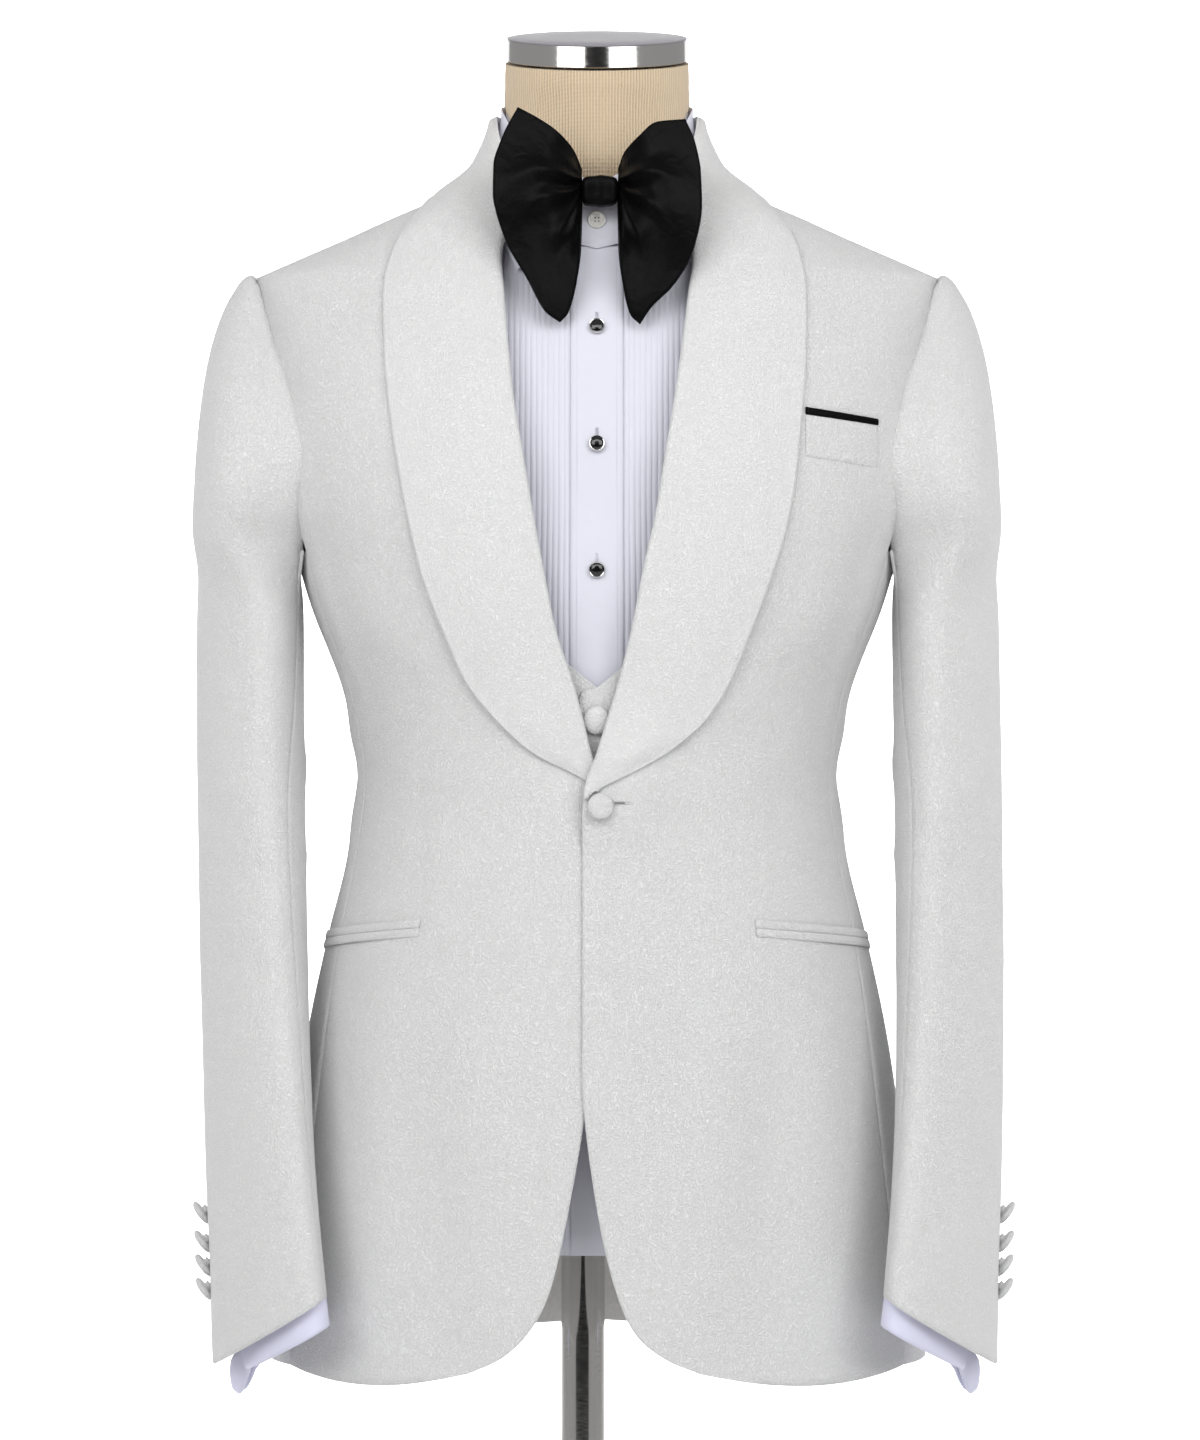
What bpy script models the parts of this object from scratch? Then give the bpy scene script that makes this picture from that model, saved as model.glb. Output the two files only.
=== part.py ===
"""A shawl-collar tuxedo set on a limbless dress form, in metres.

Jacket, waistcoat, dress shirt, bow tie and pocket square are cloth walls laid on two torsos: the
dress form's own, and the jacket's, which stands away from it. The front faces -Y, +Z is up, and
the origin is the centre of the base plate's underside. A place on a torso is a turn (0 centre
front, 0.5 side, 1 centre back) and a height. "Across" is a distance from the centre line,
positive on the piece's own side. Side +1 is the wearer's left, which is at +X.
"""

import math
from collections import namedtuple

import bmesh
import bpy
import numpy as np

# ---- driving sizes -----------------------------------------------------------------------------
CENTRE_X = 0.0088  # the torso's centre line, beside the pole
SEAM_GAP = 0.0003
JACKET_CLOTH = 0.002
WAISTCOAT_CLOTH = 0.0018
SHIRT_CLOTH = 0.001
CUFF_CLOTH = 0.0018
LAY_GAP = 0.0010  # between a panel and what lies on it
LAP_LIFT = 0.0026  # the left front over the right one

SHIRT_OUT = 0.004  # the shirt's outer face off the form
WAISTCOAT_OUT = 0.0095
ARMPIT_HEIGHT = 1.262
SHOULDER_TIP_HEIGHT = 1.448
NECK_POINT_HEIGHT = 1.512

FRONT_SEAM_TURN = 0.40
BACK_SEAM_TURN = 0.61

POLE_RADIUS = 0.0138
BASE_RADIUS = 0.170
BASE_THICKNESS = 0.008
FORM_BOTTOM = 0.875
NECK_TILT = 0.207  # rise of the neck's top plane for each metre towards the back
NECK_TOP = 1.5835
CAP_HEIGHT = 0.0152
CAP_RADIUS = 0.0570
CAP_WALL = 0.003

BUTTON_RADIUS = 0.0089
SLEEVE_BUTTON_RADIUS = 0.0075
WAISTCOAT_BUTTON_RADIUS = 0.0085
STUD_RADIUS = 0.005

Section = namedtuple("Section", "height half_width front back fullness middle")

JACKET_TRUNK = [
    Section(0.760, 0.2080, 0.1480, 0.1240, 2.15, 0.016),
    Section(0.860, 0.1965, 0.1465, 0.1260, 2.15, 0.012),
    Section(0.959, 0.1830, 0.1420, 0.1270, 2.20, 0.008),
    Section(1.038, 0.1680, 0.1360, 0.1230, 2.25, 0.004),
    Section(1.085, 0.1570, 0.1310, 0.1150, 2.30, 0.002),
    Section(1.132, 0.1506, 0.1290, 0.1080, 2.30, 0.000),
    Section(1.180, 0.1575, 0.1325, 0.1110, 2.35, 0.000),
    Section(1.2425, 0.1800, 0.1400, 0.1190, 2.40, 0.000),
    Section(1.275, 0.1900, 0.1415, 0.1230, 2.40, 0.000),
    Section(1.305, 0.2015, 0.1400, 0.1240, 2.40, 0.000),
    Section(1.345, 0.2075, 0.1330, 0.1230, 2.40, 0.000),
    Section(1.390, 0.2115, 0.1190, 0.1160, 2.35, 0.001),
    Section(1.425, 0.2135, 0.1050, 0.1050, 2.25, 0.003),
    Section(1.448, 0.2145, 0.0930, 0.0930, 2.20, 0.005),
]
JACKET_SHOULDER = [
    Section(1.448, 0.2145, 0.0930, 0.0930, 2.20, 0.005),
    Section(1.460, 0.1870, 0.0870, 0.0870, 2.20, 0.005),
    Section(1.473, 0.1570, 0.0810, 0.0810, 2.20, 0.005),
    Section(1.486, 0.1280, 0.0760, 0.0750, 2.20, 0.004),
    Section(1.496, 0.1045, 0.0730, 0.0710, 2.20, 0.004),
    Section(1.504, 0.0880, 0.0715, 0.0690, 2.20, 0.003),
    Section(1.512, 0.0770, 0.0700, 0.0675, 2.15, 0.003),
    Section(1.522, 0.0705, 0.0690, 0.0660, 2.10, 0.002),
    Section(1.535, 0.0660, 0.0680, 0.0650, 2.05, 0.002),
    Section(1.550, 0.0635, 0.0670, 0.0640, 2.00, 0.001),
]
FORM_TRUNK = [
    Section(0.8600, 0.1460, 0.0950, 0.1000, 2.20, 0.004),
    Section(0.9500, 0.1500, 0.1030, 0.1060, 2.20, 0.003),
    Section(1.0400, 0.1420, 0.1030, 0.1000, 2.20, 0.001),
    Section(1.1300, 0.1310, 0.1020, 0.0850, 2.25, 0.000),
    Section(1.2000, 0.1400, 0.1080, 0.0920, 2.30, 0.000),
    Section(1.2700, 0.1580, 0.1160, 0.1030, 2.30, 0.000),
    Section(1.3300, 0.1720, 0.1130, 0.1070, 2.30, 0.000),
    Section(1.3800, 0.1820, 0.1020, 0.1030, 2.25, 0.001),
    Section(1.4200, 0.1870, 0.0890, 0.0920, 2.15, 0.003),
    Section(1.4445, 0.1880, 0.0790, 0.0810, 2.10, 0.004),
]
FORM_SHOULDER = [
    Section(1.4445, 0.1880, 0.0790, 0.0810, 2.10, 0.004),
    Section(1.4560, 0.1660, 0.0730, 0.0740, 2.10, 0.004),
    Section(1.4675, 0.1440, 0.0690, 0.0690, 2.10, 0.004),
    Section(1.4790, 0.1220, 0.0655, 0.0650, 2.10, 0.003),
    Section(1.4905, 0.1000, 0.0625, 0.0620, 2.10, 0.003),
    Section(1.4980, 0.0855, 0.0610, 0.0605, 2.05, 0.002),
    Section(1.5050, 0.0735, 0.0600, 0.0590, 2.05, 0.002),
    Section(1.5140, 0.0635, 0.0590, 0.0580, 2.00, 0.001),
    Section(1.5260, 0.0575, 0.0585, 0.0575, 2.00, 0.001),
    Section(1.5450, 0.0563, 0.0580, 0.0575, 2.00, 0.000),
    Section(1.5650, 0.0582, 0.0580, 0.0575, 2.00, 0.000),
    Section(1.6000, 0.0570, 0.0570, 0.0570, 2.00, 0.000),
]

# the armhole of the jacket: turns at which its front and back edges pass each height
Armhole = namedtuple("Armhole", "height front_turn back_turn head_height head_across belly")
JACKET_ARMHOLE = [
    Armhole(1.275, 0.400, 0.610, 1.283, 0.2538, 0.24),
    Armhole(1.300, 0.396, 0.612, 1.318, 0.2530, 0.22),
    Armhole(1.330, 0.396, 0.610, 1.352, 0.2505, 0.20),
    Armhole(1.360, 0.402, 0.603, 1.384, 0.2467, 0.17),
    Armhole(1.388, 0.413, 0.593, 1.408, 0.2420, 0.13),
    Armhole(1.410, 0.430, 0.577, 1.428, 0.2355, 0.10),
    Armhole(1.4260, 0.450, 0.556, 1.4400, 0.2290, 0.06),
    Armhole(1.4345, 0.467, 0.537, 1.4470, 0.2240, 0.03),
    Armhole(1.4415, 0.482, 0.520, 1.4500, 0.2185, 0.01),
    Armhole(1.4480, 0.500, 0.500, 1.4485, 0.2147, 0.00),
]
HEAD_TOP_HEIGHT = 1.4445  # where the sleeve head's last row leaves the armhole's edges

# front edges, from the hem's corner to the neck seam: how far the left (over) and the right
# (under) front's edge lies from the centre line, on its own side, and where the same row ends
FrontRow = namedtuple("FrontRow", "height over under outer_height")
FRONT_SKIRT = [
    FrontRow(0.7725, 0.0624, 0.0779, 0.770),
    FrontRow(0.7820, 0.0420, 0.0590, 0.794),
    FrontRow(0.7970, 0.0245, 0.0430, 0.824),
    FrontRow(0.8200, 0.0135, 0.0305, 0.860),
    FrontRow(0.8550, 0.0043, 0.0215, 0.898),
    FrontRow(0.9000, -0.0032, 0.0130, 0.936),
    FrontRow(0.9450, -0.0079, 0.0055, 0.974),
    FrontRow(0.9900, -0.0079, -0.0035, 1.012),
    FrontRow(1.0800, -0.0079, -0.0115, 1.090),
    FrontRow(1.1120, -0.0079, -0.0120, 1.116),
]
FRONT_LAPEL = [
    FrontRow(1.1280, -0.0062, -0.0105, 1.130),
    FrontRow(1.1380, -0.0028, -0.0010, 1.140),
    FrontRow(1.1500, 0.0012, 0.0042, 1.153),
    FrontRow(1.1680, 0.0062, 0.0078, 1.170),
    FrontRow(1.1920, 0.0120, 0.0132, 1.192),
    FrontRow(1.2240, 0.0195, 0.0235, 1.218),
    FrontRow(1.2600, 0.0273, 0.0317, 1.247),
    FrontRow(1.2950, 0.0360, 0.0390, 1.275),
    FrontRow(1.3300, 0.0432, 0.0465, 1.300),
    FrontRow(1.3650, 0.0490, 0.0525, 1.330),
    FrontRow(1.4000, 0.0540, 0.0562, 1.360),
    FrontRow(1.4320, 0.0580, 0.0588, 1.388),
    FrontRow(1.4600, 0.0610, 0.0604, 1.410),
]
# above the roll line's end the neck seam leaves it, and the stand fills the space between
NeckRow = namedtuple("NeckRow", "seam_turn seam_height fold_turn fold_height outer_height")
FRONT_NECK = [
    NeckRow(0.200, 1.4775, 0.200, 1.4870, 1.4260),
    NeckRow(0.280, 1.4930, 0.280, 1.5130, 1.4345),
    NeckRow(0.385, 1.5045, 0.385, 1.5340, 1.4415),
    NeckRow(0.500, 1.5120, 0.500, 1.5470, 1.4480),
]
# the shawl's outer edge on the front and the shoulder
ShawlEdge = namedtuple("ShawlEdge", "height over under")
SHAWL_EDGE = [
    ShawlEdge(1.1270, -0.0020, -0.0040),
    ShawlEdge(1.1345, 0.0080, 0.0080),
    ShawlEdge(1.1420, 0.0215, 0.0230),
    ShawlEdge(1.1540, 0.0440, 0.0400),
    ShawlEdge(1.1700, 0.0610, 0.0590),
    ShawlEdge(1.1830, 0.0735, 0.0715),
    ShawlEdge(1.2065, 0.0840, 0.0832),
    ShawlEdge(1.2580, 0.1040, 0.1043),
    ShawlEdge(1.3049, 0.1178, 0.1160),
    ShawlEdge(1.3490, 0.1232, 0.1240),
    ShawlEdge(1.3966, 0.1270, 0.1292),
    ShawlEdge(1.4357, 0.1275, 0.1303),
    ShawlEdge(1.4600, 0.1235, 0.1250),
    ShawlEdge(1.4800, 0.1140, 0.1150),
    ShawlEdge(1.4990, 0.0990, 0.0990),
]
# behind the neck: the neck seam, the fold and the leaf's lower edge by turn
BackCollar = namedtuple("BackCollar", "turn seam_height fold_height edge_height")
BACK_COLLAR = [
    BackCollar(0.57, 1.5135, 1.5480, 1.4970),
    BackCollar(0.66, 1.5145, 1.5490, 1.4975),
    BackCollar(0.77, 1.5150, 1.5495, 1.4990),
    BackCollar(0.88, 1.5150, 1.5500, 1.5000),
    BackCollar(1.00, 1.5150, 1.5500, 1.5005),
]
LEAF_SHARES = [0.0, 0.15, 0.38, 0.62, 0.86, 1.0]  # from the outer edge to the fold

# sleeve rings: the sleeve leans in and forward and turns its front fold inwards
Ring = namedtuple("Ring", "height across forward_y long_half thin_half turn_deg lean slope")
SLEEVE_RINGS = [
    Ring(0.793, 0.2070, -0.078, 0.0630, 0.0235, 30.0, 0.0050, 0.0260),
    Ring(0.815, 0.2085, -0.073, 0.0632, 0.0236, 29.0, 0.0048, 0.0232),
    Ring(0.850, 0.2108, -0.064, 0.0640, 0.0245, 26.5, 0.0046, 0.0187),
    Ring(0.895, 0.2138, -0.051, 0.0650, 0.0262, 24.0, 0.0043, 0.0128),
    Ring(0.945, 0.2160, -0.037, 0.0670, 0.0280, 21.0, 0.0040, 0.0063),
    Ring(1.000, 0.2174, -0.023, 0.0690, 0.0297, 17.5, 0.0034, 0.0000),
    Ring(1.060, 0.2181, -0.011, 0.0710, 0.0310, 14.0, 0.0026, 0.0000),
    Ring(1.120, 0.2187, -0.002, 0.0735, 0.0320, 11.0, 0.0018, 0.0000),
    Ring(1.180, 0.2191, 0.003, 0.0758, 0.0326, 9.5, 0.0010, 0.0000),
    Ring(1.240, 0.2192, 0.006, 0.0775, 0.0330, 8.0, 0.0005, 0.0000),
]
UPPER_SLEEVE_SPAN = (-22.0, 200.0)  # degrees round the ring from its front fold
UNDER_SLEEVE_SPAN = (200.0, 338.0)
HEM_LOW_DEG = 150.0  # where round the ring the slanted hem is lowest
UNDERARM_LIFT = 0.0012  # the under sleeve's top edge off the side panel

SHIRT_SLEEVE_INSET = 0.0062
CUFF_INSET = 0.0054
CUFF_TOP = 0.850
CUFF_DROP = 0.0165  # below the jacket's sleeve
CUFF_TAIL = 0.026  # how far the cuff's two ends stand off behind

SHIRT_ARMHOLE_LOW = 1.285
SHIRT_ARMHOLE_HIGH = 1.4445
SHIRT_ARMHOLE_TURN = 0.092  # how far its front and back edges lie from the side
SHIRT_HEM = 0.842
SHIRT_NECK_FRONT = 1.4625
SHIRT_NECK_POINT = 1.5050
SHIRT_NECK_BACK = 1.5080
SHOULDER_SETTLE = 0.0024  # how much nearer the shirt lies to the form on the shoulders
HIDDEN_SETTLE = 0.0038
FORM_SUNK = 0.0055  # the form's own face under the clothes, inside the shape they are measured from
NECK_SUNK = 0.0031
TIP_SUNK = 0.004
ARMHOLE_PLACES = (-90, -45, 0, 45, 90)
LOW_ROWS = (SHIRT_HEM, 1.050, 1.130, 1.190)
INNER_ROWS = (1.270, 1.340, 1.400, 1.440, SHIRT_NECK_FRONT)
BAND_OUT = 0.0004
COLLAR_BUTTON_HEIGHT = 1.4790
# the collar's leaf from its front corner round to the centre back
CollarLeaf = namedtuple("CollarLeaf", "fold_turn fold_height edge_turn edge_height")
COLLAR_LEAF = [
    CollarLeaf(0.060, 1.5050, 0.180, 1.4450),
    CollarLeaf(0.120, 1.5110, 0.240, 1.4680),
    CollarLeaf(0.210, 1.5210, 0.310, 1.4900),
    CollarLeaf(0.340, 1.5380, 0.400, 1.5070),
    CollarLeaf(0.500, 1.5550, 0.510, 1.5140),
    CollarLeaf(0.650, 1.5590, 0.650, 1.5150),
    CollarLeaf(0.820, 1.5610, 0.820, 1.5150),
    CollarLeaf(1.000, 1.5620, 1.000, 1.5150),
]
# the shirt sleeve's rings from the upper arm to the armhole, tipped over the shoulder
TippedRing = namedtuple(
    "TippedRing", "outer_across outer_height inner_across inner_height half_depth middle_y"
)
SHIRT_SLEEVE_TOP = [
    TippedRing(0.2380, 1.3050, 0.1905, 1.2500, 0.0550, 0.001),
    TippedRing(0.2320, 1.3750, 0.1900, 1.2760, 0.0520, 0.003),
    TippedRing(0.2150, 1.4260, 0.1780, 1.2840, 0.0525, 0.002),
]

# the bow: each wing's four edges, from the knot outwards and from the low tip to the high one
BOW_X = 0.0107
Wing = namedtuple("Wing", "along left_across left_height right_across right_height")
WING_TOP = [
    Wing(0.00, 0.0116, 1.5095, 0.0116, 1.5100),
    Wing(0.22, 0.0159, 1.5194, 0.0147, 1.5180),
    Wing(0.45, 0.0251, 1.5298, 0.0245, 1.5286),
    Wing(0.72, 0.0380, 1.5390, 0.0349, 1.5366),
    Wing(1.00, 0.0503, 1.5458, 0.0521, 1.5384),
]
WING_OUTER = [
    Wing(0.00, 0.0245, 1.4140, 0.0245, 1.4128),
    Wing(0.12, 0.0335, 1.4205, 0.0310, 1.4225),
    Wing(0.28, 0.0447, 1.4410, 0.0450, 1.4370),
    Wing(0.46, 0.0582, 1.4660, 0.0563, 1.4570),
    Wing(0.64, 0.0650, 1.4930, 0.0618, 1.4850),
    Wing(0.80, 0.0648, 1.5100, 0.0612, 1.5060),
    Wing(0.92, 0.0590, 1.5290, 0.0577, 1.5250),
    Wing(1.00, 0.0503, 1.5458, 0.0521, 1.5384),
]
WING_BOTTOM = [
    Wing(0.00, 0.0116, 1.4880, 0.0116, 1.4880),
    Wing(0.30, 0.0119, 1.4610, 0.0116, 1.4610),
    Wing(0.65, 0.0150, 1.4360, 0.0145, 1.4350),
    Wing(0.90, 0.0195, 1.4200, 0.0185, 1.4190),
    Wing(1.00, 0.0245, 1.4140, 0.0245, 1.4128),
]
BOW_CLOTH = 0.0026
KNOT_HALF = (0.0104, 0.0080, 0.0102)  # across, deep, high
KNOT_HEIGHT = 1.4965
WING_PUFF = 0.022
WING_LEAN = 0.10
WING_PLEAT = 0.0022
STRAP_OUT = 0.0044
STRAP_CLOTH = 0.001
STRAP_HALF_HEIGHT = 0.005
STRAP_FRONT_HEIGHT = 1.4935

# the waistcoat's rows: its front edge and neckline, and where each row ends at side or armhole
VestRow = namedtuple("VestRow", "height across outer_height front_turn back_turn")
VEST_ROWS = [
    VestRow(1.0200, -0.0099, 1.0200, 0.500, 0.500),
    VestRow(1.0750, -0.0099, 1.0750, 0.500, 0.500),
    VestRow(1.1300, -0.0099, 1.1300, 0.500, 0.500),
    VestRow(1.1840, -0.0099, 1.1860, 0.500, 0.500),
    VestRow(1.1920, 0.0010, 1.1980, 0.500, 0.500),
    VestRow(1.2040, 0.0152, 1.2100, 0.500, 0.500),
    VestRow(1.2250, 0.0400, 1.2270, 0.500, 0.500),
    VestRow(1.2620, 0.0670, 1.2500, 0.500, 0.500),
    VestRow(1.3100, 0.0800, 1.2720, 0.430, 0.570),
    VestRow(1.3550, 0.0845, 1.3100, 0.385, 0.610),
    VestRow(1.4000, 0.0855, 1.3600, 0.370, 0.620),
    VestRow(1.4400, 0.0858, 1.4100, 0.375, 0.610),
    VestRow(1.4720, 0.0862, 1.4450, 0.410, 0.580),
    VestRow(1.4830, 0.0866, 1.4560, 0.438, 0.555),
    VestRow(1.4915, 0.0872, 1.4650, 0.470, 0.527),
    VestRow(1.4965, 0.0880, 1.4705, 0.500, 0.500),
]
VEST_NECK_BACK = 1.4945
VEST_LAP_LIFT = 0.0027
VEST_SETTLE = 0.0055
WAISTCOAT_BUTTON_HEIGHTS = [1.172, 1.125, 1.078, 1.031]
STUD_HEIGHTS = [1.409, 1.3375, 1.262]
TUCK_PITCH = 0.0034
TUCK_RAISE = 0.0007
TUCKS = {1: 11, -1: 13}
PLACKET_HALF = 0.0155

HEM_DIP = 0.004
COLLAR_FULLNESS = 0.0034  # how far the collar stands off the back, beyond the lapel's gap
BACK_HEM_HEIGHT = 0.779
NECK_BACK_HEIGHT = 1.515
POCKET_START = {1: 0.0968, -1: 0.1080}  # the pocket's inner end from the centre line
POCKET_END_TURN = 0.585
POCKET_HEIGHTS = (1.0430, 1.0270)
JET_CLOTH = 0.001
WELT_ACROSS = (0.1275, 0.1722)
WELT_HEIGHTS = [(1.3310, 1.3250), (1.3555, 1.3500)]
WELT_CLOTH = 0.0012
SQUARE_HEIGHTS = [(1.3558, 1.3503), (1.3615, 1.3555)]
SQUARE_CLOTH = 0.0012
SLEEVE_BUTTON_HEIGHTS = [0.8640, 0.8460, 0.8310, 0.8160]
SLEEVE_BUTTON_PLACE = 140

Finish = namedtuple("Finish", "colour roughness metallic")
FINISHES = {
    "jacket_cloth": Finish((0.80, 0.80, 0.80), 0.85, 0.0),
    "waistcoat_cloth": Finish((0.80, 0.80, 0.80), 0.85, 0.0),
    "shirt_cloth": Finish((0.76, 0.76, 0.86), 0.75, 0.0),
    "black_satin": Finish((0.012, 0.012, 0.013), 0.35, 0.0),
    "knit_cover": Finish((0.62, 0.52, 0.34), 0.9, 0.0),
    "bright_steel": Finish((0.80, 0.80, 0.81), 0.12, 1.0),
    "cap_grey": Finish((0.32, 0.32, 0.33), 0.6, 0.0),
    "stud_black": Finish((0.01, 0.01, 0.01), 0.2, 0.0),
    "pearl": Finish((0.82, 0.82, 0.86), 0.25, 0.0),
}


# ---- curves, torsos and meshes -------------------------------------------------------------------
class Curve:
    """A smooth curve through points, which never swings past them."""

    def __init__(self, places, values):
        self.places = np.asarray(places, float)
        self.values = np.asarray(values, float)
        rises = np.diff(self.values) / np.diff(self.places)
        self.slopes = np.zeros(len(self.places))
        self.slopes[0] = rises[0]
        self.slopes[-1] = rises[-1]
        for i in range(1, len(rises)):
            if rises[i - 1] * rises[i] > 0:
                self.slopes[i] = 2 * rises[i - 1] * rises[i] / (rises[i - 1] + rises[i])

    def __call__(self, place):
        place = min(max(place, self.places[0]), self.places[-1])
        i = min(int(np.searchsorted(self.places, place, "right")) - 1, len(self.places) - 2)
        span = self.places[i + 1] - self.places[i]
        s = (place - self.places[i]) / span
        return (
            self.values[i] * (1 + 2 * s) * (1 - s) ** 2
            + self.slopes[i] * span * s * (1 - s) ** 2
            + self.values[i + 1] * s * s * (3 - 2 * s)
            + self.slopes[i + 1] * span * s * s * (s - 1)
        )


def curve_of(rows, place, value):
    """The curve of one named column of a table over another."""
    return Curve([getattr(row, place) for row in rows], [getattr(row, value) for row in rows])


class Torso:
    """A torso of level sections, each a full oval, with shoulders that slope to a neck."""

    def __init__(self, trunk, shoulder):
        self.tip = trunk[-1].height
        columns = Section._fields[1:]
        self.trunk = [curve_of(trunk, "height", name) for name in columns]
        self.shoulder = [curve_of(shoulder, "height", name) for name in columns]

    def bare(self, side, turn, height):
        table = self.shoulder if height > self.tip else self.trunk
        half, front, back, fullness, middle = (column(height) for column in table)
        angle = math.pi * turn
        depth = front if math.cos(angle) > 0 else back
        inverse = (abs(math.cos(angle)) / depth) ** fullness + (abs(math.sin(angle)) / half) ** fullness
        reach = inverse ** (-1 / fullness)
        return np.array([CENTRE_X + side * reach * math.sin(angle), middle - reach * math.cos(angle), height])

    def normal(self, side, turn, height):
        step_turn = 0.006
        step_height = 0.003
        across = self.bare(side, turn + step_turn, height) - self.bare(side, turn - step_turn, height)
        up = self.bare(side, turn, height + step_height) - self.bare(side, turn, height - step_height)
        direction = side * np.cross(across, up)
        return direction / np.linalg.norm(direction)

    def point(self, side, turn, height, out=0.0):
        return self.bare(side, turn, height) + out * self.normal(side, turn, height)

    def turn_at(self, across, height):
        """The turn, on the front half, at which the section passes a distance from the centre."""
        low = -0.5
        high = 0.5
        for _ in range(40):
            middle = (low + high) / 2
            if self.bare(1, middle, height)[0] - CENTRE_X < across:
                low = middle
            else:
                high = middle
        return (low + high) / 2


JACKET = Torso(JACKET_TRUNK, JACKET_SHOULDER)
FORM = Torso(FORM_TRUNK, FORM_SHOULDER)


def unit(vector):
    return vector / max(np.linalg.norm(vector), 1e-12)


def blend(a, b, share):
    return a + (b - a) * share


def soft_step(value, low, high):
    """0 below low, 1 above high, and smooth between."""
    s = min(max((value - low) / (high - low), 0.0), 1.0)
    return s * s * (3 - 2 * s)


def spread(count, low=0.0, high=1.0):
    """Evenly spaced values from low to high, both among them."""
    return [low + (high - low) * i / (count - 1) for i in range(count)]


def material(name):
    found = bpy.data.materials.get(name)
    if found:
        return found
    made = bpy.data.materials.new(name)
    made.use_nodes = True
    shader = made.node_tree.nodes["Principled BSDF"]
    finish = FINISHES[name]
    shader.inputs["Base Color"].default_value = (*finish.colour, 1.0)
    shader.inputs["Roughness"].default_value = finish.roughness
    shader.inputs["Metallic"].default_value = finish.metallic
    return made


def add_object(name, points, faces, finish, smooth_deg=40.0):
    """One closed body as an object of its own."""
    mesh = bpy.data.meshes.new(name)
    mesh.from_pydata([tuple(p) for p in points], [], faces)
    shaped = bmesh.new()
    shaped.from_mesh(mesh)
    bmesh.ops.recalc_face_normals(shaped, faces=shaped.faces)
    shaped.to_mesh(mesh)
    shaped.free()
    mesh.shade_smooth()
    mesh.set_sharp_from_angle(angle=math.radians(smooth_deg))
    mesh.materials.append(material(finish))
    made = bpy.data.objects.new(name, mesh)
    bpy.context.scene.collection.objects.link(made)
    return made


def grid_normals(grid, ring=False, away_from=None):
    """The normal at each point of a grid, pointing away from each row's given point."""
    rows, columns = grid.shape[:2]
    normals = np.zeros_like(grid)
    for i in range(rows):
        above = grid[min(i + 1, rows - 1)]
        below = grid[max(i - 1, 0)]
        for j in range(columns):
            after = (j + 1) % columns if ring else min(j + 1, columns - 1)
            before = (j - 1) % columns if ring else max(j - 1, 0)
            normals[i, j] = unit(np.cross(grid[i, after] - grid[i, before], above[j] - below[j]))
            if away_from is not None and np.dot(normals[i, j], grid[i, j] - away_from(i, grid[i, j])) < 0:
                normals[i, j] *= -1
    return normals


def wall(name, outer, inner, finish, ring=False):
    """A closed wall between two grids of the same size; a ring also joins its last column to its first."""
    rows, columns = outer.shape[:2]
    points = np.concatenate([outer.reshape(-1, 3), inner.reshape(-1, 3)])
    shift = rows * columns

    def at(i, j):
        return i * columns + j % columns

    faces = []
    for i in range(rows - 1):
        for j in range(columns if ring else columns - 1):
            a, b, c, d = at(i, j), at(i, j + 1), at(i + 1, j + 1), at(i + 1, j)
            faces.append((a, b, c, d))
            # the same first corner gives both faces the same diagonal, so they stay the wall apart
            faces.append((shift + a, shift + d, shift + c, shift + b))
    for j in range(columns if ring else columns - 1):
        for i in (0, rows - 1):
            faces.append((at(i, j), at(i, j + 1), shift + at(i, j + 1), shift + at(i, j)))
    if not ring:
        for i in range(rows - 1):
            for j in (0, columns - 1):
                faces.append((at(i, j), at(i + 1, j), shift + at(i + 1, j), shift + at(i, j)))
    return add_object(name, points, faces, finish)


def trimmed(grid, first_row=0.0, last_row=0.0, first_column=0.0, last_column=0.0):
    """The grid with its edges drawn in by the given distances."""
    out = grid.copy()
    if first_column or last_column:
        for i in range(grid.shape[0]):
            out[i, 0] = grid[i, 0] + first_column * unit(grid[i, 1] - grid[i, 0])
            out[i, -1] = grid[i, -1] + last_column * unit(grid[i, -2] - grid[i, -1])
    grid = out.copy()
    for j in range(grid.shape[1]):
        out[0, j] = grid[0, j] + first_row * unit(grid[1, j] - grid[0, j])
        out[-1, j] = grid[-1, j] + last_row * unit(grid[-2, j] - grid[-1, j])
    return out


def torso_wall(name, torso, side, places, out, cloth, finish, ring=False, **edges):
    """A panel laid on a torso. places is a grid of (turn, height, extra lift)."""
    faces = []
    for depth in (out, out - cloth):
        grid = np.array([[torso.point(side, t, z, depth + lift) for t, z, lift in row] for row in places])
        faces.append(trimmed(grid, **edges) if edges else grid)
    return wall(name, faces[0], faces[1], finish, ring)


def turned(name, profile, centre, axis, finish, segments=12):
    """A turned body. profile is (radius, distance along the axis) from one end to the other."""
    axis = unit(np.asarray(axis, float))
    helper = np.array([0.0, 0.0, 1.0]) if abs(axis[2]) < 0.9 else np.array([1.0, 0.0, 0.0])
    u = unit(np.cross(helper, axis))
    v = np.cross(axis, u)
    points = []
    for radius, along in profile:
        for k in range(segments):
            angle = 2 * math.pi * k / segments
            points.append(centre + axis * along + radius * (u * math.cos(angle) + v * math.sin(angle)))
    faces = [tuple(range(segments)), tuple(range(len(points) - segments, len(points)))]
    for i in range(len(profile) - 1):
        for k in range(segments):
            low = i * segments
            high = low + segments
            faces.append((low + k, low + (k + 1) % segments, high + (k + 1) % segments, high + k))
    return add_object(name, points, faces, finish)


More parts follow.
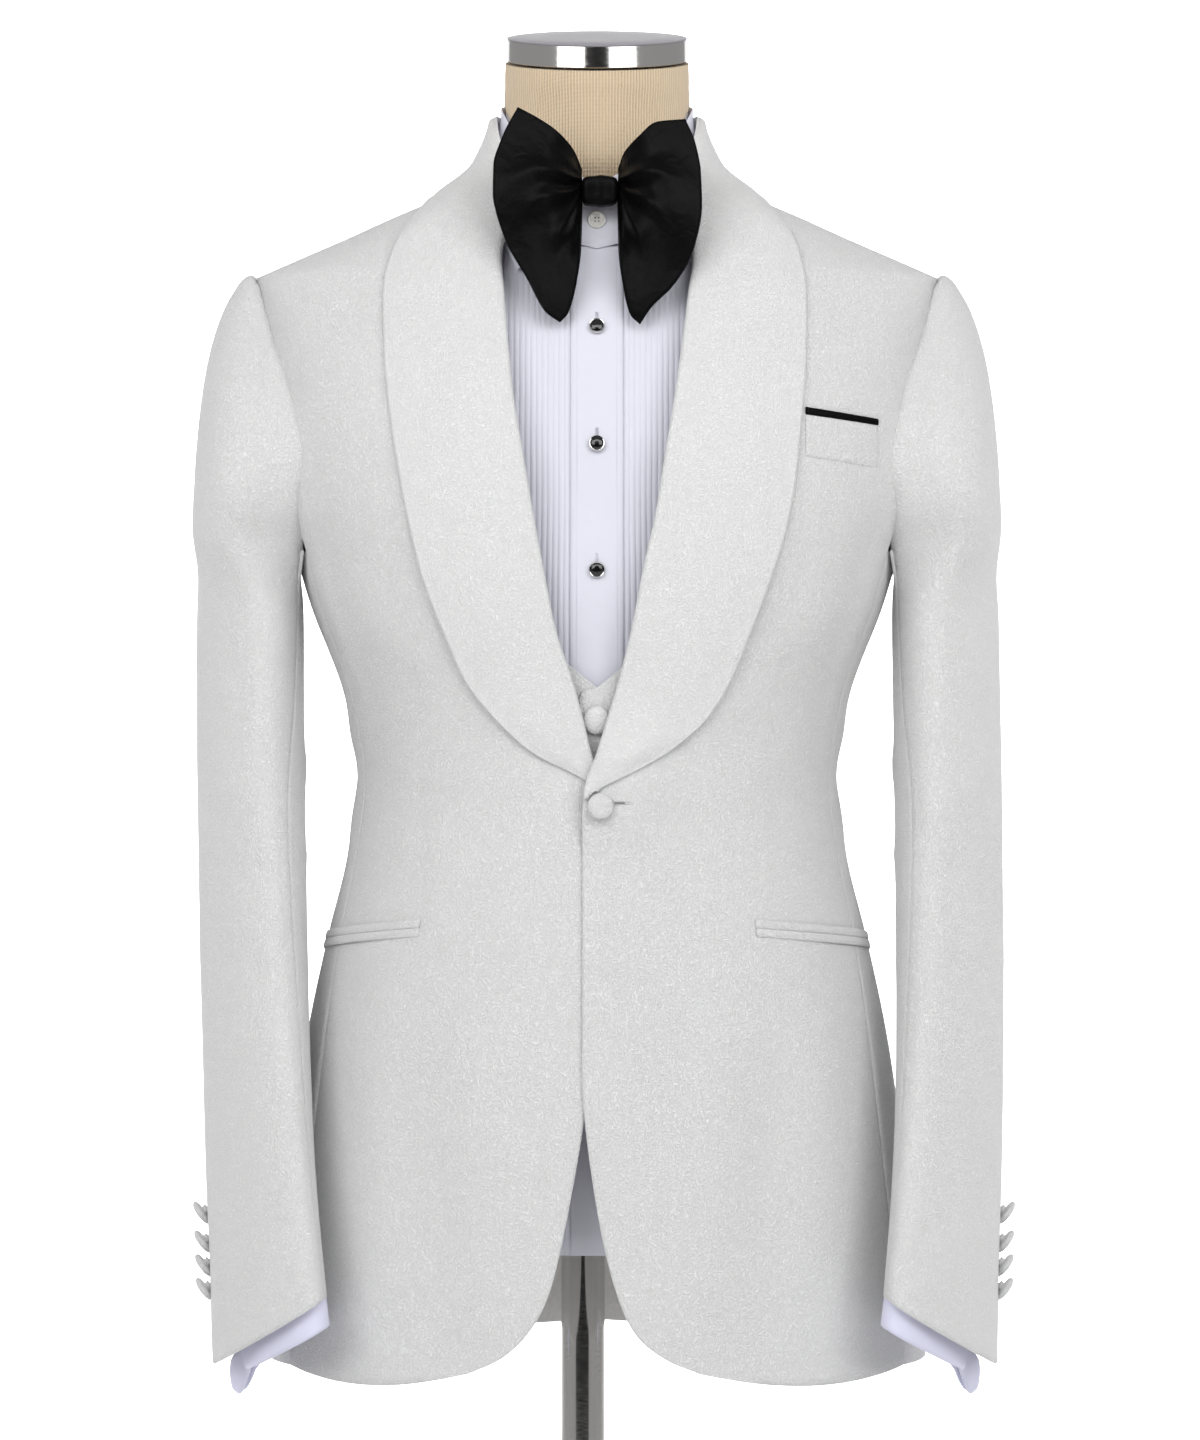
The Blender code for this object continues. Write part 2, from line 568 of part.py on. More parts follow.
# ---- dress form ----------------------------------------------------------------------------------
def build_form():
    heights = [FORM_BOTTOM, 1.000, 1.130, 1.250, 1.350, 1.420, 1.4445]
    heights += [1.4535, 1.4650, 1.4775, 1.4900, 1.5010, 1.5150, 1.5400, 1.5600]
    around = 28
    rings = []
    for z in heights:
        sunk = -FORM_SUNK * (1 - soft_step(z, 1.498, 1.520)) - NECK_SUNK * (1 - soft_step(z, 1.560, 1.575))
        sunk -= TIP_SUNK * soft_step(z, 1.400, 1.430) * (1 - soft_step(z, 1.460, 1.490))
        rings.append([FORM.point(1, 2 * k / around, z, sunk) for k in range(around)])
    for point in rings[0]:
        point[2] = FORM_BOTTOM
    top = [FORM.bare(1, 2 * k / around, NECK_TOP) for k in range(around)]
    rings.append([p + np.array([0, 0, NECK_TILT * p[1]]) for p in top])
    points = [p for ring in rings for p in ring]
    faces = [tuple(range(around)), tuple(range(len(points) - around, len(points)))]
    for i in range(len(rings) - 1):
        for k in range(around):
            low = i * around
            high = low + around
            faces.append((low + k, low + (k + 1) % around, high + (k + 1) % around, high + k))
    add_object("form_torso", points, faces, "knit_cover")


def tilted_ring(radius, height, around):
    ring = []
    for k in range(around):
        angle = 2 * math.pi * k / around
        x = CENTRE_X + radius * math.sin(angle)
        y = -radius * math.cos(angle)
        ring.append((x, y, height + NECK_TILT * y))
    return ring


def build_cap():
    around = 24
    low = NECK_TOP + SEAM_GAP
    high = NECK_TOP + CAP_HEIGHT
    outer = np.array([tilted_ring(CAP_RADIUS, low, around), tilted_ring(CAP_RADIUS, high, around)])
    inner_radius = CAP_RADIUS - CAP_WALL
    inner = np.array([tilted_ring(inner_radius, low, around), tilted_ring(inner_radius, high, around)])
    wall("neck_cap_band", outer, inner, "bright_steel", ring=True)
    disc_radius = inner_radius - SEAM_GAP
    points = tilted_ring(disc_radius, low, around) + tilted_ring(disc_radius, high - 0.0008, around)
    faces = [tuple(range(around)), tuple(range(around, 2 * around))]
    faces += [(k, (k + 1) % around, around + (k + 1) % around, around + k) for k in range(around)]
    add_object("neck_cap_top", points, faces, "cap_grey")


def build_stand():
    base = [(BASE_RADIUS, 0.0), (BASE_RADIUS, BASE_THICKNESS - 0.002), (BASE_RADIUS - 0.002, BASE_THICKNESS)]
    base += [(0.022, BASE_THICKNESS + 0.005), (0.020, BASE_THICKNESS + 0.007)]
    turned("base_plate", base, np.zeros(3), (0, 0, 1), "bright_steel", 28)
    foot = BASE_THICKNESS + 0.007 + SEAM_GAP
    pole = [(POLE_RADIUS, foot), (POLE_RADIUS, FORM_BOTTOM - SEAM_GAP)]
    turned("pole", pole, np.zeros(3), (0, 0, 1), "bright_steel", 18)


# ---- shirt ---------------------------------------------------------------------------------------
def shirt_armhole(place):
    """(turn, height) on the shirt's armhole edge; place is in degrees, -90 armpit, 0 front, 90 top."""
    middle = (SHIRT_ARMHOLE_LOW + SHIRT_ARMHOLE_HIGH) / 2
    half = (SHIRT_ARMHOLE_HIGH - SHIRT_ARMHOLE_LOW) / 2
    swing = math.radians(place)
    return 0.5 - SHIRT_ARMHOLE_TURN * math.cos(swing), middle + half * math.sin(swing)


def settle(turn, height):
    """The shirt lies nearer the form on the shoulders, and where the waistcoat hides it."""
    hidden = soft_step(turn, 0.22, 0.36) * (1 - soft_step(height, 1.499, 1.512))
    return -SHOULDER_SETTLE * soft_step(height, 1.41, 1.45) - HIDDEN_SETTLE * hidden


def row_between(lower, upper):
    return [tuple(blend(a, b, 0.5) for a, b in zip(*pair)) for pair in zip(lower, upper)]


def build_shirt_front(side, label):
    seam = Curve([0.0, 0.022, 0.044, 0.058, 0.0655], [SHIRT_NECK_FRONT, 1.4645, 1.4735, 1.4850, 1.4985])
    tuck_start = PLACKET_HALF + 0.0015
    columns = [(0.0, 0.0), (PLACKET_HALF, 0.0), (tuck_start, 0.0)]
    for k in range(TUCKS[side]):
        columns.append((tuck_start + k * TUCK_PITCH + 0.0006, TUCK_RAISE))
        columns.append((tuck_start + (k + 1) * TUCK_PITCH, 0.0))
    levels = [(z, 0.5, z) for z in LOW_ROWS]
    levels += [(z, *shirt_armhole(place)) for z, place in zip(INNER_ROWS, ARMHOLE_PLACES)]
    rows = []
    for level, outer_turn, outer_height in levels:
        share = max(0.0, (level - 1.27) / (SHIRT_NECK_FRONT - 1.27))
        row = []
        for across, lift in columns:
            height = level + share * (seam(across) - SHIRT_NECK_FRONT)
            turn = FORM.turn_at(across, height)
            row.append((turn, height, lift + settle(turn, height)))
        start_turn, start_height = row[-1][:2]
        top = level == SHIRT_NECK_FRONT
        ends = [(0.385, 1.5000), (0.5, SHIRT_NECK_POINT), (0.5, 1.4750), (0.5, outer_height)]
        for k, end in enumerate(ends):
            turn = end[0] if top else blend(start_turn, outer_turn, (k + 1) / 4)
            height = end[1] if top else blend(start_height, outer_height, (k + 1) / 4)
            row.append((turn, height, settle(turn, height)))
        rows.append(row)
    rows.insert(-1, row_between(rows[-2], rows[-1]))
    torso_wall(
        f"shirt_front_{label}", FORM, side, rows, SHIRT_OUT, SHIRT_CLOTH, "shirt_cloth",
        last_row=SEAM_GAP / 2, first_column=SEAM_GAP / 2, last_column=SEAM_GAP / 2,
    )


def back_rows(outer, centre_heights, top, first_shaped):
    """Half a back, from its outer edge to the centre. Rows take on the top edge's shape on the way up."""
    rows = []
    last = len(outer) - 1
    for k, ((turn, height), centre) in enumerate(zip(outer, centre_heights)):
        pull = max(0.0, (k - first_shaped) / (last - first_shaped)) ** 2
        row = []
        for j, (top_turn, top_height) in enumerate(top):
            share = j / (len(top) - 1)
            shaped_turn = 1 - (1 - top_turn) / 0.5 * (1 - turn)
            rise = (top_height - top[0][1]) / (top[-1][1] - top[0][1])
            row.append((
                blend(blend(turn, 1.0, share), shaped_turn, pull),
                blend(height, centre, blend(share, rise, pull)),
                0.0,
            ))
        rows.append(row)
    return rows


def build_shirt_back():
    outer = [(0.5, z) for z in LOW_ROWS]
    outer += [(1 - turn, height) for turn, height in map(shirt_armhole, ARMHOLE_PLACES)]
    centres = [*LOW_ROWS, 1.280, 1.360, 1.430, 1.480, SHIRT_NECK_BACK]
    top = [(0.5, SHIRT_ARMHOLE_HIGH), (0.5, 1.4750), (0.5, SHIRT_NECK_POINT)]
    top += [(0.66, 1.5060), (0.83, 1.5075), (1.0, SHIRT_NECK_BACK)]
    rows = []
    halves = back_rows(outer, centres, top, 4)
    halves.insert(-1, row_between(halves[-2], halves[-1]))
    for half in halves:
        half = [(turn, height, settle(turn, height)) for turn, height, _ in half]
        rows.append(half + [(2 - turn, height, lift) for turn, height, lift in reversed(half[:-1])])
    torso_wall(
        "shirt_back", FORM, 1, rows, SHIRT_OUT, SHIRT_CLOTH, "shirt_cloth",
        last_row=SEAM_GAP / 2, first_column=SEAM_GAP / 2, last_column=SEAM_GAP / 2,
    )


def build_placket():
    rows = []
    for height in (*LOW_ROWS, *INNER_ROWS[:-1], SHIRT_NECK_FRONT - 0.001):
        acrosses = spread(4, -PLACKET_HALF, PLACKET_HALF)
        rows.append([(FORM.turn_at(across, height), height, settle(0.0, height)) for across in acrosses])
    lift = SHIRT_OUT + SEAM_GAP + SHIRT_CLOTH
    torso_wall("shirt_placket", FORM, 1, rows, lift, SHIRT_CLOTH, "shirt_cloth")


def build_collar():
    bottom = Curve([0.0, 0.25, 0.5, 1.0], [SHIRT_NECK_FRONT + 0.0012, 1.4900, 1.5085, 1.5110])
    top = Curve([0.0, 0.25, 0.5, 1.0], [1.5020, 1.5240, 1.5520, 1.5590])
    around = 28
    rows = []
    for share in (0.0, 0.5, 1.0):
        row = []
        for k in range(around):
            turn = 2 * k / around
            nearer = min(turn, 2 - turn)
            row.append((turn, blend(bottom(nearer), top(nearer), share), 0.0))
        rows.append(row)
    torso_wall("shirt_collar_band", FORM, 1, rows, BAND_OUT, SHIRT_CLOTH, "shirt_cloth", ring=True)
    rows = []
    leaf = [Curve(range(len(COLLAR_LEAF)), values) for values in zip(*COLLAR_LEAF)]
    for share, lift in ((0.0, 0.0034), (0.22, 0.0045), (0.52, 0.0064), (1.0, 0.0056)):
        half = []
        for place in spread(15, 0, len(COLLAR_LEAF) - 1):
            fold_turn, fold_height, edge_turn, edge_height = (line(place) for line in leaf)
            over_strap = 0.0026 * (1 - soft_step(fold_turn, 0.20, 0.40)) * (1 - share)
            turn = blend(fold_turn, edge_turn, share)
            half.append((turn, blend(fold_height, edge_height, share), lift + over_strap))
        rows.append(half + [(2 - turn, height, out) for turn, height, out in reversed(half[:-1])])
    torso_wall("shirt_collar_leaf", FORM, 1, rows, 0.0, SHIRT_CLOTH, "shirt_cloth")


def sleeve_ring(height):
    columns = Ring._fields[1:]
    return Ring(height, *(curve_of(SLEEVE_RINGS, "height", name)(height) for name in columns))


def ring_point(side, ring, place, inset=0.0, stretch=0.0):
    """A point round a sleeve ring; place is in degrees, 0 its front fold, 90 its outer side."""
    swing = math.radians(place)
    fold = math.radians(ring.turn_deg)
    along = (ring.long_half - inset) * math.cos(swing) - stretch
    thick = (ring.thin_half - inset) * math.sin(swing)
    across = ring.across + side * ring.lean - math.sin(fold) * along + math.cos(fold) * thick
    y = ring.forward_y - math.cos(fold) * along - math.sin(fold) * thick
    drop = ring.slope * (math.cos(swing - math.radians(HEM_LOW_DEG)) + stretch / ring.long_half)
    return np.array([CENTRE_X + side * across, y, ring.height - drop])


def ring_centre(side, ring):
    return np.array([CENTRE_X + side * (ring.across + side * ring.lean), ring.forward_y, ring.height])


def tilted_ring_point(side, ring, place):
    """A point round a ring that tips from the shoulder's top to the armpit."""
    swing = math.radians(place)
    share = (1 + math.sin(swing)) / 2
    across = blend(ring.inner_across, ring.outer_across, share)
    height = blend(ring.inner_height, ring.outer_height, share)
    return np.array([CENTRE_X + side * across, ring.middle_y - ring.half_depth * math.cos(swing), height])


def build_shirt_sleeve(side, label):
    places = [36.0 * k for k in range(10)]
    grid = []
    for height in (CUFF_TOP + 0.0015, 0.950, 1.060, 1.180):
        grid.append([ring_point(side, sleeve_ring(height), place, SHIRT_SLEEVE_INSET) for place in places])
    for ring in SHIRT_SLEEVE_TOP:
        grid.append([tilted_ring_point(side, ring, place) for place in places])
    joint = []
    for place in places:
        turn, height = shirt_armhole(place)
        edge = FORM.point(side, turn, height, SHIRT_OUT + settle(turn, height))
        joint.append(edge + np.array([side * 0.0034, 0, 0]))
    grid.append(joint)
    outer = np.array(grid)
    middles = outer.mean(axis=1)
    normals = grid_normals(outer, ring=True, away_from=lambda i, p: middles[i])
    wall(f"shirt_sleeve_{label}", outer, outer - SHIRT_CLOTH * normals, "shirt_cloth", ring=True)


def build_cuff(side, label):
    """A double cuff whose two ends stand together behind the wrist."""
    hem = SLEEVE_RINGS[0]
    lowest = hem._replace(
        height=hem.height - CUFF_DROP, across=hem.across - 0.0012, forward_y=hem.forward_y - 0.0040
    )
    middle = hem._replace(height=hem.height - CUFF_DROP * 0.58, forward_y=hem.forward_y - 0.0020)
    just_below = hem._replace(height=hem.height - 0.0045, forward_y=hem.forward_y - 0.0010)
    at_hem = hem._replace(height=hem.height - 0.0012)
    rings = [lowest, middle, just_below, at_hem, sleeve_ring(CUFF_TOP)]
    round_places = [162, 130, 90, 50, 20, -5, -35, -75, -115, -155]
    outer = []
    for ring, shown, rounding in zip(rings, (0.80, 1.0, 0.9, 0.02, 0.02), (0.0045, 0, 0, 0, 0)):
        tip = CUFF_TAIL * shown
        row = []
        for stretch, lift in ((tip, rounding), (tip * 0.6, 0.0), (tip * 0.25, 0.0)):
            point = ring_point(side, ring, 172, CUFF_INSET, stretch)
            row.append(point + np.array([side * 0.0002, 0, lift]))
        row += [ring_point(side, ring, place, CUFF_INSET) for place in round_places]
        for stretch, lift in ((tip * 0.25, 0.0), (tip * 0.6, 0.0), (tip, rounding)):
            point = ring_point(side, ring, -170, CUFF_INSET, stretch)
            row.append(point + np.array([0, 0, lift]))
        outer.append(row)
    outer = np.array(outer)
    normals = grid_normals(outer)
    middle_column = 3 + len(round_places) // 2
    facing = np.dot(normals[2, middle_column], outer[2, middle_column] - ring_centre(side, hem))
    if facing < 0:
        normals = -normals
    wall(f"shirt_cuff_{label}", outer, outer - CUFF_CLOTH * normals, "shirt_cloth")


# ---- waistcoat -----------------------------------------------------------------------------------
def vest_lift(side, across, height):
    """The left front laps over the right one; both lie nearer the form on the shoulders."""
    lap = VEST_LAP_LIFT * (1 - soft_step(across, 0.012, 0.032)) * (1 - soft_step(height, 1.190, 1.220))
    return (lap if side > 0 else 0.0) - VEST_SETTLE * soft_step(height, 1.40, 1.46)


def build_waistcoat():
    for side, label in ((1, "left"), (-1, "right")):
        rows = []
        for row in VEST_ROWS:
            last = row is VEST_ROWS[-1]
            start = 0.5 if last else FORM.turn_at(row.across, row.height)
            cells = []
            for share in (0.0, 0.12, 0.28, 0.46, 0.64, 0.82, 1.0):
                turn = blend(start, row.front_turn, share)
                height = blend(row.height, row.outer_height, share)
                across = side * (FORM.bare(side, turn, height)[0] - CENTRE_X)
                cells.append((turn, height, vest_lift(side, across, height)))
            rows.append(cells)
        torso_wall(
            f"waistcoat_front_{label}", FORM, side, rows, WAISTCOAT_OUT, WAISTCOAT_CLOTH, "waistcoat_cloth",
            last_row=2 * SEAM_GAP, last_column=SEAM_GAP,
        )
    outer = [(row.back_turn, row.outer_height) for row in VEST_ROWS]
    last = len(VEST_ROWS) - 1
    highest = VEST_ROWS[-1].height
    centres = [blend(row.outer_height, highest, (k / last) ** 2) for k, row in enumerate(VEST_ROWS)]
    centres[-1] = VEST_NECK_BACK
    top = [(0.5, VEST_ROWS[-1].outer_height), (0.5, 1.4835), (0.5, VEST_ROWS[-1].height)]
    top += [(0.66, 1.4930), (0.83, 1.4935), (1.0, VEST_NECK_BACK)]
    rows = []
    for half in back_rows(outer, centres, top, 7):
        half = [(turn, height, vest_lift(-1, 1.0, height)) for turn, height, _ in half]
        rows.append(half + [(2 - turn, height, lift) for turn, height, lift in reversed(half[:-1])])
    torso_wall(
        "waistcoat_back", FORM, 1, rows, WAISTCOAT_OUT, WAISTCOAT_CLOTH, "waistcoat_cloth",
        last_row=SEAM_GAP / 2, first_column=SEAM_GAP / 2, last_column=SEAM_GAP / 2,
    )


# ---- jacket --------------------------------------------------------------------------------------
def lap_lift(side, across, height):
    """How far the left front stands off where it laps over the right one, most over the lapel's end."""
    if side < 0:
        return 0.0
    bulk = soft_step(height, 1.085, 1.115) * (1 - soft_step(height, 1.150, 1.165))
    lift = LAP_LIFT * (1 + 1.7 * bulk) * (1 - soft_step(height, 1.150, 1.200))
    return lift * (1 - soft_step(across, 0.014, 0.055))


def front_row_ends(side):
    """Each row of a front: ((turn, height) at its inner edge, (turn, height) at its outer edge)."""
    armhole_turn = curve_of(JACKET_ARMHOLE, "height", "front_turn")
    ends = []
    for row in FRONT_SKIRT + FRONT_LAPEL:
        across = row.over if side > 0 else row.under
        outer_turn = armhole_turn(row.outer_height) if row.outer_height > 1.28 else FRONT_SEAM_TURN
        ends.append(((JACKET.turn_at(across, row.height), row.height), (outer_turn, row.outer_height)))
    for row in FRONT_NECK:
        ends.append(((row.seam_turn, row.seam_height), (armhole_turn(row.outer_height), row.outer_height)))
    return ends


def front_cell(side, start, end, share):
    """(turn, height, lift) part of the way along a front's row."""
    turn = blend(start[0], end[0], share)
    height = blend(start[1], end[1], share)
    across = side * (JACKET.bare(side, turn, height)[0] - CENTRE_X)
    return turn, height, lap_lift(side, across, height)


def build_front(side, label):
    shares = [0.0, 0.08, 0.20, 0.36, 0.52, 0.68, 0.84, 1.0]
    rows = []
    for k, (start, end) in enumerate(front_row_ends(side)):
        row = [front_cell(side, start, end, share) for share in shares]
        if k == 0:
            row = [(t, z - HEM_DIP * math.sin(math.pi * s), lift) for (t, z, lift), s in zip(row, shares)]
        rows.append(row)
    torso_wall(
        f"jacket_front_{label}", JACKET, side, rows, 0.0, JACKET_CLOTH, "jacket_cloth",
        last_row=SEAM_GAP / 2, last_column=SEAM_GAP / 2,
    )


def side_heights():
    return [0.770, 0.860, 0.936, 1.012, 1.090, 1.130, 1.170, 1.218, 1.275]


def underarm_height(turn):
    """The height of the armhole's lowest stretch, under the arm."""
    share = abs(turn - 0.5) / 0.1
    return blend(ARMPIT_HEIGHT, 1.275, min(share, 1.0) ** 1.6)


def build_side(side, label):
    rows = []
    for height in side_heights():
        turns = [FRONT_SEAM_TURN, 0.47, 0.54, BACK_SEAM_TURN]
        top = height == side_heights()[-1]
        rows.append([(turn, underarm_height(turn) if top else height, 0.0) for turn in turns])
    torso_wall(
        f"jacket_side_{label}", JACKET, side, rows, 0.0, JACKET_CLOTH, "jacket_cloth",
        last_row=SEAM_GAP / 2, first_column=SEAM_GAP / 2, last_column=SEAM_GAP / 2,
    )


def build_back(side, label):
    outer = [(BACK_SEAM_TURN, height) for height in side_heights()]
    outer += [(row.back_turn, row.height) for row in JACKET_ARMHOLE[1:]]
    count = len(outer)
    first = len(side_heights())
    centres = []
    for k, (_, height) in enumerate(outer):
        rise = max(0.0, (k - first) / (count - 1 - first))
        centres.append(blend(outer[first][1], NECK_BACK_HEIGHT, rise ** 0.65) if k > first else height)
    centres[0] = BACK_HEM_HEIGHT
    top = [(0.5, SHOULDER_TIP_HEIGHT), (0.5, 1.4670), (0.5, 1.4890), (0.5, NECK_POINT_HEIGHT)]
    top += [(0.65, 1.5140), (0.82, 1.5150), (1.0, NECK_BACK_HEIGHT)]
    torso_wall(
        f"jacket_back_{label}", JACKET, side, back_rows(outer, centres, top, first - 1), 0.0,
        JACKET_CLOTH, "jacket_cloth",
        last_row=SEAM_GAP / 2, first_column=SEAM_GAP / 2, last_column=SEAM_GAP / 2,
    )


def shawl_stations(side):
    """(fold, outer edge, neck seam) of each station, from the break up and round to the centre back."""
    edge = curve_of(SHAWL_EDGE, "height", "over" if side > 0 else "under")
    stations = []
    ends = front_row_ends(side)[len(FRONT_SKIRT):]
    for k, (start, end) in enumerate(ends):
        low = 0.0
        high = 1.0
        for _ in range(30):
            middle = (low + high) / 2
            turn = blend(start[0], end[0], middle)
            height = blend(start[1], end[1], middle)
            across = side * (JACKET.bare(side, turn, height)[0] - CENTRE_X)
            if across < edge(height):
                low = middle
            else:
                high = middle
        rim = (blend(start[0], end[0], low), blend(start[1], end[1], low))
        stand = k - len(FRONT_LAPEL)
        if stand < 0:
            stations.append((start, rim, start))
        else:
            row = FRONT_NECK[stand]
            stations.append(((row.fold_turn, row.fold_height), rim, start))
    for row in BACK_COLLAR:
        heights = (row.fold_height, row.edge_height, row.seam_height)
        stations.append(tuple((row.turn, height) for height in heights))
    return stations


def shawl_path(side, fold, rim, seam):
    """The middle of the shawl's cloth at one station: its leaf, the fold, and the stand inside."""
    full = COLLAR_FULLNESS * soft_step(fold[0], 0.08, 0.28)
    path = []
    for share in LEAF_SHARES:
        leaf_out = LAY_GAP + JACKET_CLOTH / 2 + full * (1 - 0.5 * share ** 2)
        turn = blend(rim[0], fold[0], share)
        height = blend(rim[1], fold[1], share)
        across = side * (JACKET.bare(side, turn, height)[0] - CENTRE_X)
        path.append(JACKET.point(side, turn, height, leaf_out + lap_lift(side, across, height)))
    normal = JACKET.normal(side, *fold)
    across = side * (JACKET.bare(side, *fold)[0] - CENTRE_X)
    root = JACKET.point(side, *fold, lap_lift(side, across, fold[1]))
    beyond = unit(path[-1] - path[-2])
    beyond = unit(beyond - normal * np.dot(beyond, normal))
    path.append(root + 0.0022 * beyond + 0.0010 * normal)
    if fold == seam:
        path.append(root + 0.0030 * beyond - 0.0007 * normal)
        path.append(root + 0.0027 * beyond - 0.0018 * normal)
        path.append(root + 0.0021 * beyond - 0.0026 * normal)
        path.append(root + 0.0013 * beyond - 0.0031 * normal)
    else:
        inside = -0.2 * JACKET_CLOTH
        path.append(root + 0.0028 * beyond)
        path.append(root + 0.0016 * beyond - 0.0004 * normal)
        middle = (blend(fold[0], seam[0], 0.5), blend(fold[1], seam[1], 0.5))
        path.append(JACKET.point(side, *middle, inside))
        foot = JACKET.point(side, *seam, inside)
        path.append(foot + 8 * SEAM_GAP * unit(path[-1] - foot))
    return path


def build_shawl(side, label):
    middle = np.array([shawl_path(side, *station) for station in shawl_stations(side)])
    normals = grid_normals(middle)
    station = len(FRONT_LAPEL) // 2
    if np.dot(normals[station, 2], JACKET.normal(side, 0.3, 1.2)) < 0:
        normals = -normals
    half = JACKET_CLOTH / 2
    outer = trimmed(middle + half * normals, last_row=SEAM_GAP / 2)
    inner = trimmed(middle - half * normals, last_row=SEAM_GAP / 2)
    for grid in (outer, inner):
        grid[-1, :, 0] = CENTRE_X + side * SEAM_GAP / 2
    wall(f"jacket_shawl_{label}", outer, inner, "jacket_cloth")


def sleeve_head_rows(side, count):
    """The upper sleeve's rows over the shoulder, between the armhole's front and back edges."""
    grid = []
    for row in JACKET_ARMHOLE[:-1]:
        lift = UNDERARM_LIFT if row is JACKET_ARMHOLE[0] else 0.0
        away = np.array([0.0 if lift else side * SEAM_GAP, 0, 0])
        front = JACKET.point(side, row.front_turn, row.height, lift) + away
        back = JACKET.point(side, row.back_turn, row.height, lift) + away
        cells = []
        for share in spread(count):
            bow = math.sin(math.pi * share)
            edge_x = blend(front[0], back[0], share)
            x = edge_x + (CENTRE_X + side * row.head_across - edge_x) * bow ** 0.75
            reach = math.cos(math.pi * share) * (1 + row.belly * bow)
            y = (front[1] + back[1]) / 2 - (back[1] - front[1]) / 2 * reach
            cells.append(np.array([x, y, blend(row.height, row.head_height, bow)]))
        grid.append(cells)
    front_turn = curve_of(JACKET_ARMHOLE, "height", "front_turn")(HEAD_TOP_HEIGHT)
    back_turn = curve_of(JACKET_ARMHOLE, "height", "back_turn")(HEAD_TOP_HEIGHT)
    cells = []
    for share in spread(count):
        height = blend(HEAD_TOP_HEIGHT, SHOULDER_TIP_HEIGHT, math.sin(math.pi * share))
        point = JACKET.point(side, blend(front_turn, back_turn, share), height)
        cells.append(point + np.array([side * 2 * SEAM_GAP, 0, 0]))
    return grid + [cells]


def build_sleeve(side, label):
    upper_count = 9
    under_count = 6
    upper_places = spread(upper_count, *UPPER_SLEEVE_SPAN)
    under_places = spread(under_count, *UNDER_SLEEVE_SPAN)
    rings = len(SLEEVE_RINGS)
    upper = [[ring_point(side, ring, place) for place in upper_places] for ring in SLEEVE_RINGS]
    upper = np.array(upper + sleeve_head_rows(side, upper_count))
    under = [[ring_point(side, ring, place) for place in under_places] for ring in SLEEVE_RINGS]
    top = []
    for turn in spread(under_count, BACK_SEAM_TURN, FRONT_SEAM_TURN):
        top.append(JACKET.point(side, turn, underarm_height(turn), UNDERARM_LIFT))
    under = np.array(under + [top])
    middles = [ring_centre(side, ring) for ring in SLEEVE_RINGS]
    middles += [np.array([CENTRE_X + side * 0.18, 0.0, row.height - 0.03]) for row in JACKET_ARMHOLE]
    upper_normals = grid_normals(upper, away_from=lambda i, p: middles[i])
    under_normals = grid_normals(under, away_from=lambda i, p: middles[min(i, rings - 1)])
    for i in range(rings + 1):
        for mine, other in ((0, -1), (-1, 0)):
            shared = unit(upper_normals[i, mine] + under_normals[i, other])
            upper_normals[i, mine] = shared
            under_normals[i, other] = shared
    edges = {"first_column": SEAM_GAP / 2, "last_column": SEAM_GAP / 2}
    for name, outer, normals in (("upper", upper, upper_normals), ("under", under, under_normals)):
        inner = outer - JACKET_CLOTH * normals
        wall(
            f"jacket_{name}_sleeve_{label}", trimmed(outer, **edges), trimmed(inner, **edges), "jacket_cloth"
        )


def build_pockets():
    for side, label in ((1, "left"), (-1, "right")):
        for name, low, high in (("upper", 0.0002, 0.0052), ("lower", -0.0053, -0.0002)):
            rows = []
            for offset in (low, high):
                row = []
                for share in spread(8):
                    height = blend(*POCKET_HEIGHTS, share) + offset
                    start = JACKET.turn_at(POCKET_START[side], height)
                    row.append((blend(start, POCKET_END_TURN, share), height, 0.0))
                rows.append(row)
            lift = LAY_GAP + JET_CLOTH
            torso_wall(f"hip_pocket_jet_{name}_{label}", JACKET, side, rows, lift, JET_CLOTH, "jacket_cloth")
    for name, finish, edges, lift in (
        ("chest_welt", "jacket_cloth", WELT_HEIGHTS, LAY_GAP + WELT_CLOTH),
        ("pocket_square", "black_satin", SQUARE_HEIGHTS, LAY_GAP + SQUARE_CLOTH),
    ):
        rows = []
        for start_height, end_height in edges:
            row = []
            for share in spread(6):
                across = blend(*WELT_ACROSS, share)
                height = blend(start_height, end_height, share)
                row.append((JACKET.turn_at(across, height), height, 0.0))
            rows.append(row)
        cloth = WELT_CLOTH if name == "chest_welt" else SQUARE_CLOTH
        torso_wall(name, JACKET, 1, rows, lift, cloth, finish)


# ---- buttons, studs and the bow ------------------------------------------------------------------
def covered_button(name, base, axis, radius, thickness, finish="jacket_cloth", segments=12):
    profile = [(radius * 0.85, 0.0), (radius, thickness * 0.35), (radius * 0.90, thickness * 0.72)]
    profile += [(radius * 0.5, thickness)]
    turned(name, profile, base, axis, finish, segments)


